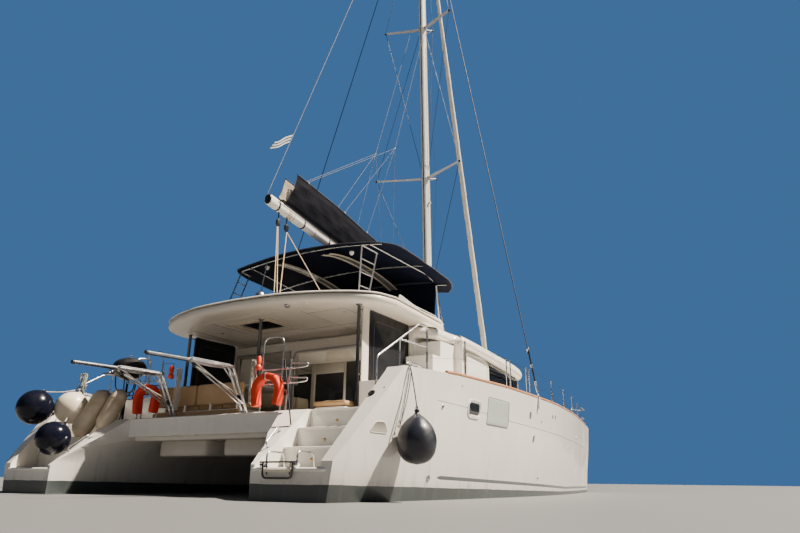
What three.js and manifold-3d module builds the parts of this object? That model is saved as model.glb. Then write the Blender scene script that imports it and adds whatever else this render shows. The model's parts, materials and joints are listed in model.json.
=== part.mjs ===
// A flybridge sailing catamaran, about 14 m long, afloat with its sail stowed on the boom.
// Millimetres. X forward to the bows, Y to port, Z up from the waterline, origin amidships on the centreline.
import * as THREE from "three";
import { mergeVertices } from "three/addons/utils/BufferGeometryUtils.js";
import Module from "manifold-3d";

const wasm = await Module();
wasm.setup();

// Driving dimensions
const BOW_X = 6980; // stems
const STERN_X = -6980; // aft edge of the swim platforms
const DECK_Z = 1800; // side decks and foredeck
const SOLE_Z = 1220; // cockpit and saloon sole
const PLATFORM_Z = 400; // swim platforms
const TUNNEL_Z = 860; // underside of the bridge deck
const DRAFT = 1300; // tips of the keels
const INNER_Y = 1680; // inboard face of each hull at the bridge deck
const BEAM_X = -5960; // aft end of the bridge deck
const BULKHEAD_X = -3100; // aft bulkhead of the saloon
const SALOON_Y = 2850; // outside of the saloon's side walls
const PASSAGE_Y = 2300; // cockpit side and inner side of the flybridge steps
const WALL = 60; // saloon wall thickness
const ROOF_Z = 3050; // underside of the hardtop
const ROOF_THICK = 220;
const MAST_FOOT = { x: 1977, z: DECK_Z }; // on the foredeck, just forward of the saloon windows
const MAST_RAKE = -0.035; // x per unit of height
const MAST_TOP_Z = 20600;
const HOUNDS_Z = 20150;
const GOOSENECK_Z = 4620;
const BOOM_LENGTH = 6480;
const BOOM_RISE = 0.13; // z per unit of length, aft
const SEAT = 0.3; // gap that touching pieces keep

const MATERIALS = {
  gelcoat: { color: 0xe9e6de, roughness: 0.3, metalness: 0 },
  liner: { color: 0xe4dfd2, roughness: 0.45, metalness: 0 },
  glass: { color: 0x1b2226, roughness: 0.08, metalness: 0 },
  steel: { color: 0xb9bcbd, roughness: 0.18, metalness: 1 },
  alloy: { color: 0xd9d9d4, roughness: 0.4, metalness: 0.2 },
  navy: { color: 0x151b28, roughness: 0.9, metalness: 0 },
  tan: { color: 0xb08b5a, roughness: 0.8, metalness: 0 },
  sailcloth: { color: 0xdedbd2, roughness: 0.85, metalness: 0 },
  netting: { color: 0x2a2d30, roughness: 0.9, metalness: 0 },
  antifouling: { color: 0x2c3942, roughness: 0.8, metalness: 0 },
  bronze: { color: 0x8c6a3a, roughness: 0.4, metalness: 1 },
  engine: { color: 0x7d8a8c, roughness: 0.6, metalness: 0.3 },
  fender: { color: 0x1c2230, roughness: 0.45, metalness: 0 },
  buoy: { color: 0xd9441c, roughness: 0.6, metalness: 0 },
  black: { color: 0x17181a, roughness: 0.4, metalness: 0.2 },
};

const point = (x, y, z) => new THREE.Vector3(x, y, z);

// A closed geometry as a solid. A skin that is wound inwards is turned round.
function solid(geometry) {
  const bare = new THREE.BufferGeometry();
  bare.setAttribute("position", geometry.getAttribute("position").clone());
  if (geometry.index) bare.setIndex(geometry.index.clone());
  const merged = mergeVertices(bare, 1e-3);
  const vertProperties = Float32Array.from(merged.attributes.position.array);
  const corners = merged.index.array;
  const kept = [];
  for (let i = 0; i < corners.length; i += 3) {
    const [a, b, c] = [corners[i], corners[i + 1], corners[i + 2]];
    if (a !== b && b !== c && c !== a) kept.push(a, b, c);
  }
  const build = (list) =>
    new wasm.Manifold(new wasm.Mesh({ numProp: 3, vertProperties, triVerts: Uint32Array.from(list) }));
  const made = build(kept);
  return made.volume() < 0 ? build(kept.reverse()) : made;
}

function geometryOf(made) {
  const mesh = made.getMesh();
  const geometry = new THREE.BufferGeometry();
  const places = new Float32Array(mesh.numVert * 3);
  for (let i = 0; i < mesh.numVert; i++) {
    places.set(mesh.vertProperties.subarray(i * mesh.numProp, i * mesh.numProp + 3), i * 3);
  }
  geometry.setAttribute("position", new THREE.BufferAttribute(places, 3));
  geometry.setIndex(new THREE.BufferAttribute(mesh.triVerts, 1));
  geometry.computeVertexNormals();
  return geometry;
}

const join = (...pieces) => pieces.reduce((sum, piece) => sum.add(piece));
const cut = (base, ...tools) => tools.reduce((left, tool) => left.subtract(tool), base);

function box([x0, x1], [y0, y1], [z0, z1]) {
  const geometry = new THREE.BoxGeometry(x1 - x0, y1 - y0, z1 - z0);
  geometry.translate((x0 + x1) / 2, (y0 + y1) / 2, (z0 + z1) / 2);
  return solid(geometry);
}

// Bases that lay a flat outline in a plane of the boat and send its depth along the third axis
const BASES = {
  x: [point(0, 1, 0), point(0, 0, 1), point(1, 0, 0)],
  y: [point(0, 0, 1), point(1, 0, 0), point(0, 1, 0)],
  z: [point(1, 0, 0), point(0, 1, 0), point(0, 0, 1)],
};

// An outline pushed along an axis: (y, z) along x, (z, x) along y or (x, y) along z
function prism(outline, axis, [from, to], bevel = 0) {
  const shape = new THREE.Shape(outline.map(([a, b]) => new THREE.Vector2(a, b)));
  const geometry = new THREE.ExtrudeGeometry(shape, {
    depth: to - from - 2 * bevel,
    bevelEnabled: bevel > 0,
    bevelThickness: bevel,
    bevelSize: bevel,
    bevelOffset: -bevel,
    bevelSegments: 2,
  });
  geometry.translate(0, 0, from + bevel);
  geometry.applyMatrix4(new THREE.Matrix4().makeBasis(...BASES[axis]));
  return solid(geometry);
}

// A closed skin through rings of equal count, capped flat at both ends
function skin(rings) {
  const count = rings[0].length;
  const places = rings.flat().flatMap((p) => [p.x, p.y, p.z]);
  const faces = [];
  for (let i = 0; i + 1 < rings.length; i++) {
    for (let j = 0; j < count; j++) {
      const k = (j + 1) % count;
      const [a, b, c, d] = [i * count + j, (i + 1) * count + j, (i + 1) * count + k, i * count + k];
      faces.push(a, b, c, a, c, d);
    }
  }
  faces.push(...capFaces(rings[0], 0, false));
  faces.push(...capFaces(rings[rings.length - 1], (rings.length - 1) * count, true));
  const geometry = new THREE.BufferGeometry();
  geometry.setAttribute("position", new THREE.Float32BufferAttribute(places, 3));
  geometry.setIndex(faces);
  return solid(geometry);
}

function capFaces(ring, first, reversed) {
  const normal = point(0, 0, 0);
  ring.forEach((p, i) => normal.add(new THREE.Vector3().crossVectors(p, ring[(i + 1) % ring.length])));
  const size = [Math.abs(normal.x), Math.abs(normal.y), Math.abs(normal.z)];
  const drop = size.indexOf(Math.max(...size));
  const flat = ring.map((p) => new THREE.Vector2(...p.toArray().filter((_, axis) => axis !== drop)));
  const turn = Math.sign(THREE.ShapeUtils.area(flat));
  return THREE.ShapeUtils.triangulateShape(flat, []).flatMap((face) => {
    const along = Math.sign(THREE.ShapeUtils.area(face.map((i) => flat[i]))) === turn;
    const [a, b, c] = along !== reversed ? face : [face[0], face[2], face[1]];
    return [first + a, first + b, first + c];
  });
}

// The same route with each inner corner rounded
function rounded(route, radius, steps = 3) {
  const out = [route[0]];
  for (let i = 1; i + 1 < route.length; i++) {
    const [before, corner, after] = [route[i - 1], route[i], route[i + 1]];
    const back = before.clone().sub(corner);
    const on = after.clone().sub(corner);
    const reach = Math.min(radius, back.length() / 2.1, on.length() / 2.1);
    const start = corner.clone().addScaledVector(back.normalize(), reach);
    const end = corner.clone().addScaledVector(on.normalize(), reach);
    out.push(...new THREE.QuadraticBezierCurve3(start, corner, end).getPoints(steps));
  }
  return [...out, route[route.length - 1]];
}

// A round bar along a route of points
function pipe(route, radius, sides = 6) {
  const rings = [];
  let side = null;
  for (let i = 0; i < route.length; i++) {
    const ahead = route[Math.min(i + 1, route.length - 1)].clone().sub(route[Math.max(i - 1, 0)]).normalize();
    if (!side) side = Math.abs(ahead.z) > 0.9 ? point(1, 0, 0) : point(0, 0, 1);
    side = side.clone().addScaledVector(ahead, -side.dot(ahead)).normalize();
    const other = new THREE.Vector3().crossVectors(ahead, side);
    const ring = [];
    for (let j = 0; j < sides; j++) {
      const angle = (2 * Math.PI * j) / sides;
      ring.push(
        route[i]
          .clone()
          .addScaledVector(side, radius * Math.cos(angle))
          .addScaledVector(other, radius * Math.sin(angle)),
      );
    }
    rings.push(ring);
  }
  return skin(rings);
}

// A round plug of a radius that changes along its axis, its profile given as [radius, height] pairs
function turned(profile, sides, place, axis = point(0, 0, 1)) {
  const outline = profile.map(([radius, height]) => new THREE.Vector2(radius, height));
  const geometry = new THREE.LatheGeometry(outline, sides);
  geometry.rotateX(Math.PI / 2);
  geometry.applyQuaternion(new THREE.Quaternion().setFromUnitVectors(point(0, 0, 1), axis.clone().normalize()));
  geometry.translate(place.x, place.y, place.z);
  return solid(geometry);
}

function ball(place, radius, sides = 14) {
  const geometry = new THREE.SphereGeometry(radius, sides, Math.round(sides * 0.6));
  geometry.translate(place.x, place.y, place.z);
  return solid(geometry);
}

const mix = (a, b, t) => a + (b - a) * t;

// HULL
// Columns: x, half breadths of the sheer, waterline out, waterline in and deck in, then sheer height and bottom
const STATIONS = [
  [STERN_X, 3580, 3330, 2130, 2060, 1690, -110],
  [-6450, 3690, 3420, 2060, 1880, 1710, -200],
  [BEAM_X, 3770, 3500, 1990, INNER_Y, 1730, -290],
  [-4500, 3900, 3600, 1930, INNER_Y, 1790, -450],
  [-2500, 3925, 3640, 1900, INNER_Y, 1840, -560],
  [0, 3870, 3580, 1930, INNER_Y, 1860, -600],
  [2400, 3620, 3360, 2020, INNER_Y, 1875, -560],
  [3900, 3390, 3150, 2130, 1800, 1880, -500],
  [5300, 3140, 2920, 2310, 2150, 1875, -420],
  [6400, 2960, 2740, 2510, 2400, 1850, -330],
  [6850, 2870, 2665, 2600, 2510, 1815, -270],
  [BOW_X, 2780, 2645, 2630, 2580, 1780, -240],
];
const KNUCKLE_Z = 1290;
const TOE_WIDTH = 60;

// Places of the sections that the skin runs through
const SECTION_X = [
  STERN_X, -6450, BEAM_X, -5200, -4500, -3500, -2500, -1250, 0, 800, 1600, 2400, 2900, 3400, 3900, 4400, 4900, 5300,
  5850, 6400, 6650, 6850, BOW_X,
];

// A column of the station table as a smooth curve that never overshoots its points
function fair(x, column) {
  const i = Math.max(1, STATIONS.findIndex((station) => station[0] >= x));
  const at = (k) => STATIONS[Math.min(Math.max(k, 0), STATIONS.length - 1)];
  const slope = (k) => (at(k + 1)[column] - at(k)[column]) / (at(k + 1)[0] - at(k)[0] || 1);
  const tangent = (k) => {
    const [before, after] = [slope(k - 1), slope(k)];
    return before * after <= 0 ? 0 : (2 * before * after) / (before + after);
  };
  const [a, b] = [at(i - 1), at(i)];
  const run = b[0] - a[0];
  const t = (x - a[0]) / run;
  const [rest, turn] = [t * t * (3 - 2 * t), t * (1 - t)];
  return mix(a[column], b[column], rest) + run * turn * (tangent(i - 1) * (1 - t) - tangent(i) * t);
}
const SECTIONS = SECTION_X.map((x) => [x, ...[1, 2, 3, 4, 5, 6].map((column) => fair(x, column))]);

// The sections on each side of a place, and how far it lies between them
function between(x) {
  const i = Math.max(1, SECTION_X.findIndex((place) => place >= x));
  const [a, b] = [SECTIONS[i - 1], SECTIONS[i]];
  return [a, b, (x - a[0]) / (b[0] - a[0])];
}

// One section: down the outboard side, round the bilges, up the inboard side and across the deck
function hullSection([x, sheerOut, waterOut, waterIn, deckIn, sheerZ, bottomZ]) {
  const deckZ = Math.min(DECK_Z, sheerZ - 5);
  const knuckleOut = mix(waterOut, sheerOut, 0.8);
  const middle = (waterOut + waterIn) / 2;
  const half = (waterOut - waterIn) / 2;
  const ring = [
    [sheerOut, sheerZ],
    [knuckleOut, KNUCKLE_Z],
    [mix(waterOut, sheerOut, 0.35), 560],
  ];
  for (let i = 0; i <= 8; i++) {
    const angle = (Math.PI * i) / 8;
    ring.push([middle + half * Math.cos(angle), bottomZ * Math.sin(angle) ** 0.8]);
  }
  ring.push([mix(waterIn, deckIn, 0.12), 480]);
  ring.push([mix(waterIn, deckIn, 0.55), 730]);
  ring.push([deckIn, TUNNEL_Z]);
  ring.push([deckIn, deckZ]);
  const toe = Math.min(TOE_WIDTH, (sheerOut - deckIn) / 4);
  ring.push([sheerOut - toe - 2, deckZ]);
  ring.push([sheerOut - toe, sheerZ]);
  return ring.map(([y, z]) => point(x, y, z));
}

// Stern steps between an outer and an inner wing
const WING_OUT = [[-5940, 1740], [STERN_X, 400]]; // top line of the outer wing as [x, z]
const WING_IN = [[-5960, SOLE_Z], [STERN_X, 390]];
const OUTER_WING_Y = [3230, 3560]; // inner face of the outer wing, at the platform and at the top
const INNER_WING_Y = 2190; // outboard face of the inner wing
const STEP_COUNT = 3;
const STEP_RUN = 270;
const STEP_FIRST_X = -6430;
const LANDING_X = -4750; // forward end of the landing over the engine

// The part of the hull's upper side that a sloping line leaves standing is below it
const above = (line, y) =>
  prism(
    [
      [line[0][1], line[0][0]],
      [line[1][1], line[1][0] - 60],
      [3000, line[1][0] - 60],
      [3000, line[0][0]],
    ],
    "y",
    y,
  );

function stairwell() {
  const profile = [[PLATFORM_Z, STERN_X - 200]];
  for (let i = 0; i < STEP_COUNT; i++) {
    const [low, high] = [i, i + 1].map((n) => mix(PLATFORM_Z, SOLE_Z, n / STEP_COUNT));
    const x = STEP_FIRST_X + i * STEP_RUN;
    profile.push([low, x], [high, x]);
  }
  profile.push([SOLE_Z, LANDING_X], [3000, LANDING_X], [3000, STERN_X - 200]);
  const outer = (x0, x1, y0, y1) =>
    prism([[x0, INNER_WING_Y], [x1, INNER_WING_Y], [x1, y1], [x0, y0]], "z", [0, 4000]);
  const well = prism(profile, "y", [INNER_WING_Y, 3600]);
  return well.intersect(
    join(
      outer(STERN_X - 300, -6000, OUTER_WING_Y[0] - 80, OUTER_WING_Y[1] - 60),
      outer(-6001, LANDING_X + 10, OUTER_WING_Y[1] - 60, OUTER_WING_Y[1]),
    ),
  );
}

const BAY = { x: [-5600, -4150], y: [2360, 3160], z: [100, 1080] };
const HATCH = { x: [-5560, -4860], y: [2400, 3120], thick: 45 };
const HATCH_GAP = 6;
const RUDDER = { x: -5960, y: 2760, stock: 28, top: -400, tip: -1180, chord: 430 };
const CHAINPLATE = point(-820, 3905, 1870); // foot of the cap shroud
const LEG = { x: -4980, y: 2760, length: 300, width: 110, tip: -1000 };

function hull() {
  const whole = skin(SECTIONS.map(hullSection));
  const interior = [
    box([BEAM_X - 10, BULKHEAD_X + 700], [1000, PASSAGE_Y - 60], [SOLE_Z, 3000]),
    box([BULKHEAD_X + 690, 900], [1000, SALOON_Y - WALL - 40], [SOLE_Z, 3000]),
  ];
  const bay = box(BAY.x, BAY.y, BAY.z);
  const mouth = box(
    [HATCH.x[0] - HATCH_GAP, HATCH.x[1] + HATCH_GAP],
    [HATCH.y[0] - HATCH_GAP, HATCH.y[1] + HATCH_GAP],
    [SOLE_Z - HATCH.thick - SEAT, 3000],
  );
  const shaft = box([HATCH.x[0] + 40, HATCH.x[1] - 40], [HATCH.y[0] + 40, HATCH.y[1] - 40], [BAY.z[1] - 10, 3000]);
  const bore = RUDDER.stock + 3;
  const stockHole = turned([[0, -600], [bore, -600], [bore, SEAT], [0, SEAT]], 16, point(RUDDER.x, RUDDER.y, 0));
  const legHole = box(
    [LEG.x - LEG.length / 2 - 6, LEG.x + LEG.length / 2 + 6],
    [LEG.y - LEG.width / 2 - 6, LEG.y + LEG.width / 2 + 6],
    [-900, 200],
  );
  const strap = box([CHAINPLATE.x - 25, CHAINPLATE.x + 25], [3850, CHAINPLATE.y + 20], [1640, CHAINPLATE.z - 6]);
  return cut(
    join(whole, strap),
    above(WING_OUT, [OUTER_WING_Y[0] - 30, 4200]),
    above(WING_IN, [1400, INNER_WING_Y + 20]),
    stairwell(),
    ...interior,
    bay,
    mouth,
    shaft,
    stockHole,
    legHole,
  );
}

// Stub keel with a lens section, seated under the hull
const KEEL = { x: [-1700, 1500], y: 2760, width: 300, top: -450 };
function keel(hullSolid) {
  const outline = (x0, x1, width) => {
    const ring = [];
    for (let i = 0; i < 16; i++) {
      const angle = (2 * Math.PI * i) / 16;
      ring.push([mix(x0, x1, (1 - Math.cos(angle)) / 2), KEEL.y + (width / 2) * Math.sin(angle)]);
    }
    return ring;
  };
  const rings = [
    [outline(KEEL.x[0], KEEL.x[1], KEEL.width), KEEL.top],
    [outline(KEEL.x[0] + 250, KEEL.x[1] - 180, KEEL.width), -DRAFT + 60],
    [outline(KEEL.x[0] + 300, KEEL.x[1] - 230, KEEL.width - 120), -DRAFT],
  ];
  const blank = skin(rings.map(([ring, z]) => ring.map(([x, y]) => point(x, y, z))));
  return cut(blank, hullSolid.translate([0, 0, -SEAT]));
}

// Diesel block in its bay with the saildrive leg down through the hull
function engine() {
  const block = join(
    box([-4930, -4230], [LEG.y - 260, LEG.y + 260], [BAY.z[0] + SEAT, 640]),
    box([-4860, -4330], [LEG.y - 170, LEG.y + 170], [600, 800]),
  );
  const half = LEG.length / 2;
  const leg = prism(
    [
      [LEG.x - half, LEG.y],
      [LEG.x - half * 0.2, LEG.y - LEG.width / 2],
      [LEG.x + half * 0.7, LEG.y - LEG.width / 2],
      [LEG.x + half, LEG.y],
      [LEG.x + half * 0.7, LEG.y + LEG.width / 2],
      [LEG.x - half * 0.2, LEG.y + LEG.width / 2],
    ],
    "z",
    [LEG.tip, BAY.z[0] + 60],
  );
  const pod = turned(
    [[0, -330], [55, -330], [70, -200], [75, 0], [55, 160], [0, 220]],
    14,
    point(LEG.x + 20, LEG.y, LEG.tip + 230),
    point(1, 0, 0),
  );
  const gearbox = box([LEG.x - half - 30, -4900], [LEG.y - 130, LEG.y + 130], [BAY.z[0] + SEAT, 420]);
  return join(block, gearbox, leg, pod);
}

const PROP = { x: LEG.x - 372 - SEAT, z: LEG.tip + 230, radius: 215 };
function propeller() {
  const hub = turned([[0, -70], [30, -60], [52, -20], [52, 62], [0, 62]], 16, point(0, 0, 0), point(1, 0, 0));
  const blades = [0, 1, 2].map((i) => {
    const blade = new THREE.BoxGeometry(16, 110, PROP.radius - 40);
    blade.translate(0, 0, 40 + (PROP.radius - 40) / 2);
    blade.rotateZ(0.5);
    blade.rotateX((2 * Math.PI * i) / 3);
    return solid(blade);
  });
  return join(hub, ...blades);
}

// Spade rudder about its stock at the local origin
function rudder() {
  const ring = (chord, thick, z) => {
    const lead = chord * 0.3;
    return [
      [lead, 0],
      [lead * 0.6, thick / 2],
      [0, thick / 2],
      [lead - chord, 4],
      [lead - chord, -4],
      [0, -thick / 2],
      [lead * 0.6, -thick / 2],
    ].map(([x, y]) => point(x, y, z));
  };
  const blade = skin([
    ring(RUDDER.chord, 70, RUDDER.top),
    ring(RUDDER.chord, 70, -900),
    ring(RUDDER.chord * 0.75, 50, RUDDER.tip),
  ]);
  const stock = turned([[0, RUDDER.top - 300], [RUDDER.stock, RUDDER.top - 300], [RUDDER.stock, 0], [0, 0]], 16,
    point(0, 0, 0));
  return join(blade, stock);
}

function engineHatch() {
  return box(
    [HATCH.x[0], HATCH.x[1]],
    [HATCH.y[0], HATCH.y[1]],
    [SOLE_Z - HATCH.thick, SOLE_Z],
  );
}

// BRIDGE DECK
const FOREDECK_X = 3800;
function bridgeDeck() {
  const profile = [
    [TUNNEL_Z + 60, BEAM_X],
    [TUNNEL_Z, BEAM_X + 250],
    [TUNNEL_Z, 2700],
    [TUNNEL_Z + 120, 3250],
    [1300, 3640],
    [DECK_Z - 60, FOREDECK_X],
    [DECK_Z, FOREDECK_X - 30],
    [DECK_Z, 1440],
    [SOLE_Z, 1440],
    [SOLE_Z, BEAM_X],
  ];
  return prism(profile, "y", [-INNER_Y + SEAT, INNER_Y - SEAT]);
}

// COCKPIT
// U-shaped bench moulding with its cushions, table
const BENCH = { x: [-5680, -5150], y: 980, top: 1450 };
function cockpitBench() {
  const aft = box(BENCH.x, [-BENCH.y + 400, BENCH.y], [SOLE_Z + SEAT, BENCH.top]);
  const port = box([BENCH.x[0], -3500], [BENCH.y - 10, 1500], [SOLE_Z + SEAT, BENCH.top]);
  const back = box([BENCH.x[0], BENCH.x[0] + 110], [-BENCH.y + 400, 1500], [BENCH.top - 10, 1760]);
  const sideBack = box([BENCH.x[0], -3500], [1400, 1500], [BENCH.top - 10, 1760]);
  return join(aft, port, back, sideBack);
}

function cockpitTable() {
  const top = prism(
    [[-4560, 180], [-3560, 180], [-3560, 930], [-4560, 930]],
    "z",
    [1880, 1920],
  );
  const leg = box([-4120, -4000], [500, 620], [SOLE_Z + SEAT, 1890]);
  return join(top, leg);
}

function cockpitSideSeat() {
  return box([-5000, -3500], [-2150, -1500], [SOLE_Z + SEAT, 1480]);
}

// SALOON
const FRONT = { corner: 900, centre: 1560 };
// Plan of the front windows as [x, y], a quarter arc on each side of a nearly flat middle
function frontCurve(inset, steps = 16) {
  const half = SALOON_Y - inset;
  const out = [];
  for (let i = 0; i <= steps; i++) {
    const angle = (Math.PI * i) / steps - Math.PI / 2;
    const reach = FRONT.centre - FRONT.corner - inset;
    out.push([
      FRONT.corner + reach * Math.cos(angle) ** 0.7,
      half * Math.sign(Math.sin(angle)) * Math.abs(Math.sin(angle)) ** 0.8,
    ]);
  }
  return out;
}

function frontBand(inset, thick, z) {
  return prism([...frontCurve(inset), ...frontCurve(inset + thick).reverse()], "z", z);
}

// Roof of the saloon: flat over most of its plan, drooping to a visor at the sides and the front
const COACH = { aft: BULKHEAD_X, side: 2990, visor: 260, thick: 90, topZ: ROOF_Z - SEAT };
function coachTop(x, y) {
  const side = Math.max(0, (Math.abs(y) - 2000) / 990);
  const front = Math.max(0, (x - 300) / 1500);
  return COACH.topZ - 250 * side ** 1.6 - 320 * front ** 1.8;
}

function coachSlab(drop, thick) {
  const columns = [];
  const plan = frontCurve(SALOON_Y - COACH.side, 24).map(([x, y]) => [x + 60, y]);
  const rows = 7;
  for (const [x, y] of plan) {
    const line = [];
    for (let i = 0; i <= rows; i++) line.push([mix(COACH.aft, x, i / rows), y]);
    columns.push(line);
  }
  const places = [];
  const id = (layer, c, r) => (layer * plan.length + c) * (rows + 1) + r;
  for (const layer of [0, 1]) {
    for (const line of columns) {
      for (const [x, y] of line) {
        places.push(x, y, coachTop(x, y) - drop + (layer ? 0 : -thick));
      }
    }
  }
  const faces = [];
  const quad = (a, b, c, d) => faces.push(a, b, c, a, c, d);
  const turnedQuad = (a, b, c, d) => faces.push(a, b, d, b, c, d);
  for (let c = 0; c + 1 < plan.length; c++) {
    const face = c < (plan.length - 1) / 2 ? quad : turnedQuad;
    for (let r = 0; r < rows; r++) {
      face(id(1, c, r), id(1, c, r + 1), id(1, c + 1, r + 1), id(1, c + 1, r));
      face(id(0, c, r), id(0, c + 1, r), id(0, c + 1, r + 1), id(0, c, r + 1));
    }
    quad(id(0, c, rows), id(0, c + 1, rows), id(1, c + 1, rows), id(1, c, rows));
    quad(id(0, c, 0), id(1, c, 0), id(1, c + 1, 0), id(0, c + 1, 0));
  }
  for (const c of [0, plan.length - 1]) {
    for (let r = 0; r < rows; r++) {
      const corners = [id(0, c, r), id(0, c, r + 1), id(1, c, r + 1), id(1, c, r)];
      quad(...(c === 0 ? corners : corners.reverse()));
    }
  }
  const geometry = new THREE.BufferGeometry();
  geometry.setAttribute("position", new THREE.Float32BufferAttribute(places, 3));
  geometry.setIndex(faces);
  return solid(geometry);
}

const WINDOW_Z = [2060, 2560];
function saloonFront(overRoof) {
  const wall = frontBand(0, WALL, [DECK_Z + SEAT, ROOF_Z]);
  const gaps = [-62, -38, -13, 13, 38].map((start) => [start, start + 23]);
  const lights = gaps.map(([from, to]) => {
    const edge = (degrees) => [
      -200 + 3500 * Math.cos((degrees * Math.PI) / 180),
      4600 * Math.sin((degrees * Math.PI) / 180),
    ];
    return prism([[-200, 0], edge(from), edge((from + to) / 2), edge(to)], "z", WINDOW_Z);
  });
  return cut(wall, ...lights, overRoof);
}

function saloonFrontGlass() {
  return frontBand(WALL + SEAT, 12, [WINDOW_Z[0] - 30, WINDOW_Z[1] + 30]);
}

// Side wall: out round the flybridge steps, then forward to the front windows
function saloonSide(overRoof) {
  const stepX = BULKHEAD_X + 700;
  const plan = [
    [BULKHEAD_X, PASSAGE_Y - WALL],
    [stepX + WALL, PASSAGE_Y - WALL],
    [stepX + WALL, SALOON_Y - WALL],
    [FRONT.corner - SEAT, SALOON_Y - WALL],
    [FRONT.corner - SEAT, SALOON_Y],
    [stepX, SALOON_Y],
    [stepX, PASSAGE_Y],
    [BULKHEAD_X, PASSAGE_Y],
  ];
  const wall = prism(plan, "z", [DECK_Z + SEAT, ROOF_Z - SEAT]);
  const light = box([-880, 620], [SALOON_Y - 200, SALOON_Y + 200], WINDOW_Z);
  const treads = [0, 1, 2].map((i) =>
    box([-3650 + 300 * i, stepX + 10], [PASSAGE_Y - 1, SALOON_Y], [DECK_Z + SEAT, DECK_Z + 300 * (i + 1)]),
  );
  return cut(join(wall, ...treads), light, overRoof);
}

function saloonSideGlass() {
  return box([-920, 660], [SALOON_Y - WALL - SEAT - 12, SALOON_Y - WALL - SEAT], [WINDOW_Z[0] - 30, WINDOW_Z[1] + 30]);
}

// Aft bulkhead with the doorway and a window on each side
const DOORWAY = { y: [-1190, 520], top: 2780 };
const PORT_LIGHT = { y: [640, 2080], z: [1500, 2780] };
const STARBOARD_LIGHT = { y: [-2080, -1420], z: [1500, 2780] };
// Sliding leaf, drawn at rest with the doorway open, hung under a track on the bulkhead's inner face
const DOOR = { x: BULKHEAD_X + WALL + 25, y: 490, width: 1740, thick: 35, z: [SOLE_Z + 45, 2760] };
function bulkhead(overRoof) {
  const half = PASSAGE_Y - WALL - SEAT;
  const wall = box([BULKHEAD_X, BULKHEAD_X + WALL], [-half, half], [SOLE_Z + SEAT, ROOF_Z - SEAT]);
  const through = [BULKHEAD_X - 100, BULKHEAD_X + WALL + 100];
  const track = box(
    [BULKHEAD_X + WALL - 10, DOOR.x + DOOR.thick + 10],
    [DOORWAY.y[0] - 30, DOOR.y + DOOR.width],
    [DOOR.z[1] + SEAT, DOOR.z[1] + 35],
  );
  return cut(
    wall,
    box(through, DOORWAY.y, [SOLE_Z + 40, DOORWAY.top]),
    box(through, PORT_LIGHT.y, PORT_LIGHT.z),
    box(through, STARBOARD_LIGHT.y, STARBOARD_LIGHT.z),
    overRoof,
  ).add(track);
}

const pane = (x, light, lap) =>
  box([x, x + 12], [light.y[0] - lap, light.y[1] + lap], [light.z[0] - lap, light.z[1] + lap]);


// HARDTOP AND FLYBRIDGE
const curved = (places, steps) =>
  new THREE.SplineCurve(places.map(([x, y]) => new THREE.Vector2(x, y))).getPoints(steps).map((p) => [p.x, p.y]);
const ROOF_PLAN = [
  ...curved([[-5500, 0], [-5440, 900], [-5260, 1600], [-4980, 2200], [-4680, 2510], [-4250, 2640]], 14),
  ...curved([[-2330, 2510], [-2110, 2450], [-2020, 2250], [-2120, 2010]], 6),
  ...curved([[-700, 1900], [-420, 1700], [-360, 900]], 5),
  [-350, 0],
];
const SKYLIGHT = { x: [-4620, -4010], y: [-60, 700] };
const bothSides = (half) => [
  ...half,
  ...half
    .slice()
    .reverse()
    .filter(([, y]) => y > 0)
    .map(([x, y]) => [x, -y]),
];

function hardtop() {
  const slab = prism(bothSides(ROOF_PLAN), "z", [ROOF_Z, ROOF_Z + ROOF_THICK], 70);
  return cut(slab, box(SKYLIGHT.x, SKYLIGHT.y, [2000, 4000]));
}

const FLY_Z = ROOF_Z + ROOF_THICK;
const COAMING = { x: [-3150, -480], y: 1780, thick: 90, height: 430 };
function coaming() {
  const { x, y, thick, height } = COAMING;
  const outer = [
    [x[0], -y],
    [x[1] - 380, -y],
    [x[1], -y + 430],
    [x[1], y - 430],
    [x[1] - 380, y],
    [x[0], y],
    [x[0], y - thick],
    [x[1] - 420, y - thick],
    [x[1] - thick, y - 470],
    [x[1] - thick, -y + 470],
    [x[1] - 420, -y + thick],
    [x[0], -y + thick],
  ];
  return prism(outer, "z", [FLY_Z + SEAT, FLY_Z + height]);
}

const WHEEL = { x: -1085, y: -900, z: FLY_Z + 640, radius: 330, shaft: 79 };
function helmConsole() {
  const profile = [
    [FLY_Z + SEAT, -1000],
    [FLY_Z + SEAT, -640],
    [FLY_Z + 900, -640],
    [FLY_Z + 980, -760],
    [FLY_Z + 820, -960],
    [FLY_Z + 500, -1000],
  ];
  const boss = turned([[0, 0], [50, 0], [50, 60], [0, 60]], 16, point(WHEEL.x + WHEEL.shaft + SEAT, WHEEL.y, WHEEL.z),
    point(1, 0, 0));
  return join(prism(profile, "y", [-1350, -450]), boss);
}

function steeringWheel() {
  const rim = new THREE.TorusGeometry(WHEEL.radius, 16, 8, 24);
  rim.rotateY(Math.PI / 2);
  const spokes = [0, 1, 2].map((i) => {
    const spoke = new THREE.BoxGeometry(14, 26, WHEEL.radius - 6);
    spoke.translate(0, 0, (WHEEL.radius - 6) / 2);
    spoke.rotateX((2 * Math.PI * i) / 3);
    return solid(spoke);
  });
  const hub = turned(
    [[0, -20], [45, -20], [45, 20], [18, 24], [18, WHEEL.shaft], [0, WHEEL.shaft]],
    16,
    point(0, 0, 0),
    point(1, 0, 0),
  );
  return join(solid(rim), hub, ...spokes);
}

function flybridgeSeats() {
  const y = COAMING.y - COAMING.thick - 5;
  const z = [FLY_Z + SEAT, FLY_Z + 400];
  return join(
    box([-3850, -3050], [-1270, 1270], z),
    box([-3060, -1700], [y - 620, y], z),
  );
}

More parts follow.
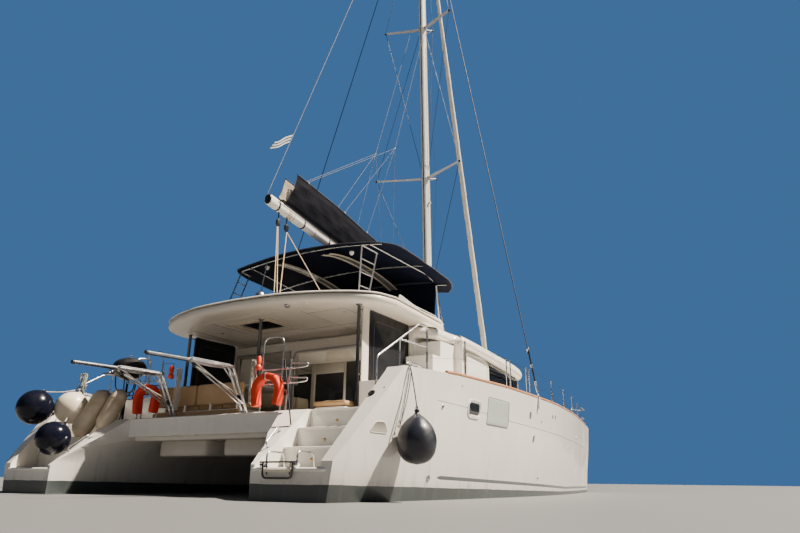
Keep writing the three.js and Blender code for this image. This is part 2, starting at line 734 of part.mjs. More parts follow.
// Bimini top on its bows: a shallow arch, a little lower forward and at its ends
const BIMINI = { x: [-3700, -460], y: 2100, corner: 330, edgeZ: 4690, crownZ: 4850, thick: 35, slope: -0.055 };
const BIMINI_ROWS = [0, 0.06, 0.12, 0.25, 0.38, 0.5, 0.62, 0.75, 0.88, 0.94, 1]; // along the boat
const BIMINI_COLUMNS = [-1, -0.94, -0.8, -0.4, 0, 0.4, 0.8, 0.94, 1]; // across it
function biminiPoint(x, across) {
  const t = (x - BIMINI.x[0]) / (BIMINI.x[1] - BIMINI.x[0]);
  const end = Math.abs(2 * t - 1) ** 6;
  const z = mix(BIMINI.crownZ, BIMINI.edgeZ, across * across) - 50 * end + BIMINI.slope * (x - BIMINI.x[0]);
  return point(x, (BIMINI.y - BIMINI.corner * end) * across, z);
}

function bimini() {
  const rings = BIMINI_ROWS.map((row) => {
    const upper = BIMINI_COLUMNS.map((across) => biminiPoint(mix(...BIMINI.x, row), across));
    const lower = upper.map((p) => point(p.x, p.y, p.z - BIMINI.thick)).reverse();
    return [...upper, ...lower];
  });
  return skin(rings);
}

// Bows under the canvas, fore-and-aft rails, ladder-like aft supports and forward legs on foot plates
const FRAME = { bows: [0.06, 0.5, 0.88], rail: 0.8, tube: 15 };
// Aft supports: where across the canvas their heads sit, and the x of their feet; the port one stands further out
const LADDERS = { "-1": [-0.7, [-3720, -3460]], 1: [0.94, [-4020, -3740]] };
function biminiFrame() {
  const drop = BIMINI.thick + FRAME.tube + 0.8;
  const under = (row, across) =>
    biminiPoint(mix(...BIMINI.x, row), across).sub(point(0, 0, drop));
  const spread = BIMINI_COLUMNS.slice(1, -1);
  const pieces = FRAME.bows.map((row) => pipe(spread.map((across) => under(row, across)), FRAME.tube, 6));
  const foot = (x, y) => {
    pieces.push(box([x - 40, x + 40], [y - 40, y + 40], [FLY_Z + SEAT, FLY_Z + 16]));
    return point(x, y, FLY_Z + 12);
  };
  for (const s of [-1, 1]) {
    const heads = FRAME.bows.map((row) => under(row, s * FRAME.rail));
    const fore = heads[2];
    pieces.push(pipe(heads, FRAME.tube, 6));
    const [reach, feet] = LADDERS[s];
    const rails = [0, 1].map((i) => {
      const head = under(FRAME.bows[0], reach).lerp(under(FRAME.bows[1], reach), 0.2 * i).sub(point(0, 0, 4));
      return [head, foot(feet[i], head.y)];
    });
    for (const rail of rails) pieces.push(pipe(rail, FRAME.tube, 6));
    for (let i = 1; i <= 4; i++) {
      pieces.push(pipe(rails.map(([head, end]) => head.clone().lerp(end, i / 5)), 11, 6));
    }
    pieces.push(pipe([rails[0][0], rails[1][0]], FRAME.tube, 6));
    pieces.push(pipe([fore, foot(-640, s * 1770)], FRAME.tube, 6));
  }
  return join(...pieces);
}

// A middle post and, on each side, a post with the screen that closes the cockpit
const POST = { radius: 30, starboardX: -4770, portX: -4400, middle: [-4760, -30] };
const roofPost = (x, y, foot) => pipe([point(x, y, foot + SEAT), point(x, y, ROOF_Z - SEAT)], POST.radius, 10);

function sideScreen(postX) {
  const y = PASSAGE_Y - 95;
  const screen = box([postX + 130, BULKHEAD_X - SEAT], [y - 14, y + 14], [DECK_Z + 60, ROOF_Z - SEAT]);
  const bars = [DECK_Z + 100, ROOF_Z - 60].map((z) => pipe([point(postX, y, z), point(postX + 160, y, z)], 12, 6));
  return join(roofPost(postX, y, SOLE_Z), screen, ...bars);
}

// RIG
const mastX = (z) => MAST_FOOT.x + MAST_RAKE * (z - MAST_FOOT.z);
const SPREADERS = [
  { z: 8720, sweep: 550, reach: 1360 },
  { z: 13900, sweep: 400, reach: 1130 },
];
const STAY_FOOT = point(6490, 0, 1760);
const hounds = point(mastX(HOUNDS_Z) + 150, 0, HOUNDS_Z);
const PIN = { aft: 210, top: 90, bottom: -70, radius: 24 }; // gooseneck pin, aft of the mast's centre
function mast() {
  const ring = (z, along, across) =>
    Array.from({ length: 16 }, (_, i) => {
      const angle = (2 * Math.PI * i) / 16;
      return point(mastX(z) + along * Math.cos(angle), across * Math.sin(angle), z);
    });
  const stick = skin([
    ring(MAST_FOOT.z + SEAT, 150, 100),
    ring(HOUNDS_Z - 1500, 140, 95),
    ring(MAST_TOP_Z, 90, 60),
  ]);
  const pieces = [stick];
  for (const { z, sweep, reach } of SPREADERS) {
    const root = point(mastX(z), 0, z);
    for (const s of [-1, 1]) {
      pieces.push(pipe([root, point(root.x - sweep, s * reach, z)], 28, 6));
      pieces.push(pipe([root, point(root.x + 330, s * 190, z + 110)], 16, 6));
    }
    pieces.push(pipe([point(root.x + 330, -200, z + 110), point(root.x + 330, 200, z + 110)], 16, 6));
  }
  pieces.push(box([mastX(MAST_TOP_Z) - 320, mastX(MAST_TOP_Z) + 240], [-30, 30], [MAST_TOP_Z - 60, MAST_TOP_Z]));
  const pinX = mastX(GOOSENECK_Z) - PIN.aft;
  for (const z of [[PIN.top + SEAT, PIN.top + 20], [PIN.bottom - 20, PIN.bottom - SEAT]]) {
    pieces.push(box([pinX - 30, pinX + PIN.aft], [-35, 35], z.map((height) => GOOSENECK_Z + height)));
  }
  const masthead = mastX(HOUNDS_Z);
  pieces.push(box([masthead, hounds.x + 40], [-20, 20], [HOUNDS_Z - 2, HOUNDS_Z + 30]));
  pieces.push(box([masthead - 30, masthead + 30], [-130, 130], [HOUNDS_Z - 9, HOUNDS_Z + 30]));
  return join(...pieces);
}

// Forestay with its drum and the genoa rolled on it
function genoa() {
  const up = (t) => STAY_FOOT.clone().lerp(hounds, t);
  const along = hounds.clone().sub(STAY_FOOT).normalize();
  const length = hounds.distanceTo(STAY_FOOT);
  return turned(
    [
      [0, 4.2],
      [14, 4.2],
      [14, 330],
      [90, 335],
      [90, 470],
      [40, 480],
      [55, 700],
      [85, 3000],
      [75, length * 0.6],
      [40, length - 900],
      [12, length - 700],
      [12, length - 6],
      [0, length - 6],
    ],
    10,
    up(0),
    along,
  );
}

function capShroud() {
  const top = point(mastX(HOUNDS_Z), 100, HOUNDS_Z);
  const along = top.clone().sub(CHAINPLATE).normalize();
  const length = top.distanceTo(CHAINPLATE);
  return turned(
    [[0, 0], [24, 0], [24, 260], [16, 280], [16, 900], [22, 920], [22, 1080], [8, 1100], [8, length - 12], [0, length - 12]],
    8,
    CHAINPLATE,
    along,
  );
}

// Boom about the gooseneck at the local origin, pointing aft
const boomZ = (x) => -x * BOOM_RISE;
function boom() {
  const section = (x, wide, high) =>
    Array.from({ length: 12 }, (_, i) => {
      const angle = (2 * Math.PI * i) / 12;
      return point(x, wide * Math.sin(angle), boomZ(x) + high * Math.cos(angle));
    });
  const spar = skin([section(-60, 90, 100), section(-BOOM_LENGTH, 90, 110)]);
  const { radius, bottom, top } = PIN;
  const pin = turned([[0, bottom], [radius, bottom], [radius, top], [0, top]], 12, point(0, 0, 0));
  const lug = box([-80, 0], [-20, 20], [-45, 55]);
  return join(spar, lug, pin);
}

// Stowed mainsail in its open bag, its sides let down over the boom
function lazyBag() {
  // Columns: x, half width and top above the boom's centre
  const table = [
    [-350, 120, 600],
    [-2600, 190, 780],
    [-4700, 200, 850],
    [-5850, 170, 850],
    [-6150, 90, 280],
  ];
  const onBoom = (x) => 100 + (10 * (-x - 60)) / (BOOM_LENGTH - 60) + 2 * SEAT;
  return skin(
    table.map(([x, half, high]) => {
      const low = onBoom(x);
      return [
        [0, low],
        [half, low + 40],
        [half * 0.9, mix(low, high, 0.6)],
        [half * 0.3, high],
        [-half * 0.3, high],
        [-half * 0.9, mix(low, high, 0.6)],
        [-half, low + 40],
      ].map(([y, z]) => point(x, y, boomZ(x) + z));
    }),
  );
}

// BOW
const FORE_BEAM = { x: 6400, z: 1560, radius: 95 };
function foreBeam(hullSolid) {
  const half = 2600;
  const tube = pipe([point(FORE_BEAM.x, -half, FORE_BEAM.z), point(FORE_BEAM.x, half, FORE_BEAM.z)], FORE_BEAM.radius, 14);
  const striker = prism([[FORE_BEAM.z + 40, FORE_BEAM.x - 10], [FORE_BEAM.z + 40, FORE_BEAM.x + 120],
    [STAY_FOOT.z, FORE_BEAM.x + 130], [STAY_FOOT.z, FORE_BEAM.x + 50]], "y", [-30, 30]);
  const portHull = hullSolid.translate([0, -SEAT, 0]);
  return cut(join(tube, striker), portHull, portHull.mirror([0, 1, 0]));
}

// Narrow deck down the centre, its forward end lying on the beam
const WALKWAY_Y = 330;
function walkway() {
  return box([FOREDECK_X + SEAT, FORE_BEAM.x + 5], [-WALKWAY_Y, WALKWAY_Y],
    [FORE_BEAM.z + FORE_BEAM.radius + SEAT, DECK_Z - 20]);
}

function trampoline() {
  const inner = (x) => {
    const [a, b, t] = between(x);
    return mix(a[4], b[4], t) - SEAT;
  };
  const aft = FOREDECK_X + 130;
  const fore = FORE_BEAM.x - FORE_BEAM.radius - 10;
  const side = WALKWAY_Y + SEAT;
  const edge = [aft, ...SECTION_X.filter((x) => x > aft && x < fore), fore];
  return prism(
    [[aft, side], [fore, side], ...edge.reverse().map((x) => [x, inner(x)])],
    "z",
    [DECK_Z - 90, DECK_Z - 75],
  );
}

// RAILS
const sheerAt = (x) => {
  const [a, b, t] = between(x);
  return point(x, mix(a[1], b[1], t) - 130, Math.min(DECK_Z, mix(a[5], b[5], t) - 5));
};
const STANCHION_X = [-4000, -2300, -2060, -1210, -970, 450, 1900, 3400, 4900, 6250];
const RAIL_HEIGHT = 620;
const QUARTER_Y = 3300; // quarter rail beside the landing
function guardRail() {
  const feet = STANCHION_X.map(sheerAt);
  const lift = (p, height) => point(p.x, p.y, p.z + height);
  const posts = feet.map((p) => pipe([lift(p, SEAT), lift(p, RAIL_HEIGHT)], 13, 6));
  const line = (height, aftZ) => [point(-4560, QUARTER_Y, aftZ), ...feet.map((p) => lift(p, height))];
  const wires = [pipe(line(RAIL_HEIGHT - 10, 2400), 6, 5), pipe(line(330, 2120), 6, 5)];
  const bow = feet[feet.length - 1];
  const pulpit = pipe(
    rounded(
      [lift(bow, RAIL_HEIGHT - 10), point(6900, 2790, 2400), point(6900, 2600, 2400), point(6420, 2480, 2400),
        point(6420, 2480, DECK_Z + SEAT)],
      120,
    ),
    14,
    6,
  );
  const quarter = pipe(
    rounded(
      [point(-5910, QUARTER_Y, SOLE_Z + SEAT), point(-5910, QUARTER_Y, 1900), point(-4900, QUARTER_Y, 2600),
        point(-4560, QUARTER_Y, 2600), point(-4560, QUARTER_Y, DECK_Z + SEAT)],
      110,
    ),
    15,
    6,
  );
  const middle = pipe([point(-5400, QUARTER_Y, 2253), point(-4560, QUARTER_Y, 2200)], 12, 6);
  return join(...posts, ...wires, pulpit, quarter, middle);
}

// STERN FITTINGS
// Twin-tube arm on a raked post, braced to it, with a single tube beyond the knee
const DAVIT = { y: 800, foot: [-5790, SOLE_Z + 20], hinge: [-6170, 1900], knee: [-6990, 1880], end: [-7730, 1860] };
function davit() {
  const { foot, hinge, knee, end } = DAVIT;
  const at = ([x, z], dy = 0) => point(x, DAVIT.y + dy, z);
  const brace = [mix(foot[0], hinge[0], 0.18), mix(foot[1], hinge[1], 0.18)];
  const pieces = [-45, 45].flatMap((dy) => [
    pipe([at(foot, dy), at(hinge, dy)], 24, 8),
    pipe([at(hinge, dy), at(knee, dy)], 20, 8),
    pipe([at(knee, dy), at(brace, dy)], 13, 6),
  ]);
  pieces.push(box([foot[0] - 70, foot[0] + 70], [DAVIT.y - 90, DAVIT.y + 90], [SOLE_Z + SEAT, SOLE_Z + 24]));
  pieces.push(pipe([at(hinge, -70), at(hinge, 70)], 30, 10));
  pieces.push(pipe([at(knee, -60), at(knee, 60)], 26, 8));
  pieces.push(pipe([at(knee), at(end)], 30, 10));
  return join(...pieces);
}

// Rail beside the davit, with the gate post at the head of the steps
const PUSHPIT = { x: -5850, inner: 1160, outer: 1560, post: 1740 };
function pushpit() {
  const { x, inner, outer, post } = PUSHPIT;
  const at = (y, z) => point(x, y, z);
  const foot = SOLE_Z + SEAT;
  const hairpin = (z) => [at(2035, z + 12), at(2055, z + 24), at(2055, z + 44), at(2035, z + 58)];
  const arms = [1860, 1640].map((z) => pipe([at(outer, z), ...hairpin(z), at(post, z + 80)], 12, 6));
  return join(
    pipe(rounded([at(inner, foot), at(inner, 2370), at(outer - 40, 2370), at(outer, 1650), at(outer, foot)], 60), 13, 6),
    pipe([at(inner, 1780), at(outer, 1780)], 10, 6),
    pipe([at(post - 70, foot), at(post - 70, foot + 100), at(post - 10, 2000)], 14, 6),
    ...arms,
  );
}

const LADDER = { x: STERN_X - 45, y: 2600, z: PLATFORM_Z + 60, half: 235, drop: 190, tube: 13, hinge: 16 };
function swimLadder() {
  const { half, drop, tube } = LADDER;
  const frame = pipe(
    rounded([point(0, -half, 0), point(0, -half, -drop), point(0, half, -drop), point(0, half, 0)], 60),
    tube,
    6,
  );
  const tread = box([-30, 30], [-half, half], [-120, -95]);
  const hinge = pipe([point(0, -half - 50, 0), point(0, half + 50, 0)], LADDER.hinge, 8);
  return join(frame, tread, hinge);
}

function ladderFittings() {
  const { x, y, z, half } = LADDER;
  const top = PLATFORM_Z + 190;
  return [-1, 1].flatMap((s) => {
    const loopY = y + s * (half + 10);
    const earY = y + s * (half + 35);
    return [
      box([x - 8, x + 90], [earY - 10, earY + 10], [PLATFORM_Z - 2, z - LADDER.hinge - SEAT]),
      pipe(
        rounded(
          [point(x + 75, loopY, PLATFORM_Z - 5), point(x + 75, loopY, top), point(x + 400, loopY, top),
            point(x + 430, loopY, PLATFORM_Z - 5)],
          70,
        ),
        LADDER.tube,
        6,
      ),
    ];
  });
}

const HORSESHOE = { x: PUSHPIT.x - 73 - SEAT, y: 1350, z: 1530, across: 240, up: 215 };
function horseshoe() {
  const route = [];
  for (let i = 0; i <= 16; i++) {
    const angle = mix(-0.28, 1.28, i / 16) * Math.PI;
    route.push(point(0, HORSESHOE.across * Math.cos(angle), HORSESHOE.up * Math.sin(angle)));
  }
  return pipe(route, 60, 8);
}

// An inflated ball with its eye, and the lanyard from the eye along a route
function hungBall(place, radius, route) {
  const neck = [[0, 0], [90, 0], [40, 110], [32, 150], [0, 150]];
  return join(
    ball(place, radius, 16),
    turned(neck, 10, point(place.x, place.y, place.z + radius - 40)),
    pipe([point(place.x, place.y, place.z + radius + 90), ...route], 8, 5),
  );
}

const STARBOARD_BALL = { place: point(-5860, 3915, 765), radius: 248 };
const KNOT = point(-5932.7, QUARTER_Y, 1700); // where the port lanyards meet, against the quarter rail
const PORT_BALLS = [
  [point(-6800, 3149, 1404), 300],
  [point(-6740, 2566, 875), 280],
  [point(-6300, 2881, 1430), 285],
];
function portFenders() {
  const long = pipe([point(-6180, 2700, 1130), point(-6010, 2330, 1640)], 160, 14);
  const tie = pipe([point(-6010, 2330, 1600), point(-6010, 2330, 1720), KNOT], 8, 5);
  return join(...PORT_BALLS.map(([place, radius]) => hungBall(place, radius, [KNOT])), long, tie);
}

// Round charcoal grill on a pole from the port landing, its lid hinged at the forward edge
const GRILL = { x: -5750, y: 2180, z: 2185, radius: 290, deep: 240, lid: 170 };
function grillBowl() {
  const { x, y, z, radius, deep } = GRILL;
  const profile = [[0, -deep], [0.38 * radius, -0.94 * deep], [0.8 * radius, -0.55 * deep], [radius, 0], [0, 0]];
  const bowl = turned(profile, 20, point(x, y, z));
  const pole = pipe([point(x, y, SOLE_Z + SEAT), point(x, y, z - deep + 20)], 20, 8);
  const foot = box([x - 60, x + 60], [y - 60, y + 60], [SOLE_Z + SEAT, SOLE_Z + 12]);
  const lug = box([x + radius - 20, x + radius + 20], [y - 40, y + 40], [z - 30, z - 8]);
  return join(bowl, pole, foot, lug);
}

function grillLid() {
  const { x, y, z, radius, lid } = GRILL;
  const profile = [[0, SEAT], [radius, SEAT], [0.92 * radius, 0.4 * lid], [0.6 * radius, 0.84 * lid], [0, lid]];
  return turned(profile, 20, point(x, y, z));
}

// ASSEMBLY
const boat = new THREE.Group();
const port = new THREE.Group();
const starboard = new THREE.Group();
starboard.scale.y = -1;
boat.add(port, starboard);

function add(name, made, material, { parent = boat, at = [0, 0, 0] } = {}) {
  const mesh = new THREE.Mesh(geometryOf(made), new THREE.MeshStandardMaterial(MATERIALS[material]));
  mesh.name = name;
  mesh.position.set(...at);
  parent.add(mesh);
}

function addPair(name, made, material, at) {
  add(name + "_port", made, material, { parent: port, at });
  add(name + "_starboard", made, material, { parent: starboard, at });
}

const hullSolid = hull();
const overRoof = coachSlab(COACH.thick + SEAT, -2000);
add("hull_port", hullSolid, "gelcoat", { parent: port });
add("hull_starboard", join(hullSolid, ...ladderFittings()), "gelcoat", { parent: starboard });
addPair("keel", keel(hullSolid), "antifouling");
addPair("engine", engine(), "engine");
addPair("propeller", propeller(), "bronze", [PROP.x, LEG.y, PROP.z]);
addPair("rudder", rudder(), "antifouling", [RUDDER.x, RUDDER.y, 0]);
addPair("engine_hatch", engineHatch(), "gelcoat");
add("bridge_deck", bridgeDeck(), "gelcoat");
add("cockpit_bench", cockpitBench(), "tan");
add("cockpit_side_seat", cockpitSideSeat(), "tan");
add("cockpit_table", cockpitTable(), "liner");
add("saloon_front", saloonFront(overRoof), "gelcoat");
add("saloon_front_glass", saloonFrontGlass(), "glass");
addPair("saloon_side", saloonSide(overRoof), "gelcoat");
addPair("saloon_side_glass", saloonSideGlass(), "glass");
add("coachroof", coachSlab(0, COACH.thick), "gelcoat");
add("bulkhead", bulkhead(overRoof), "gelcoat");
add("bulkhead_glass_port", pane(BULKHEAD_X - 12 - SEAT, PORT_LIGHT, 40), "glass");
add("bulkhead_glass_starboard", pane(BULKHEAD_X - 12 - SEAT, STARBOARD_LIGHT, 40), "glass");
add("saloon_door", box([DOOR.x, DOOR.x + DOOR.thick], [DOOR.y, DOOR.y + DOOR.width], DOOR.z), "glass");
add("hardtop", hardtop(), "gelcoat");
add("flybridge_coaming", coaming(), "gelcoat");
add("flybridge_seats", flybridgeSeats(), "tan");
add("helm_console", helmConsole(), "gelcoat");
add("steering_wheel", steeringWheel(), "steel", { at: [WHEEL.x, WHEEL.y, WHEEL.z] });
add("bimini", bimini(), "navy");
add("bimini_frame", biminiFrame(), "steel");
add("roof_post_middle", roofPost(...POST.middle, SOLE_Z), "black");
add("side_screen_port", sideScreen(POST.portX), "glass", { parent: port });
add("side_screen_starboard", sideScreen(POST.starboardX), "glass", { parent: starboard });
add("mast", mast(), "alloy");
add("furled_genoa", genoa(), "sailcloth");
addPair("cap_shroud", capShroud(), "steel");
const gooseneck = [mastX(GOOSENECK_Z) - PIN.aft, 0, GOOSENECK_Z];
add("boom", boom(), "alloy", { at: gooseneck });
add("lazy_bag", lazyBag(), "navy", { at: gooseneck });
add("fore_beam", foreBeam(hullSolid), "alloy");
add("walkway", walkway(), "gelcoat");
addPair("trampoline", trampoline(), "netting");
addPair("guard_rail", guardRail(), "steel");
addPair("davit", davit(), "steel");
add("swim_ladder", swimLadder(), "steel", { parent: starboard, at: [LADDER.x, LADDER.y, LADDER.z] });
addPair("pushpit", pushpit(), "steel");
addPair("horseshoe_buoy", horseshoe(), "buoy", [HORSESHOE.x, HORSESHOE.y, HORSESHOE.z]);
const starboardLine = [point(-5845, 3793, 1742), point(-5835, 3700, 1744), point(-5800, 3610, 1740)];
add("fender_starboard", hungBall(STARBOARD_BALL.place, STARBOARD_BALL.radius, starboardLine), "fender", {
  parent: starboard,
});
add("fenders_port", portFenders(), "fender");
add("grill_bowl", grillBowl(), "black");
add("grill_lid", grillLid(), "black");

export default boat;
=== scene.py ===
import json

import bmesh
import bpy
import numpy as np
from mathutils import Matrix, Vector
from mathutils.bvhtree import BVHTree
from numpy import array, asarray, clip, column_stack, concatenate, cos, cross, exp, full, interp
from numpy import linspace, meshgrid, pi, sign, sin, sqrt, stack

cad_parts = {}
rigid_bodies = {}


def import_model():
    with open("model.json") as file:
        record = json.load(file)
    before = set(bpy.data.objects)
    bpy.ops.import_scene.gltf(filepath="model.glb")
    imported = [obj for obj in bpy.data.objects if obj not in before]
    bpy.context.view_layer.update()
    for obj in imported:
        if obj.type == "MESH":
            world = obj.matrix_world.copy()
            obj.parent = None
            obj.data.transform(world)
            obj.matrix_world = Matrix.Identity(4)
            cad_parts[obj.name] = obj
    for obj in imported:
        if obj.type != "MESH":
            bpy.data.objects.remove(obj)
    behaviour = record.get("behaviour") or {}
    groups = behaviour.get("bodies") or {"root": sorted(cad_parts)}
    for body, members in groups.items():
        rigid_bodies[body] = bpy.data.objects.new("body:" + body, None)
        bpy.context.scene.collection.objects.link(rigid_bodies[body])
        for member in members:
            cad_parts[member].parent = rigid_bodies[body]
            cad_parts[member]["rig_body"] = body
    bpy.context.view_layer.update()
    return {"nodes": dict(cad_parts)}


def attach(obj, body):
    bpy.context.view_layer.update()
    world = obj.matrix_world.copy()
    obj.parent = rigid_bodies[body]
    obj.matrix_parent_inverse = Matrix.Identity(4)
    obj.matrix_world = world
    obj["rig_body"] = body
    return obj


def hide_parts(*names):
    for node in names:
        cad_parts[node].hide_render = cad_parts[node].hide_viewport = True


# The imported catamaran, in metres: X forward, Y to port, Z up from the waterline
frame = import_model()
NODES = frame["nodes"]
SIDES = {"port": 1, "starboard": -1}
X, Y, Z = np.eye(3)

# Levels and places that several pieces share
SOLE, DECK, FLY = 1.22, 1.80, 3.27
# What stands on a floor starts a hair above it
AT_SOLE, ON_SOLE, ON_FLY = SOLE + 0.0005, SOLE + 0.001, FLY + 0.0005
MAST_X, RAKE = 1.977, -0.035
GOOSENECK = array([1.6683, 0, 4.62])
BOOM_RISE, BOOM_END = 0.13, -6.48


def mast_x(z):
    """Where the raked mast's middle stands at a height."""
    return MAST_X + RAKE * (z - DECK)


# SHAPES
def xyz(x, y, z):
    """Points from their three coordinates, each an array or one value for all."""
    return stack(np.broadcast_arrays(x, y, z), -1)


def angles(count):
    """Even steps of one turn."""
    return linspace(0, 2 * pi, count + 1)[:-1]


def closed(points):
    """Points with the first one again at the end."""
    return concatenate([points, points[:1]])


def unit(v):
    """Each row divided by its length."""
    return v / np.maximum(np.linalg.norm(v, axis=-1, keepdims=True), 1e-12)


def even(points, count):
    """Points at equal steps of running length along a polyline."""
    p = asarray(points, float)
    run = concatenate([[0], np.cumsum(np.linalg.norm(np.diff(p, axis=0), axis=1))])
    at = linspace(0, run[-1], count)
    return stack([interp(at, run, column) for column in p.T], 1)


def spline(points, count, closed=False):
    """A cubic through the points whose slope at each is half the chord between its two neighbours."""
    p = asarray(points, float)
    spans = len(p) if closed else len(p) - 1
    t = linspace(0, spans, count, endpoint=not closed)
    k = np.minimum(t.astype(int), spans - 1)
    u = (t - k)[:, None]
    pick = (lambda i: i % len(p)) if closed else (lambda i: clip(i, 0, len(p) - 1))
    a, b, c, d = (p[pick(k + step)] for step in (-1, 0, 1, 2))
    return b + 0.5 * u * (c - a + u * (2 * a - 5 * b + 4 * c - d + u * (3 * (b - c) + d - a)))


def bent(points, radius, steps=5):
    """A polyline with each inner corner turned into a parabola that leaves and rejoins it one radius away."""
    p = [asarray(q, float) for q in points]
    t = linspace(0, 1, steps + 1)[:, None]
    out = [p[0][None]]
    for a, b, c in zip(p, p[1:], p[2:]):
        reach = min(radius, np.linalg.norm(a - b) / 2.1, np.linalg.norm(c - b) / 2.1)
        start, end = b + unit(a - b) * reach, b + unit(c - b) * reach
        out.append((1 - t) ** 2 * start + 2 * t * (1 - t) * b + t**2 * end)
    return concatenate([*out, p[-1][None]])


def outward(plan):
    """Level normals pointing out of a closed plan."""
    step = unit(np.roll(plan, -1, 0) - np.roll(plan, 1, 0))
    area = (plan[:, 0] * np.roll(plan[:, 1], -1) - plan[:, 1] * np.roll(plan[:, 0], -1)).sum()
    return stack([step[:, 1], -step[:, 0]], 1) * sign(area)


def circle(sides, squash=1.0, power=1.0):
    """Points (cos a, squash sin a), each raised to a power that keeps its sign: below 1 squares the ring."""
    a = np.arange(sides) * 2 * pi / sides
    ring = stack([cos(a), sin(a)], 1)
    return sign(ring) * np.abs(ring) ** power * [1, squash]


def rectangle(wide, high, radius, steps=5):
    """A rectangle's outline about the origin with quarter circles of one radius for corners."""
    a = linspace(0, pi / 2, steps)
    arc = radius * stack([cos(a), sin(a)], 1)
    out = []
    for turn, (sx, sy) in enumerate([(1, 1), (-1, 1), (-1, -1), (1, -1)]):
        c, s = cos(turn * pi / 2), sin(turn * pi / 2)
        out.append(arc @ array([[c, s], [-s, c]]) + [sx * (wide / 2 - radius), sy * (high / 2 - radius)])
    return concatenate(out)


def carried(path, outline, scale=1.0, up=None):
    """An outline (a, b) carried along a path: path + a side + b over, both square to the path's direction."""
    p = asarray(path, float)
    ahead = unit(np.gradient(p, axis=0))
    ref = np.eye(3)[np.argmin(np.abs(ahead).max(0))] if up is None else asarray(up, float)
    side = unit(cross(ref, ahead))
    over = cross(ahead, side)
    grow = np.broadcast_to(asarray(scale, float), (len(p),))[:, None, None]
    return p[:, None] + grow * (outline[None, :, :1] * side[:, None] + outline[None, :, 1:] * over[:, None])


def turned(profile, sides, place=(0, 0, 0), axis=Z):
    """Profile points (radius, height) turned about an axis: place + r cos a e1 + r sin a e2 + h axis."""
    w = unit(asarray(axis, float))
    e1 = unit(cross(w, np.eye(3)[np.argmin(np.abs(w))]))
    e2 = cross(w, e1)
    ring = circle(sides)
    r, h = asarray(profile, float).T
    around = ring[:, :1] * e1 + ring[:, 1:] * e2
    return asarray(place, float) + r[:, None, None] * around[None] + h[:, None, None] * w


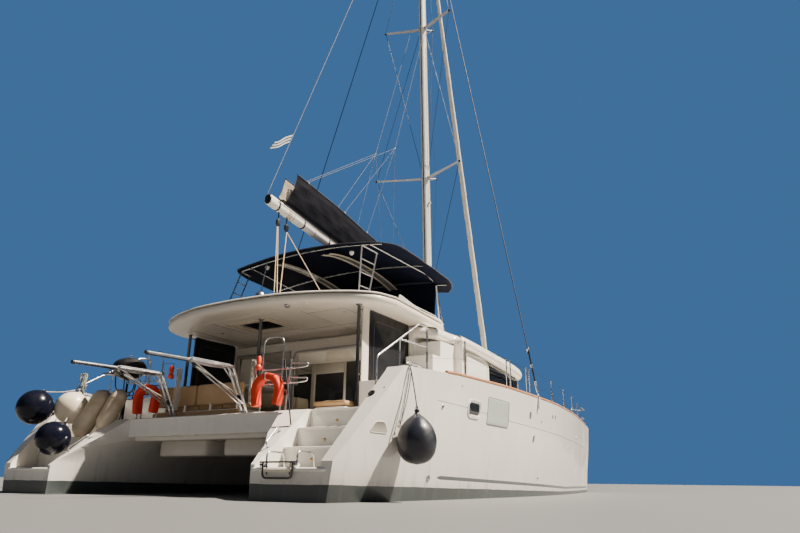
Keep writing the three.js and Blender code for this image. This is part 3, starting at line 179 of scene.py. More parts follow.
class Shape:
    """A mesh gathered from grids of points. One grid cell is one face, with running lengths in metres as
    its UV."""

    def __init__(self):
        self.points, self.faces, self.maps, self.count = [], [], [], 0

    def grid(self, points, wrap=False, ends=False, loop=False, flip=False):
        """Faces between neighbouring grid points. wrap joins the last column to the first, loop the last
        row."""
        p = asarray(points, float)
        n, m = p.shape[:2]
        i, j = meshgrid(np.arange(n if loop else n - 1), np.arange(m if wrap else m - 1), indexing="ij")
        corner = lambda a, b: self.count + (a % n) * m + b % m
        faces = stack([corner(i, j), corner(i + 1, j), corner(i + 1, j + 1), corner(i, j + 1)], -1)
        wide = concatenate([p, p[:, :1]], 1) if wrap else p
        tall = concatenate([p, p[:1]], 0) if loop else p
        run = lambda q, axis: np.linalg.norm(np.diff(q, axis=axis), axis=-1).mean(1 - axis)
        u = concatenate([[0], np.cumsum(run(tall, 0))])
        v = concatenate([[0], np.cumsum(run(wide, 1))])
        place = lambda a, b: stack([u[a], v[b]], -1)
        uv = stack([place(i, j), place(i + 1, j), place(i + 1, j + 1), place(i, j + 1)], -2)
        flat = p.reshape(-1, 3)
        sets = [(faces.reshape(-1, 4), uv.reshape(-1, 4, 2))]
        if ends:
            ring = np.arange(m)
            for row, turn in ((0, 1), (n - 1, -1)):
                centre = self.count + len(flat)
                flat = concatenate([flat, p[row].mean(0)[None]])
                cap = xyz(full(m, centre), self.count + row * m + ring, self.count + row * m + (ring + 1) % m)
                sets.append((cap[:, :: turn], np.zeros((m, 3, 2))))
        volume = sum(
            np.einsum("ij,ij->i", flat[f[:, 0] - self.count], cross(flat[f[:, k] - self.count],
                      flat[f[:, k + 1] - self.count])).sum()
            for f, _ in sets for k in range(1, f.shape[1] - 1)
        )
        turn_round = volume < 0 if (wrap and (ends or loop)) else flip
        for f, w in sets:
            self.faces.append(f[:, ::-1] if turn_round else f)
            self.maps.append(w[:, ::-1] if turn_round else w)
        self.points.append(flat)
        self.count += len(flat)
        return self

    def loft(self, rings):
        """A closed skin: rings joined into rows, with both ends capped."""
        return self.grid(rings, wrap=True, ends=True)

    def tube(self, path, radius, sides=10, squash=1.0, up=None):
        """A round bar along a path, its radius one value or one for each point."""
        return self.loft(carried(path, circle(sides, squash), radius, up))

    def ring(self, path, radius, sides=8, up=None):
        """A round bar along a closed path."""
        p = asarray(path, float)
        rolled = carried(concatenate([p[-1:], p, p[:1]]), circle(sides), radius, up)[1:-1]
        return self.grid(rolled, wrap=True, loop=True)

    def lathe(self, profile, place, axis=Z, sides=24):
        """A closed profile turned about an axis."""
        return self.loft(turned(profile, sides, place, axis))

    def slab(self, outline, thick, place, edge=0.0, e1=X, e2=Y):
        """A flat outline on axes e1 and e2 with rounded edges: rings inset by edge (1 - sin a) at depth
        edge (1 - cos a)."""
        o = asarray(outline, float)
        a = linspace(0, pi / 2, 3)
        inset, depth = edge * (1 - sin(a)), edge * (1 - cos(a))
        inset, height = concatenate([inset, inset[::-1]]), concatenate([depth, thick - depth[::-1]])
        flat = o[None] - inset[:, None, None] * outward(o)[None]
        p = asarray(place, float) + flat[..., :1] * e1 + flat[..., 1:] * e2
        return self.loft(p + height[:, None, None] * cross(e1, e2))

    def block(self, low, high, edge=0.01, corner=None):
        """A box from corner to corner with rounded edges, lying flat."""
        low, high = asarray(low, float), asarray(high, float)
        size = high - low
        middle = (low + high) / 2
        outline = rectangle(size[0], size[1], min(corner or 2 * edge, size[0] / 2.1, size[1] / 2.1))
        return self.slab(outline, size[2], [middle[0], middle[1], low[2]], min(edge, size[2] / 2.1))

    def pillow(self, low, high, round_plan=0.22, round_edge=0.45, crown=0.25, pull=0.02):
        """A superquadric cushion: its plan and its section are powers of sine and cosine, its faces crowned,
        its sides pulled in between the corners by pull times the squared cosine of twice the plan angle."""
        low, high = asarray(low, float), asarray(high, float)
        half, middle = (high - low) / 2, (low + high) / 2
        a = linspace(-pi, pi, 65)[:-1]
        b = linspace(-pi / 2, pi / 2, 25)
        power = lambda v, e: sign(v) * np.abs(v) ** e
        thin = int(np.argmin(half))
        flat = [k for k in range(3) if k != thin]
        ca, sa = power(cos(a), round_plan), power(sin(a), round_plan)
        cb, sb = power(cos(b), round_edge), power(sin(b), round_edge)
        inward = 1 - pull * cos(2 * a) ** 2
        p = np.zeros((25, 64, 3))
        p[..., flat[0]] = half[flat[0]] * cb[:, None] * ca * inward
        p[..., flat[1]] = half[flat[1]] * cb[:, None] * sa * inward
        swell = sum(np.abs(p[..., k] / half[k]) ** 2.5 for k in flat)
        p[..., thin] = half[thin] * sb[:, None] * (1 - crown * swell / 2)
        return self.loft(p + middle)

    def make(self, name, finish, body="boat", **more):
        """The gathered grids as one object at the origin, riding on a body."""
        points, faces, maps = concatenate(self.points), self.faces, self.maps
        mesh = bpy.data.meshes.new(name)
        loops = concatenate([f.ravel() for f in faces])
        sizes = concatenate([full(len(f), f.shape[1]) for f in faces])
        mesh.vertices.add(len(points))
        mesh.vertices.foreach_set("co", points.astype(np.float32).ravel())
        mesh.loops.add(len(loops))
        mesh.loops.foreach_set("vertex_index", loops.astype(np.int32))
        mesh.polygons.add(len(sizes))
        mesh.polygons.foreach_set("loop_start", (np.cumsum(sizes) - sizes).astype(np.int32))
        mesh.polygons.foreach_set("loop_total", sizes.astype(np.int32))
        mesh.update(calc_edges=True)
        uv = concatenate([w.reshape(-1, 2) for w in maps])
        mesh.uv_layers.new(name="UVMap").data.foreach_set("uv", uv.astype(np.float32).ravel())
        return finished(name, mesh, finish, body, **more)


def finished(name, mesh, finish, body, slot=None, sharp=38, replaces=(), bevel=0.0, solid=0.0):
    """Merges doubled points, shades smooth up to the sharp angle, adds the modifiers and rides the body;
    it works out the finish's own slot unless another is named, but puts it nowhere."""
    work = bmesh.new()
    work.from_mesh(mesh)
    bmesh.ops.remove_doubles(work, verts=work.verts, dist=2e-6)
    bmesh.ops.dissolve_degenerate(work, edges=work.edges, dist=1e-7)
    work.to_mesh(mesh)
    work.free()
    mesh.materials.clear()
    mesh.materials.append(M[finish])
    mesh.polygons.foreach_set("use_smooth", np.ones(len(mesh.polygons), bool))
    mesh.set_sharp_from_angle(angle=np.radians(sharp))
    piece = bpy.data.objects.new(name, mesh)
    bpy.context.scene.collection.objects.link(piece)
    if solid:
        wall = piece.modifiers.new("wall", "SOLIDIFY")
        wall.thickness, wall.offset = abs(solid), (1 if solid > 0 else -1)
    if bevel:
        edge = piece.modifiers.new("edges", "BEVEL")
        edge.width, edge.segments, edge.limit_method = bevel, 2, "ANGLE"
        edge.angle_limit, edge.harden_normals = np.radians(sharp), True
    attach(piece, body)
    slot = slot or SLOTS[finish]
    if replaces:
        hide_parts(*replaces)
    return piece


def shell(node, finish, slot=None, bevel=0.006):
    """A CAD node's own shape as one smooth piece: a merged copy with its flat faces joined and its edges
    eased."""
    source = NODES[node]
    work = bmesh.new()
    work.from_mesh(source.data)
    bmesh.ops.remove_doubles(work, verts=work.verts, dist=2e-5)
    bmesh.ops.dissolve_limit(work, angle_limit=np.radians(0.3), verts=work.verts, edges=work.edges)
    mesh = bpy.data.meshes.new(node + "_shell")
    work.to_mesh(mesh)
    work.free()
    for layer in [a for a in mesh.attributes if a.name == "custom_normal"]:
        mesh.attributes.remove(layer)
    return finished(node + "_shell", mesh, finish, source["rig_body"], slot, 34, (node,), bevel)


_trees = {}


def tree(node):
    """The faces of a CAD node for casting lines on."""
    if node not in _trees:
        mesh = NODES[node].data
        _trees[node] = BVHTree.FromPolygons([v.co for v in mesh.vertices],
                                            [tuple(p.vertices) for p in mesh.polygons])
    return _trees[node]


def cast(node, starts, way):
    """Where lines from the starts along one way first meet a CAD node, and the surface's normals there."""
    starts = asarray(starts, float)
    found = [tree(node).ray_cast(Vector(s), Vector(way)) for s in starts.reshape(-1, 3)]
    places = array([hit[0] if hit[0] is not None else s for hit, s in zip(found, starts.reshape(-1, 3))],
                   float)
    normals = array([hit[1] if hit[1] is not None else way for hit in found], float)
    return places.reshape(starts.shape), normals.reshape(starts.shape)


def hull_side(side, x, z):
    """Points on a hull's outer side at each x and z, with the normals there."""
    x, z = np.broadcast_arrays(asarray(x, float), asarray(z, float))
    s = SIDES[side]
    return cast("hull_" + side, xyz(x, 5.0 * s, z), (0, -s, 0))


def hull_patch(shape, side, outline, lift, rings=4):
    """A patch laid on a hull's side: rings from its outline in to its middle, lifted by lift sqrt(1 -
    r^8)."""
    o = asarray(outline, float)
    middle = o.mean(0)
    r = linspace(1, 0.02, rings + 3)[:, None, None]
    flat = middle + r * (o - middle)
    p, n = hull_side(side, flat[..., 0], flat[..., 1])
    p = p + n * (lift * sqrt(1 - r**8) - 0.0005)
    return shape.grid(p, flip=SIDES[side] < 0, wrap=True)


# MATERIAL GROUPS
def group(name, inputs, outputs):
    """A shader node group with named inputs (kind, default) and outputs."""
    made = bpy.data.node_groups.new(name, "ShaderNodeTree")
    for title, (kind, value) in inputs.items():
        socket = made.interface.new_socket(title, in_out="INPUT", socket_type="NodeSocket" + kind)
        if value is not None:
            socket.default_value = value
    for title, kind in outputs.items():
        made.interface.new_socket(title, in_out="OUTPUT", socket_type="NodeSocket" + kind)
    return made, Wire(made, made.nodes.new("NodeGroupInput"), made.nodes.new("NodeGroupOutput"))


class Wire:
    """Short calls for nodes of one tree."""

    def __init__(self, tree_, source=None, sink=None):
        self.tree, self.source, self.sink = tree_, source, sink

    def give(self, socket, value):
        if hasattr(value, "is_linked") or isinstance(value, bpy.types.NodeSocket):
            self.tree.links.new(value, socket)
        else:
            socket.default_value = value

    def out(self, title, value):
        self.give(self.sink.inputs[title], value)

    def math(self, operation, a, b=0.0, clamp=False):
        node = self.tree.nodes.new("ShaderNodeMath")
        node.operation, node.use_clamp = operation, clamp
        self.give(node.inputs[0], a)
        self.give(node.inputs[1], b)
        return node.outputs[0]

    def mul(self, a, b):
        return self.math("MULTIPLY", a, b)

    def add(self, a, b):
        return self.math("ADD", a, b)

    def sub(self, a, b, clamp=False):
        return self.math("SUBTRACT", a, b, clamp)

    def abs(self, a):
        return self.math("ABSOLUTE", a)

    def sin(self, a):
        return self.math("SINE", a)

    def fract(self, a):
        return self.math("FRACT", a)

    def noise(self, vector, scale, detail=3.0, rough=0.55, stretch=None):
        if stretch:
            vector = self.scaled(vector, stretch)
        node = self.tree.nodes.new("ShaderNodeTexNoise")
        self.give(node.inputs["Vector"], vector)
        self.give(node.inputs["Scale"], scale)
        self.give(node.inputs["Detail"], detail)
        self.give(node.inputs["Roughness"], rough)
        return node.outputs["Fac"]

    def creases(self, vector, scale):
        node = self.tree.nodes.new("ShaderNodeTexVoronoi")
        node.feature = "DISTANCE_TO_EDGE"
        self.give(node.inputs["Vector"], vector)
        self.give(node.inputs["Scale"], scale)
        return node.outputs["Distance"]

    def scaled(self, vector, by, turn=(0, 0, 0)):
        node = self.tree.nodes.new("ShaderNodeMapping")
        self.give(node.inputs["Vector"], vector)
        node.inputs["Scale"].default_value, node.inputs["Rotation"].default_value = by, turn
        return node.outputs[0]

    def part(self, vector, axis):
        node = self.tree.nodes.new("ShaderNodeSeparateXYZ")
        self.give(node.inputs[0], vector)
        return node.outputs["XYZ".index(axis)]

    def fit(self, value, low, high, to_low=0.0, to_high=1.0, smooth=True):
        node = self.tree.nodes.new("ShaderNodeMapRange")
        node.interpolation_type = "SMOOTHSTEP" if smooth else "LINEAR"
        for title, v in zip(("Value", "From Min", "From Max", "To Min", "To Max"),
                            (value, low, high, to_low, to_high)):
            self.give(node.inputs[title], v)
        return node.outputs[0]

    def blend(self, mask, a, b):
        node = self.tree.nodes.new("ShaderNodeMix")
        node.data_type = "RGBA"
        rgb = lambda v: (*v, 1.0) if isinstance(v, tuple) and len(v) == 3 else v
        self.give(node.inputs["Factor"], mask)
        for socket, v in ((node.inputs[6], a), (node.inputs[7], b)):
            self.give(socket, rgb(v))
        return node.outputs[2]

    def use(self, shared, **values):
        node = self.tree.nodes.new("ShaderNodeGroup")
        node.node_tree = shared
        for title, v in values.items():
            self.give(node.inputs[title.replace("_", " ")], v)
        return node.outputs


def weathering():
    """Soft patches, runs down upright faces and fine specks, each from 0 to 1."""
    made, w = group("weathering", {"Place": ("Vector", None), "Size": ("Float", 1.0)},
                    {"Patches": "Float", "Runs": "Float", "Specks": "Float", "Ripple": "Float"})
    place, size = w.source.outputs[0], w.source.outputs[1]
    w.out("Patches", w.fit(w.noise(place, w.mul(size, 0.9), 5.0), 0.38, 0.72))
    w.out("Runs", w.fit(w.noise(place, size, 4.0, 0.6, (7, 7, 0.45)), 0.48, 0.8))
    w.out("Specks", w.fit(w.noise(place, w.mul(size, 55.0), 2.0), 0.66, 0.76))
    w.out("Ripple", w.noise(place, w.mul(size, 260.0), 1.0))
    return made


def woven():
    """Plain weave on a flat map: over and under threads from two square waves a quarter turn apart."""
    made, w = group("woven", {"Map": ("Vector", None), "Threads": ("Float", 900.0)},
                    {"Height": "Float", "Slub": "Float"})
    place, threads = w.source.outputs[0], w.source.outputs[1]
    across = w.sin(w.mul(w.part(place, "X"), threads))
    along = w.sin(w.mul(w.part(place, "Y"), threads))
    w.out("Height", w.fit(w.mul(across, along), -1, 1, smooth=False))
    w.out("Slub", w.fit(w.noise(place, 60.0, 3.0, 0.6, (1, 9, 1)), 0.35, 0.7))
    return made


def banded():
    """1 inside a band of a value and 0 outside it: one less the distance from its middle over its half
    width."""
    made, w = group("banded", {"Value": ("Float", 0.0), "Middle": ("Float", 0.0), "Half": ("Float", 0.01),
                               "Soft": ("Float", 0.002)}, {"Mask": "Float"})
    value, middle, half, soft = (w.source.outputs[k] for k in range(4))
    away = w.abs(w.sub(value, middle))
    w.out("Mask", w.sub(1.0, w.math("DIVIDE", w.sub(away, half), soft), True))
    return made


def grained():
    """Leather-like cells with creases between them."""
    made, w = group("grained", {"Place": ("Vector", None), "Size": ("Float", 300.0)},
                    {"Height": "Float", "Wear": "Float"})
    place, size = w.source.outputs[0], w.source.outputs[1]
    w.out("Height", w.fit(w.creases(place, size), 0.0, 0.35))
    w.out("Wear", w.fit(w.noise(place, 4.0, 5.0), 0.4, 0.75))
    return made


def studded():
    """Rows of raised dots on a level face, from the sine of two level axes, only where the face looks up."""
    made, w = group("studded", {"Place": ("Vector", None), "Pitch": ("Float", 260.0)}, {"Height": "Float"})
    place, pitch = w.source.outputs[0], w.source.outputs[1]
    a = w.sin(w.mul(w.part(place, "X"), pitch))
    b = w.sin(w.mul(w.part(place, "Y"), pitch))
    w.out("Height", w.fit(w.mul(a, b), 0.1, 0.7))
    return made


WEATHERING, WOVEN, BANDED, GRAINED, STUDDED = weathering(), woven(), banded(), grained(), studded()


class Finish:
    """A material: one Principled shader, its constants on its own sockets, and short calls to wire the
    rest."""

    def __init__(self, name, color, rough, metal=0.0, **fixed):
        self.material = bpy.data.materials.new(name)
        self.material.use_nodes = True
        self.material.diffuse_color = (*color, 1)
        tree_ = self.material.node_tree
        self.shader = tree_.nodes["Principled BSDF"]
        self.wire = Wire(tree_)
        coordinate = tree_.nodes.new("ShaderNodeTexCoord")
        self.place, self.map = coordinate.outputs["Object"], coordinate.outputs["UV"]
        self.set("Base Color", (*color, 1))
        self.set("Roughness", rough)
        self.set("Metallic", metal)
        for title, value in fixed.items():
            self.set(title.replace("_", " "), value)

    def set(self, title, value):
        self.wire.give(self.shader.inputs[title], value)

    def bump(self, height, depth, distance):
        node = self.wire.tree.nodes.new("ShaderNodeBump")
        node.inputs["Strength"].default_value, node.inputs["Distance"].default_value = depth, distance
        self.wire.give(node.inputs["Height"], height)
        self.set("Normal", node.outputs[0])


def gelcoat(name, color, warm, rough=0.24, streaks=0.35, hull=False, studs=False, coat=0.35, painted_shade_heights=None):
    """Glossy moulded skin: cloudy tone, faint runs and specks, an almost flat ripple, a hull's painted bands,
    and optional painted shade that darkens the skin going up between two heights."""
    f = Finish(name, color, rough, Coat_Weight=coat, Coat_Roughness=0.12)
    w = f.wire
    patches, runs, specks, ripple = (w.use(WEATHERING, Place=f.place)[k] for k in range(4))
    tone = w.blend(w.mul(patches, 0.6), color, warm)
    tone = w.blend(w.mul(runs, streaks), tone, (0.47, 0.44, 0.38))
    tone = w.blend(w.mul(specks, 0.12), tone, (0.35, 0.32, 0.27))
    gloss = w.fit(w.add(patches, w.mul(runs, 0.6)), 0, 1.6, rough - 0.05, rough + 0.2)
    height = ripple
    if hull:
        x, z = w.part(f.place, "X"), w.part(f.place, "Z")
        # Darker and duller towards the water: painted shade, with the grime runs stronger low down
        tone = w.blend(w.add(w.fit(z, 0.15, 1.25, 0.42, 0.0), w.mul(runs, w.fit(z, 0.3, 1.1, 0.35, 0.0))),
                       tone, (0.50, 0.48, 0.42))
        lap = w.mul(w.noise(f.place, 3.0, 4.0), 0.02)
        # Boot top: up to 0.19 above the water at the stern, falling to 0.07 forward
        boot = w.fit(x, -6.9, 1.5, 0.20, 0.075, smooth=False)
        below = w.fit(w.sub(z, w.add(boot, lap)), -0.012, -0.006, 1.0, 0.0)
        tone = w.blend(below, tone, w.blend(patches, (0.022, 0.032, 0.035), (0.042, 0.056, 0.060)))
        gloss = w.add(gloss, w.mul(below, 0.3))
        # Weed line just above the boot top
        scum = w.fit(w.sub(z, boot), 0.0, 0.12, 0.35, 0.0)
        tone = w.blend(w.mul(scum, w.add(runs, 0.35)), tone, (0.14, 0.15, 0.12))
        # Grey cove stripe along the outer side
        line = w.fit(x, -4.8, 2.2, 0.308, 0.150, smooth=False)
        point_ = w.mul(w.abs(w.sub(z, line)), 4.0)
        start = w.fit(w.sub(x, point_), -4.80, -4.78)
        outer = w.fit(w.abs(w.part(f.place, "Y")), 2.70, 2.72)
        stripe = w.use(BANDED, Value=w.sub(z, line), Middle=0.0, Half=0.025, Soft=0.002)[0]
        stripe = w.mul(stripe, w.mul(start, outer))
        tone = w.blend(stripe, tone, (0.065, 0.075, 0.080))
    # Painted shade: darker going up between the two heights, like the shaded top of a recess
    if painted_shade_heights:
        tone = w.blend(w.fit(w.part(f.place, "Z"), painted_shade_heights[0], painted_shade_heights[1]), tone, tuple(0.30 * c for c in color))
    if studs:
        height = w.add(height, w.mul(w.use(STUDDED, Place=f.place)[0], 6.0))
        gloss = w.add(gloss, 0.25)
    f.set("Base Color", tone)
    f.set("Roughness", gloss)
    f.bump(height, 0.08 if not studs else 0.35, 0.0008)
    return f.material


def cloth(name, color, worn, threads=1400.0, rough=0.85, depth=0.5, sheen=0.25, seams=None,
          dust=0.25, gleam=0.3):
    """Woven canvas: thread relief on the piece's own map, slubs, sun-faded patches and optional sewn
    seams."""
    f = Finish(name, color, rough, Sheen_Weight=sheen, Sheen_Roughness=0.5, Specular_IOR_Level=gleam)
    w = f.wire
    weave = w.use(WOVEN, Map=f.map, Threads=threads)
    fade = w.use(WEATHERING, Place=f.place, Size=1.3)
    tone = w.blend(w.mul(fade["Patches"], 0.55), color, worn)
    tone = w.blend(w.mul(weave["Slub"], 0.22), tone, worn)
    tone = w.blend(w.mul(fade["Specks"], dust), tone, (0.30, 0.29, 0.27))
    height = w.add(weave["Height"], w.mul(w.noise(f.place, 9.0, 3.0), 6.0))
    if seams:
        axis, pitch = seams
        away = w.abs(w.sub(w.fract(w.math("DIVIDE", w.part(f.place, axis), pitch)), 0.5))
        seam = w.fit(w.mul(away, pitch), 0.0, 0.012, 1.0, 0.0)
        tone = w.blend(w.mul(seam, 0.55), tone, tuple(0.45 * c for c in color))
        height = w.sub(height, w.mul(seam, 5.0))
    f.set("Base Color", tone)
    f.set("Roughness", w.fit(fade["Patches"], 0, 1, rough - 0.08, rough + 0.08))
    f.bump(height, depth, 0.0012)
    return f.material


def metal(name, color, rough, smear=0.12, metallic=1.0, grain=None):
    """Polished or painted metal with fingermarks, water marks and fine scratches."""
    f = Finish(name, color, rough, metallic)
    w = f.wire
    mark = w.use(WEATHERING, Place=f.place, Size=6.0)
    tone = w.blend(w.mul(mark["Patches"], 0.35), color, tuple(0.72 * c for c in color))
    f.set("Base Color", w.blend(w.mul(mark["Specks"], 0.3), tone, tuple(0.35 * c for c in color)))
    scratch = w.noise(f.place, 60.0, 3.0, 0.6, grain or (1, 1, 14))
    f.set("Roughness", w.add(w.fit(mark["Patches"], 0, 1, rough, rough + smear), w.mul(scratch, 0.08)))
    f.bump(scratch, 0.06, 0.0005)
    return f.material


def plastic(name, color, rough, dust=(0.4, 0.38, 0.35), amount=0.2, coat=0.0, size=4.0, gleam=0.5):
    """Moulded plastic, rubber or enamel: fine texture, dust in patches, rubbed spots."""
    f = Finish(name, color, rough, Coat_Weight=coat, Coat_Roughness=0.1, Specular_IOR_Level=gleam)
    w = f.wire
    mark = w.use(WEATHERING, Place=f.place, Size=size)
    tone = w.blend(w.mul(mark["Patches"], amount), color, dust)
    f.set("Base Color", w.blend(w.mul(mark["Specks"], amount), tone, dust))
    f.set("Roughness", w.fit(mark["Patches"], 0, 1, max(rough - 0.06, 0.03), rough + 0.16))
    f.bump(mark["Ripple"], 0.10, 0.0006)
    return f.material


def leather(name, color, worn, rough=0.55):
    """Soft vinyl: cell grain with creases, a rubbed paler tone and stitched lines come as geometry."""
    f = Finish(name, color, rough, Sheen_Weight=0.15)
    w = f.wire
    skin = w.use(GRAINED, Place=f.place, Size=420.0)
    tone = w.blend(w.mul(skin["Wear"], 0.5), color, worn)
    # Painted shade: darker in the grain's creases
    f.set("Base Color", w.blend(w.fit(skin["Height"], 0, 0.25, 0.3, 0.0), tone,
                                tuple(0.5 * c for c in color)))
    f.set("Roughness", w.fit(skin["Wear"], 0, 1, rough + 0.08, rough - 0.1))
    f.bump(w.add(skin["Height"], w.mul(w.noise(f.place, 14.0), 4.0)), 0.3, 0.0008)
    return f.material


def rope(name, color, fleck):
    """Laid rope: strands from a sine of length plus angle on the tube's own map, with coloured flecks."""
    f = Finish(name, color, 0.8, Sheen_Weight=0.3)
    w = f.wire
    lay = 260.0
    turn = w.add(w.mul(w.part(f.map, "X"), lay), w.mul(w.part(f.map, "Y"), lay * 1.4))
    strand = w.fit(w.sin(turn), -1, 1, smooth=False)
    # Painted shade: darker in the grooves between strands
    f.set("Base Color", w.blend(w.fit(strand, 0.0, 0.4, 0.7, 0.0),
                                w.blend(w.fit(w.noise(f.map, 120.0), 0.62, 0.68), color, fleck),
                                tuple(0.35 * c for c in color)))
    f.bump(strand, 0.6, 0.002)
    return f.material


def glass(name, color, rough=0.04, alpha=1.0, salt=0.15):
    """Tinted pane: dark gloss with dried salt in faint patches."""
    f = Finish(name, color, rough, IOR=1.5, Alpha=alpha, Coat_Weight=0.5, Coat_Roughness=0.03)
    w = f.wire
    mark = w.use(WEATHERING, Place=f.place, Size=2.5)
    f.set("Base Color", w.blend(w.mul(mark["Runs"], salt), color, tuple(c + 0.10 for c in color)))
    f.set("Roughness", w.fit(mark["Patches"], 0, 1, rough, rough + 0.06))
    f.bump(w.noise(f.place, 3.0), 0.05, 0.002)
    return f.material


def net():
    """Open mesh: square cells whose threads stay and whose holes let the light through."""
    f = Finish("trampoline_net", (0.09, 0.10, 0.11), 0.8)
    w = f.wire
    turned_place = w.scaled(f.place, (1, 1, 1), turn=(0, 0, np.radians(45)))
    across = [w.abs(w.sub(w.fract(w.mul(w.part(turned_place, k), 26.0)), 0.5)) for k in "XY"]
    thread = w.math("MAXIMUM", *across)
    f.set("Alpha", w.fit(thread, 0.36, 0.38))
    f.set("Base Color", w.blend(w.noise(f.place, 40.0), (0.05, 0.055, 0.06), (0.16, 0.17, 0.18)))
    f.bump(thread, 0.6, 0.003)
    return f.material


def flag_cloth():
    """Plain flag bunting in level stripes of two colours from the piece's own map."""
    f = Finish("striped_bunting", (0.7, 0.7, 0.7), 0.8, Sheen_Weight=0.2)
    w = f.wire
    band = w.fit(w.fract(w.mul(w.part(f.map, "Y"), 10.0)), 0.48, 0.52)
    weave = w.use(WOVEN, Map=f.map, Threads=2400.0)
    f.set("Base Color", w.blend(band, (0.70, 0.70, 0.68), w.blend(weave["Slub"], (0.008, 0.012, 0.060),
                                                                  (0.014, 0.020, 0.085))))
    f.bump(weave["Height"], 0.3, 0.0008)
    return f.material


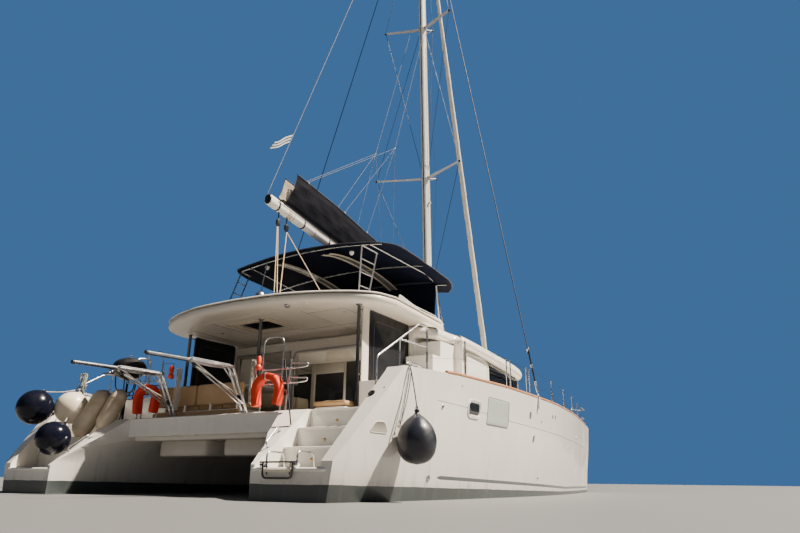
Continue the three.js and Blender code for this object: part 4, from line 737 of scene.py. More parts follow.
WHITE = (0.83, 0.80, 0.74)
M = {
    "hull": gelcoat("hull_gelcoat", WHITE, (0.72, 0.70, 0.65), 0.20, 0.20, hull=True),
    "gelcoat": gelcoat("deck_gelcoat", WHITE, (0.73, 0.71, 0.66), 0.26, 0.16),
    # Gelcoat for faces under the roof and bridge deck: its darker, warmer tone is painted shade and bounce
    # light
    "under": gelcoat("underside_painted_shade", (0.70, 0.655, 0.575), (0.62, 0.575, 0.50), 0.34, 0.10, coat=0.1),
    "tread": gelcoat("nonskid_gelcoat", (0.66, 0.655, 0.63), (0.58, 0.57, 0.54), 0.5, 0.2,
                     studs=True, coat=0.0),
    "liner": leather("saloon_liner", (0.66, 0.60, 0.50), (0.74, 0.68, 0.58)),
    "glass": glass("tinted_window", (0.012, 0.015, 0.018)),
    "screen": plastic("side_screen_film", (0.010, 0.011, 0.014), 0.42, (0.016, 0.016, 0.018), 0.2, gleam=0.2),
    "pale": glass("pale_window", (0.46, 0.50, 0.47), rough=0.10, salt=0.4),
    "steel": metal("polished_steel", (0.60, 0.61, 0.62), 0.20),
    "bright": metal("brushed_tube", (0.74, 0.745, 0.75), 0.36, metallic=0.55),
    "satin": metal("satin_alloy", (0.42, 0.43, 0.45), 0.34),
    "spar": metal("painted_spar", (0.74, 0.74, 0.71), 0.32, metallic=0.0),
    "navy": cloth("navy_canvas", (0.004, 0.006, 0.016), (0.007, 0.010, 0.022), sheen=0.0, seams=("Y", 1.05),
                  dust=0.01, gleam=0.06),
    "bag": cloth("cover_canvas", (0.004, 0.0045, 0.008), (0.009, 0.0095, 0.014), rough=0.75, sheen=0.0,
                 seams=("X", 1.55), dust=0.01, gleam=0.04),
    "tan": leather("tan_vinyl", (0.44, 0.275, 0.125), (0.52, 0.35, 0.18)),
    "beige": cloth("beige_canvas", (0.52, 0.44, 0.32), (0.62, 0.55, 0.43), rough=0.8),
    "sail": cloth("sailcloth", (0.62, 0.60, 0.55), (0.70, 0.68, 0.62), 2200.0, 0.6, 0.3, 0.1),
    "net": net(),
    "antifoul": plastic("antifouling_paint", (0.035, 0.050, 0.062), 0.75, (0.12, 0.14, 0.12), 0.5),
    "bronze": metal("bronze", (0.55, 0.38, 0.17), 0.35, 0.25),
    "engine": plastic("engine_paint", (0.22, 0.27, 0.28), 0.45, (0.3, 0.3, 0.28), 0.3),
    "fender": plastic("inflated_vinyl_dark", (0.004, 0.005, 0.012), 0.22, (0.012, 0.012, 0.018), 0.3,
                      0.10, gleam=0.16),
    "buoy_grey": plastic("inflated_vinyl_grey", (0.014, 0.016, 0.024), 0.34, (0.04, 0.04, 0.05), 0.4,
                         0.05, gleam=0.4),
    "cream": plastic("inflated_vinyl_pale", (0.72, 0.64, 0.50), 0.34, (0.45, 0.35, 0.22), 0.4, 0.1),
    "tan_fender": plastic("fender_vinyl", (0.66, 0.55, 0.40), 0.38, (0.26, 0.18, 0.10), 0.8, 0.1, size=2.0),
    "buoy": cloth("buoy_cover", (0.62, 0.026, 0.006), (0.72, 0.050, 0.012), rough=0.55, depth=0.3,
                  sheen=0.0, dust=0.05),
    "strap": cloth("white_webbing", (0.70, 0.69, 0.66), (0.56, 0.54, 0.50), 3000.0),
    "clear": glass("clear_door_glass", (0.02, 0.025, 0.025), alpha=0.13, salt=0.1),
    "ceiling": plastic("cabin_ceiling", (0.54, 0.50, 0.43), 0.55, (0.46, 0.42, 0.36), 0.4),
    "line": rope("thin_line", (0.15, 0.155, 0.17), (0.09, 0.095, 0.11)),
    "black": plastic("black_plastic", (0.013, 0.013, 0.014), 0.32, (0.09, 0.09, 0.09), 0.25),
    # Steel tubes coloured near-black under a gloss coat: painted dark reflection
    "enamel": plastic("steel_painted_dark_reflection", (0.010, 0.010, 0.012), 0.10, (0.10, 0.09, 0.08), 0.2, 0.8),
    "rope": rope("white_rope", (0.54, 0.51, 0.45), (0.18, 0.20, 0.26)),
    "brown": rope("tan_rope", (0.50, 0.38, 0.22), (0.62, 0.55, 0.42)),
    "orange": plastic("lamp_orange", (0.72, 0.040, 0.008), 0.3, (0.5, 0.2, 0.1), 0.1, 0.3),
    "lamp": plastic("lamp_lens", (0.78, 0.78, 0.74), 0.15, (0.6, 0.58, 0.5), 0.1, 0.3),
    # Dark lines: real sealant at joints, painted shade along grooves
    "groove": plastic("sealant_and_groove_shade", (0.10, 0.10, 0.10), 0.6, (0.16, 0.15, 0.14), 0.3),
    # The hand hold's recess: its darker tone and the darkening towards its top edge are painted shade
    "recess": gelcoat("hand_hold_painted_shade", (0.46, 0.42, 0.36), (0.38, 0.35, 0.30), 0.5, 0.3, coat=0.0,
                      painted_shade_heights=(0.83, 1.00)),
    "piping": leather("tan_piping", (0.30, 0.19, 0.09), (0.40, 0.28, 0.15), 0.5),
    "beige_mould": plastic("beige_moulding", (0.50, 0.44, 0.35), 0.45, (0.40, 0.35, 0.28), 0.3),
    "navy_vinyl": leather("navy_vinyl", (0.012, 0.016, 0.030), (0.03, 0.036, 0.055)),
    "navy_band": cloth("navy_binding", (0.008, 0.010, 0.018), (0.02, 0.025, 0.04), 2600.0),
    "screen_black": glass("display_glass", (0.006, 0.007, 0.009)),
    "grip": leather("wheel_grip", (0.02, 0.02, 0.021), (0.05, 0.05, 0.05), 0.5),
    "kettle": plastic("kettle_enamel", (0.008, 0.008, 0.009), 0.38, (0.03, 0.028, 0.025), 0.3, gleam=0.35),
    "matt_black": plastic("matt_black_tube", (0.008, 0.008, 0.009), 0.6, (0.02, 0.02, 0.02), 0.2, gleam=0.2),
    "white_rail": plastic("white_coated_tube", (0.72, 0.72, 0.70), 0.3, (0.5, 0.5, 0.48), 0.2, 0.2),
    "buoy_dark": cloth("buoy_binding", (0.50, 0.035, 0.008), (0.6, 0.08, 0.02), rough=0.6, depth=0.3),
    "satin_blue": metal("anodised_tube", (0.30, 0.33, 0.38), 0.24),
    "wire": metal("stranded_wire", (0.06, 0.06, 0.065), 0.5, grain=(40, 40, 4)),
    "grey_rope": rope("grey_rope", (0.24, 0.25, 0.22), (0.10, 0.11, 0.10)),
    "dark_line": rope("dark_line", (0.060, 0.060, 0.065), (0.2, 0.2, 0.2)),
    "clear_strip": glass("clear_vinyl_strip", (0.16, 0.19, 0.21), rough=0.12, salt=0.5),
    "spreader": metal("spreader_alloy", (0.30, 0.31, 0.33), 0.4, metallic=0.4),
    "lining": cloth("bag_lining", (0.26, 0.215, 0.165), (0.34, 0.29, 0.23), 1400.0),
    "flag": flag_cloth(),
    "wood": plastic("varnished_floor", (0.16, 0.085, 0.040), 0.3, (0.22, 0.14, 0.08), 0.5, 0.3),
    "teak": plastic("oiled_teak", (0.30, 0.125, 0.050), 0.6, (0.38, 0.23, 0.13), 0.4),
}

# The record's material slot for each finish, unless a call names another
SLOTS = {finish: slot for slot, finishes in {
    "gelcoat": "hull gelcoat under recess tread white_rail",
    "glass": "glass clear pale screen",
    "steel": "steel satin bright bronze wire lamp clear_strip",
    "alloy": "spar spreader satin_blue",
    "black": "black enamel matt_black grip kettle screen_black groove dark_line",
    "liner": "liner ceiling wood beige beige_mould",
    "tan": "tan piping teak",
    "navy": "navy bag lining flag navy_band navy_vinyl",
    "sailcloth": "sail rope brown grey_rope line strap",
    "buoy": "buoy buoy_dark orange cream tan_fender",
    "fender": "fender buoy_grey",
    "netting": "net",
    "antifouling": "antifoul",
    "engine": "engine",
}.items() for finish in finishes.split()}


# HULLS, KEELS AND RUNNING GEAR
for side in SIDES:
    shell("hull_" + side, "hull", bevel=0.009)
    shell("keel_" + side, "antifoul", bevel=0.012)
    shell("rudder_" + side, "antifoul", bevel=0.006)
    shell("propeller_" + side, "bronze", slot="bronze", bevel=0.003)
    shell("engine_" + side, "engine", bevel=0.008)
    shell("engine_hatch_" + side, "tread", bevel=0.006)
shell("bridge_deck", "gelcoat", bevel=0.012)

SHEER = array([(-5.96, 1.73), (-4.5, 1.79), (-2.5, 1.84), (0, 1.86), (2.4, 1.875), (3.9, 1.88),
               (5.3, 1.875), (6.4, 1.85)])


def hull_fittings(side):
    """Windows, knuckle groove, teak capping, vents and the hand hold, laid by casting on one hull's outer
    side."""
    s = SIDES[side]
    window = rectangle(0.40, 0.185, 0.055) + [-3.885, 1.345]
    hull_patch(Shape(), side, window, 0.003).make("hull_window_" + side, "glass")
    pale = rectangle(0.93, 0.44, 0.03, 4) + [-2.90, 1.375]
    pale = even(closed(pale), 161)[:-1]
    hull_patch(Shape(), side, pale, 0.008, 24).make("hull_window_pale_" + side, "pale")
    rim = Shape()
    for grow, radius in ((0.06, 0.007), (0.095, 0.010), (0.125, 0.010)):
        o = rectangle(0.34 + grow, 0.155 + grow, 0.045 + grow / 2) + [-3.878, 1.345]
        p, n = hull_side(side, o[:, 0], o[:, 1])
        rim.ring(p + n * 0.001, radius, up=Y)
    rim.make("hull_window_rim_" + side, "gelcoat")
    knuckle = [(-5.07, 1.362), (-4.09, 1.344), (-2.2, 1.28), (0, 1.254), (1.95, 1.23), (5.6, 1.20)]
    flat = even(knuckle, 90)
    p, n = hull_side(side, flat[:, 0], flat[:, 1])
    # The knuckle groove as a dark line: painted shade
    line = Shape().tube(p - n * 0.002, 0.0045, 6)
    p, n = hull_side(side, pale[:, 0], pale[:, 1])
    line.ring(p + n * 0.002, 0.004, 6, up=Y)
    line.make("hull_seams_" + side, "groove")
    hold = bent([(-6.27, 0.834), (-6.445, 0.836), (-6.362, 0.972), (-6.187, 0.974), (-6.10, 0.832),
                 (-6.27, 0.832)], 0.05)[:-1]
    hold = even(closed(hold), 81)[:-1]
    # The recess's darker tone, deepest at its top, is painted shade
    hull_patch(Shape(), side, hold, 0.005, 12).make("hand_hold_" + side, "recess")
    p, n = hull_side(side, hold[:, 0], hold[:, 1])
    Shape().ring(p + n * 0.001, 0.005, up=Y).make("hand_hold_lip_" + side, "gelcoat")
    vents = Shape()
    for x, z, r in [(-4.90, 1.293, 0.028), (-4.366, 1.651, 0.012), (-0.42, 0.35, 0.026), (-0.55, 1.42, 0.018),
                    (2.2, 1.05, 0.022), (3.4, 1.35, 0.022), (-5.014, 0.30, 0.045)]:
        p, n = hull_side(side, x, z)
        vents.lathe([(0, -0.01), (r, -0.01), (r, 0.006), (r * 0.8, 0.012), (r * 0.55, 0.012),
                     (r * 0.5, 0.002), (0, 0.002)], p, n, 20)
    for x, z, wide, tall in ((-1.275, 1.485, 0.085, 0.13), (-0.961, 1.068, 0.085, 0.13),
                             (0.272, 1.592, 0.04, 0.085), (0.512, 1.597, 0.04, 0.085)):
        p, n = hull_side(side, x, z)
        vents.slab(rectangle(wide, tall, wide * 0.42), 0.012, p - n * 0.002, 0.003, X,
                   unit(cross(n, X)) * sign(cross(n, X)[2]))
    vents.make("skin_fittings_" + side, "satin")
    x = linspace(-4.85, 5.9, 120)
    z = interp(x, *SHEER.T)
    p, n = hull_side(side, x, z - 0.012)
    Shape().tube(p + [0, -s * 0.020, 0.024], 0.027, 12, 1.2, up=Z).make("teak_capping_" + side, "teak")


for side in SIDES:
    hull_fittings(side)


def cleat(shape, place, turn=0.0, size=0.30):
    """A horn cleat: two feet with flared bases and a bar whose ends taper and droop."""
    c, s_ = cos(turn), sin(turn)
    along = array([c, s_, 0.0])
    t = linspace(-1, 1, 25)
    bar = asarray(place, float) + t[:,
                                    None] * along * size / 2 + Z * (0.062 - 0.016 * np.abs(t) ** 2.5)[:, None]
    shape.tube(bar, 0.006 + 0.011 * sqrt(np.maximum(0, 1 - t**4)), 12)
    for k in (-1, 1):
        foot = asarray(place, float) + k * along * size * 0.17
        shape.lathe([(0, 0), (0.026, 0), (0.020, 0.008), (0.012, 0.02), (0.012, 0.058), (0, 0.058)],
                    foot, sides=16)


def stern_steps(side):
    """Non-skid treads, riser lights, curved handrail, lip and fairlead of one stern's steps."""
    s = SIDES[side]
    pads = Shape()
    levels = [(-6.93, -6.47, 0.4, 3.08), (-6.41, -6.19, 0.6733, 3.16), (-6.14, -5.92, 0.9467, 3.27),
              (-5.87, -5.60, 1.22, 3.40)]
    for x0, x1, z, out in levels:
        outline = rectangle(x1 - x0, out - 2.25, 0.035)
        pads.slab(outline, 0.003, [(x0 + x1) / 2, s * (out + 2.25) / 2, z], 0.001)
    pads.make("step_treads_" + side, "tread")
    nose = Shape()
    for x, z, out in ((-6.43, 0.6733, 3.10), (-6.16, 0.9467, 3.24), (-5.89, 1.22, 3.42)):
        nose.tube([(x - 0.004, s * 2.20, z - 0.012), (x - 0.004, s * out, z - 0.012)], 0.014, 12)
    nose.tube(bent([(-6.90, s * 2.14, 0.372), (-6.992, s * 2.16, 0.372), (-6.992, s * 3.25, 0.372),
                    (-6.93, s * 3.36, 0.372)], 0.05), 0.024, 12)
    nose.make("step_noses_" + side, "gelcoat")
    lights = Shape()
    for x, z in ((-6.4305, 0.502), (-6.1605, 0.773), (-5.8905, 1.051)):
        lights.lathe([(0, -0.002), (0.026, -0.002), (0.024, 0.006), (0.016, 0.010), (0, 0.010)],
                     [x, s * 2.655, z], (-1, 0, 0), 20)
    lights.make("step_lights_" + side, "bronze")
    rail = Shape()
    ends = [array([-6.69, s * 2.13, 0.656]), array([-6.40, s * 2.06, 0.882])]
    square = array([-0.61, 0, 0.79])
    route = bent([ends[0], ends[0] + square * 0.075, ends[1] + square * 0.075, ends[1]], 0.06, 8)
    rail.tube(route, 0.011, 12)
    for at in ends:
        rail.lathe([(0, -0.004), (0.026, -0.004), (0.026, 0.004), (0.014, 0.010), (0, 0.010)], at, square, 18)
    rail.make("step_handrail_" + side, "steel")
    slope = unit(array([-0.77, 0, 0.64]))
    ring = [(0, -0.01), (0.050, -0.01), (0.052, 0.004), (0.040, 0.012), (0.028, 0.006), (0, 0.002)]
    Shape().lathe(ring, [-6.267, s * 3.463, 1.342], slope, 28).make("fairlead_" + side, "black")
    fittings = Shape()
    cleat(fittings, [-5.55, s * 3.70, 1.752], 0.0, 0.42)
    cleat(fittings, [-3.95, s * 3.74, 1.812])
    cleat(fittings, [0.3, s * 3.70, 1.803])
    cleat(fittings, [5.6, s * 2.92, 1.803])
    fittings.lathe([(0, -0.004), (0.012, -0.004), (0.011, 0.004), (0, 0.007)],
                   [-6.207, s * 3.621, 1.414], slope, 12)
    fittings.make("cleats_" + side, "steel")
    hatches, frames = Shape(), Shape()
    for x, y, wide, deep in ((-1.9, 3.30, 0.50, 0.50), (1.2, 3.12, 0.5, 0.5), (3.2, 2.72, 0.55, 0.55),
                             (5.2, 2.62, 0.42, 0.42)):
        hatches.slab(rectangle(wide, deep, 0.05), 0.022, [x, s * y, 1.802], 0.006)
        frames.slab(rectangle(wide + 0.08, deep + 0.08, 0.07), 0.016, [x, s * y, 1.8015], 0.006)
    hatches.make("deck_hatches_" + side, "glass")
    frames.make("deck_hatch_frames_" + side, "satin")


for side in SIDES:
    stern_steps(side)


def tunnel_fairings():
    """Two moulded boxes under the bridge deck's after end, and a stiffening step across it."""
    boxes = Shape()
    for y0, y1 in ((0.15, 1.30), (-1.15, -0.20)):
        boxes.block([-5.62, y0, 0.60], [-4.9, y1, 0.862], 0.05, 0.12)
    boxes.block([-5.9, -1.6, 0.842], [-5.66, 1.6, 0.94], 0.03)
    # The fairings take the underside finish: painted shade
    boxes.make("tunnel_fairings", "under")
    edge = Shape().tube([(-5.972, -1.66, 1.20), (-5.972, 1.66, 1.20)], 0.014)
    edge.make("bridge_deck_edge", "gelcoat")


tunnel_fairings()

# SALOON AND COCKPIT
for side in SIDES:
    shell("saloon_side_" + side, "gelcoat", bevel=0.014)
    shell("saloon_side_glass_" + side, "glass", bevel=0.002)
    shell("bulkhead_glass_" + side, "glass" if side == "starboard" else "clear", bevel=0.002)
shell("saloon_front", "gelcoat", bevel=0.010)
shell("saloon_front_glass", "glass", bevel=0.002)
# The bulkhead takes the underside finish: painted shade
shell("bulkhead", "under", bevel=0.008)
shell("saloon_door", "clear", bevel=0.003)


def roof_height(x, y):
    """The saloon roof's top: level amidships, 3.05 - 0.12 side^2 - 0.32 front^1.8."""
    side_ = np.maximum(0, (np.abs(y) - 2.0) / 0.85)
    return 3.05 - 0.12 * side_**2 - 0.32 * np.maximum(0, (x - 0.3) / 1.5) ** 1.8


def coachroof():
    """The saloon roof: rings inset from its plan's edge over a rounded brow that droops forward, both
    faces on roof_height. A thin moulded blade comes down to the deck at each after end of the brow, and a
    dark pane fills the corner of the side window."""
    a = linspace(0, pi / 2, 60)
    front = column_stack([0.62 + 1.14 * sin(a) ** 0.9, 3.02 * cos(a) ** 0.86])
    half = concatenate([[(-3.1, 0.0), (-3.1, 2.835), (-2.50, 2.84), (-2.46, 2.86), (-2.445, 2.90),
                         (-2.44, 2.96), (-2.42, 3.0), (-2.38, 3.02)], [(-1.5, 3.02)], front])
    plan = even(concatenate([half, (half * [1, -1])[-2::-1]]), 601)[:-1]
    inward = -outward(plan)
    middle = array([-0.9, 0.0])
    rim = [(0.20, 0), (0.14, 0.006), (0.09, 0.020), (0.05, 0.045), (0.02, 0.080), (0.004, 0.115),
           (0.0, 0.145), (0.006, 0.175), (0.025, 0.200), (0.055, 0.215), (0.10, 0.222), (0.145, 0.222),
           (0.157, 0.212), (0.160, 0.15)]
    lie = clip((plan[:, 0] + 2.2) / 2.8, 0, 1) ** 1.2 * clip((np.abs(plan[:, 1]) - 1.0) / 1.6, 0, 1)

    def skin(k, drop):
        flat = middle + k * (plan + inward * 0.20 - middle)
        return column_stack([flat, roof_height(*flat.T) - drop - 0.13 * lie * max(0, (k - 0.75) / 0.25) ** 2])

    rings = [skin(k, 0.0) for k in (0.02, 0.2, 0.4, 0.6, 0.75, 0.85, 0.92, 0.97)]
    for inset, drop in rim:
        flat = plan + inward * inset
        near = plan + inward * 0.20
        rings.append(column_stack([flat, roof_height(*near.T) - drop - (0.13 + 0.04 * drop / 0.2) * lie]))
    rings += [skin(k, 0.0905) for k in (0.97, 0.9, 0.6, 0.3, 0.02)]
    Shape().loft(stack(rings)).make("coachroof_moulding", "gelcoat", replaces=("coachroof",), sharp=60)
    blade = spline([(-2.455, 2.852), (-2.452, 2.93), (-2.446, 2.985), (-2.432, 3.006), (-2.412, 3.004),
                    (-2.39, 2.975), (-2.36, 2.93), (-2.30, 2.885), (-2.20, 2.862), (-2.08, 2.852)], 48)
    for side, s in SIDES.items():
        h = linspace(0, 1, 26)[:, None]
        z = 1.802 + h * (2.75 - 1.802)
        out = 2.852 + (blade[:, 1] - 2.852) * (1 - 0.10 * sin(pi * h))
        outer, inner = xyz(blade[:, 0], s * out, z), xyz(blade[::-1, 0], s * 2.846, z)
        Shape().loft(concatenate([outer, inner], 1)).make("roof_blade_" + side, "gelcoat", sharp=50)
        face, corner = s * 2.8545, Shape()
        corner.block([0.47, face - 0.003, 1.93], [0.885, face + 0.003, 2.60], 0.002)
        corner.block([-0.925, face - 0.0025, 2.44], [0.60, face + 0.0025, 2.655], 0.002)
        corner.make("saloon_corner_pane_" + side, "glass")


coachroof()


def cockpit():
    """White seat mouldings, tan cushions in crowned superquadrics with piping, and a table with a rounded
    top."""
    base = Shape()
    base.block([-5.66, -0.56, ON_SOLE], [-5.17, 0.97, 1.34], 0.02)
    base.block([-5.66, 0.98, ON_SOLE], [-3.52, 1.48, 1.34], 0.02)
    for y in (-0.5, 0.1, 0.7, 1.42):
        base.block([-5.672, y - 0.02, 1.30], [-5.64, y + 0.02, 1.46], 0.006)
    base.block([-4.98, -2.13, ON_SOLE], [-3.52, -1.52, 1.37], 0.02)
    base.make("seat_mouldings", "gelcoat", replaces=("cockpit_bench", "cockpit_side_seat"))
    seats = [([-5.56, y, 1.335], [-5.15, y + 0.52, 1.45]) for y in (-0.58, -0.05, 0.48)]
    seats += [([x, 1.0, 1.335], [x + 0.66, 1.40, 1.45]) for x in (-5.50, -4.83, -4.17)]
    seats += [([-5.0, -2.15, 1.365], [-4.26, -1.50, 1.48]), ([-4.24, -2.15, 1.365], [-3.50, -1.50, 1.48])]
    backs = [([-5.69, y, 1.42], [-5.575, y + 1.03, 1.765]) for y in (-0.585, 0.455)]
    backs += [([x, 1.405, 1.44], [x + 1.08, 1.50, 1.765]) for x in (-5.66, -4.57)]
    skirt = [([-5.685, -0.57, 1.235], [-5.65, 1.49, 1.325])]
    for title, group_, crown in (("seat_cushions", seats, 0.30), ("back_cushions", backs, 0.22),
                                 ("seat_skirt", skirt, 0.1)):
        soft = Shape()
        for low, high in group_:
            soft.pillow(low, high, 0.16, 0.42, crown, 0.012)
        piece = soft.make(title, "tan", sharp=80)
    piping = Shape()
    for low, high in seats + backs:
        low, high = array(low), array(high)
        half, middle = (high - low) / 2, (low + high) / 2
        thin = int(np.argmin(half))
        flat = [k for k in range(3) if k != thin]
        a = angles(80)
        ring = np.zeros((80, 3))
        power = lambda v: sign(v) * np.abs(v) ** 0.16
        for k, wave in zip(flat, (cos(a), sin(a))):
            ring[:, k] = (half[k] - 0.006) * power(wave) * (1 - 0.012 * cos(2 * a) ** 2)
        for k in (-0.42, 0.42):
            shift = np.zeros(3)
            shift[thin] = k * half[thin] * 2 * 0.62
            piping.ring(ring * 0.993 + middle + shift, 0.004, 6, up=np.eye(3)[thin])
    piping.make("cushion_piping", "piping")
    table = Shape()
    table.block([-4.56, 0.18, 1.88], [-3.56, 0.93, 1.92], 0.012, 0.08)
    table.tube([(-4.06, 0.56, ON_SOLE), (-4.06, 0.56, 1.885)], 0.05, 24)
    table.lathe([(0, 0), (0.14, 0), (0.14, 0.008), (0.07, 0.03), (0, 0.03)], [-4.06, 0.56, ON_SOLE], sides=28)
    table.make("cockpit_table_top", "gelcoat", slot="liner", replaces=("cockpit_table",))
    trim = Shape()
    for x in (-5.05, -4.2, -3.5):
        trim.slab(rectangle(0.62, 2.6, 0.04), 0.002, [x - 0.1, 0.0, AT_SOLE], 0.0005)
    trim.make("cockpit_sole_pads", "tread")


def saloon():
    """Door frame and header trim on the bulkhead, and the galley, settee and floor seen through the
    doorway."""
    trim = Shape()
    path = [(-3.106, -1.19, SOLE + 0.06), (-3.106, -1.19, 2.78), (-3.106, 0.52, 2.78),
            (-3.106, 0.52, SOLE + 0.06)]
    trim.tube(bent(path, 0.14, 8), 0.018, 8, up=X)
    for y0, y1 in ((0.64, 2.08), (-2.08, -1.42)):
        o = rectangle(y1 - y0 + 0.06, 1.34, 0.05)
        ring = xyz(-3.118, o[:, 0] + (y0 + y1) / 2, o[:, 1] + 2.14)
        trim.ring(ring, 0.010, up=X)
    trim.make("bulkhead_trim", "satin")
    inside = Shape()
    inside.block([-2.95, -1.95, ON_SOLE], [-2.35, -1.05, 2.12], 0.02)
    inside.block([-2.95, 0.95, ON_SOLE], [-0.6, 2.15, 1.62], 0.03)
    inside.block([-1.2, -2.15, ON_SOLE], [0.6, -1.35, 2.10], 0.02)
    inside.block([0.55, -1.3, ON_SOLE], [1.15, 2.0, 2.02], 0.02)
    inside.make("saloon_joinery", "liner")
    partition = Shape()
    for y0, y1, z1 in ((0.70, 0.76, 2.93), (1.60, 1.72, 2.93), (-0.10, -0.04, 2.93)):
        partition.block([-0.98, y0, SOLE + 0.02], [-0.92, y1, z1], 0.008)
    partition.block([-0.975, 0.76, 2.69], [-0.925, 1.60, 2.93], 0.006)
    partition.make("saloon_partition", "ceiling")
    dark = Shape()
    for y0, y1, z1 in ((-0.04, 0.70, 2.93), (0.77, 1.59, 2.69), (1.72, 2.15, 2.72)):
        dark.block([-0.958, y0, SOLE + 0.02], [-0.942, y1, z1], 0.003)
    dark.make("saloon_partition_glass", "glass")
    u, v = meshgrid(linspace(-2.94, 0.85, 50), linspace(-2.2, 2.2, 50), indexing="ij")
    lining = xyz(u, v, roof_height(u, v) - 0.105 - 0.05 * clip((np.abs(v) - 1.7) / 0.5, 0, 1) ** 2)
    Shape().grid(lining, flip=True).make("saloon_headlining", "ceiling", solid=0.008)
    arch = bent([(-1.02, 0.42), (-2.16, -0.17), (-2.22, 0.34), (-1.12, 1.22), (-1.02, 0.42)], 0.22, 8)[:-1]
    Shape().slab(arch, 0.012, [0, 0, 2.934], 0.003).make("saloon_ceiling_panel", "beige_mould")
    floor_ = Shape().block([-2.99, -1.95, AT_SOLE], [1.3, 0.93, SOLE + 0.012], 0.002)
    floor_.make("saloon_floor", "wood")
    sofa = Shape()
    for x in (-2.85, -2.10, -1.35):
        sofa.pillow([x, 1.0, 1.60], [x + 0.73, 1.75, 1.74], 0.18, 0.45, 0.3)
        sofa.pillow([x, 1.78, 1.70], [x + 0.73, 1.96, 2.12], 0.18, 0.45, 0.2)
    sofa.make("saloon_settee", "beige", sharp=80)


cockpit()
saloon()


def side_panel(side):
    """The smooth white panel, handrail and eyebrow along one side of the saloon."""
    s = SIDES[side]
    outline = bent([(-1.5, 2.20), (-0.94, 2.20), (-0.94, 2.56), (-1.30, 2.66), (-2.02, 2.66), (-2.02, 2.20),
                    (-1.5, 2.20)], 0.05)[:-1]
    panel = Shape().slab(outline, 0.03, [0, s * 2.852 if s > 0 else s * 2.882, 0], 0.008, X, Z)
    panel.make("side_panel_" + side, "gelcoat")
    seam = Shape()
    o = outline * [0.985, 0.99] + [-0.022, 0.024]
    seam.ring(xyz(o[:, 0], s * 2.8855, o[:, 1]), 0.0025, 6, up=Y)
    window = rectangle(1.52, 0.44, 0.10) + [-0.13, 2.31]
    seam.ring(xyz(window[:, 0], s * 2.853, window[:, 1]), 0.007, 6, up=Y)
    seam.make("saloon_side_seams_" + side, "groove")
    rail = Shape()
    x = linspace(-1.9, 0.9, 40)
    top = roof_height(x, 2.45)
    rail.tube(xyz(x, s * 2.45, top + 0.07), 0.0125)
    for k in (0, 13, 26, 39):
        rail.tube([(x[k], s * 2.45, top[k] - 0.02), (x[k], s * 2.45, top[k] + 0.07)], 0.009, 8)
    rail.make("coachroof_handrail_" + side, "steel")


for side in SIDES:
    side_panel(side)

# HARDTOP AND FLYBRIDGE
def mirrored(half):
    """A half plan and its mirror image across the middle as one closed outline."""
    half = asarray(half, float)
    back = half[::-1]
    return concatenate([half, back[back[:, 1] > 1e-6] * [1, -1]])


def roof_plan():
    """The hardtop's plan: three curved runs joined by straight ones, at even steps."""
    half = concatenate([spline([(-5.5, 0), (-5.44, 0.9), (-5.26, 1.6), (-4.98, 2.2), (-4.68, 2.51),
                                (-4.25, 2.64)], 40), spline([(-2.33, 2.51), (-2.11, 2.45), (-2.02, 2.25),
                                (-2.12, 2.01)], 16), spline([(-0.7, 1.9), (-0.42, 1.7),
                                (-0.36, 0.9)], 14), [(-0.35, 0)]])
    whole = mirrored(half)
    return even(closed(whole), 289)[:-1]


LIGHT_AT, LIGHT_SIZE = array([-4.315, 0.32]), (0.61, 0.76)


def around_light(plan, rows):
    """Rings (inset, height) from the skylight's edge out to the plan and back: small insets follow the plan's
    normals, wide ones head for the skylight, and None stands for the skylight's own edge."""
    way = unit(LIGHT_AT - plan)
    reach = np.minimum(LIGHT_SIZE[0] / 2 / np.maximum(np.abs(way[:, 0]), 1e-6),
                       LIGHT_SIZE[1] / 2 / np.maximum(np.abs(way[:, 1]), 1e-6))
    hole = LIGHT_AT - way * reach[:, None]
    normal = outward(plan)
    rings = []
    for inset, z in rows:
        flat = hole if inset is None else plan - normal * min(inset, 0.09) + way * max(inset - 0.09, 0)
        rings.append(column_stack([flat, full(len(plan), z)]))
    return stack(rings)


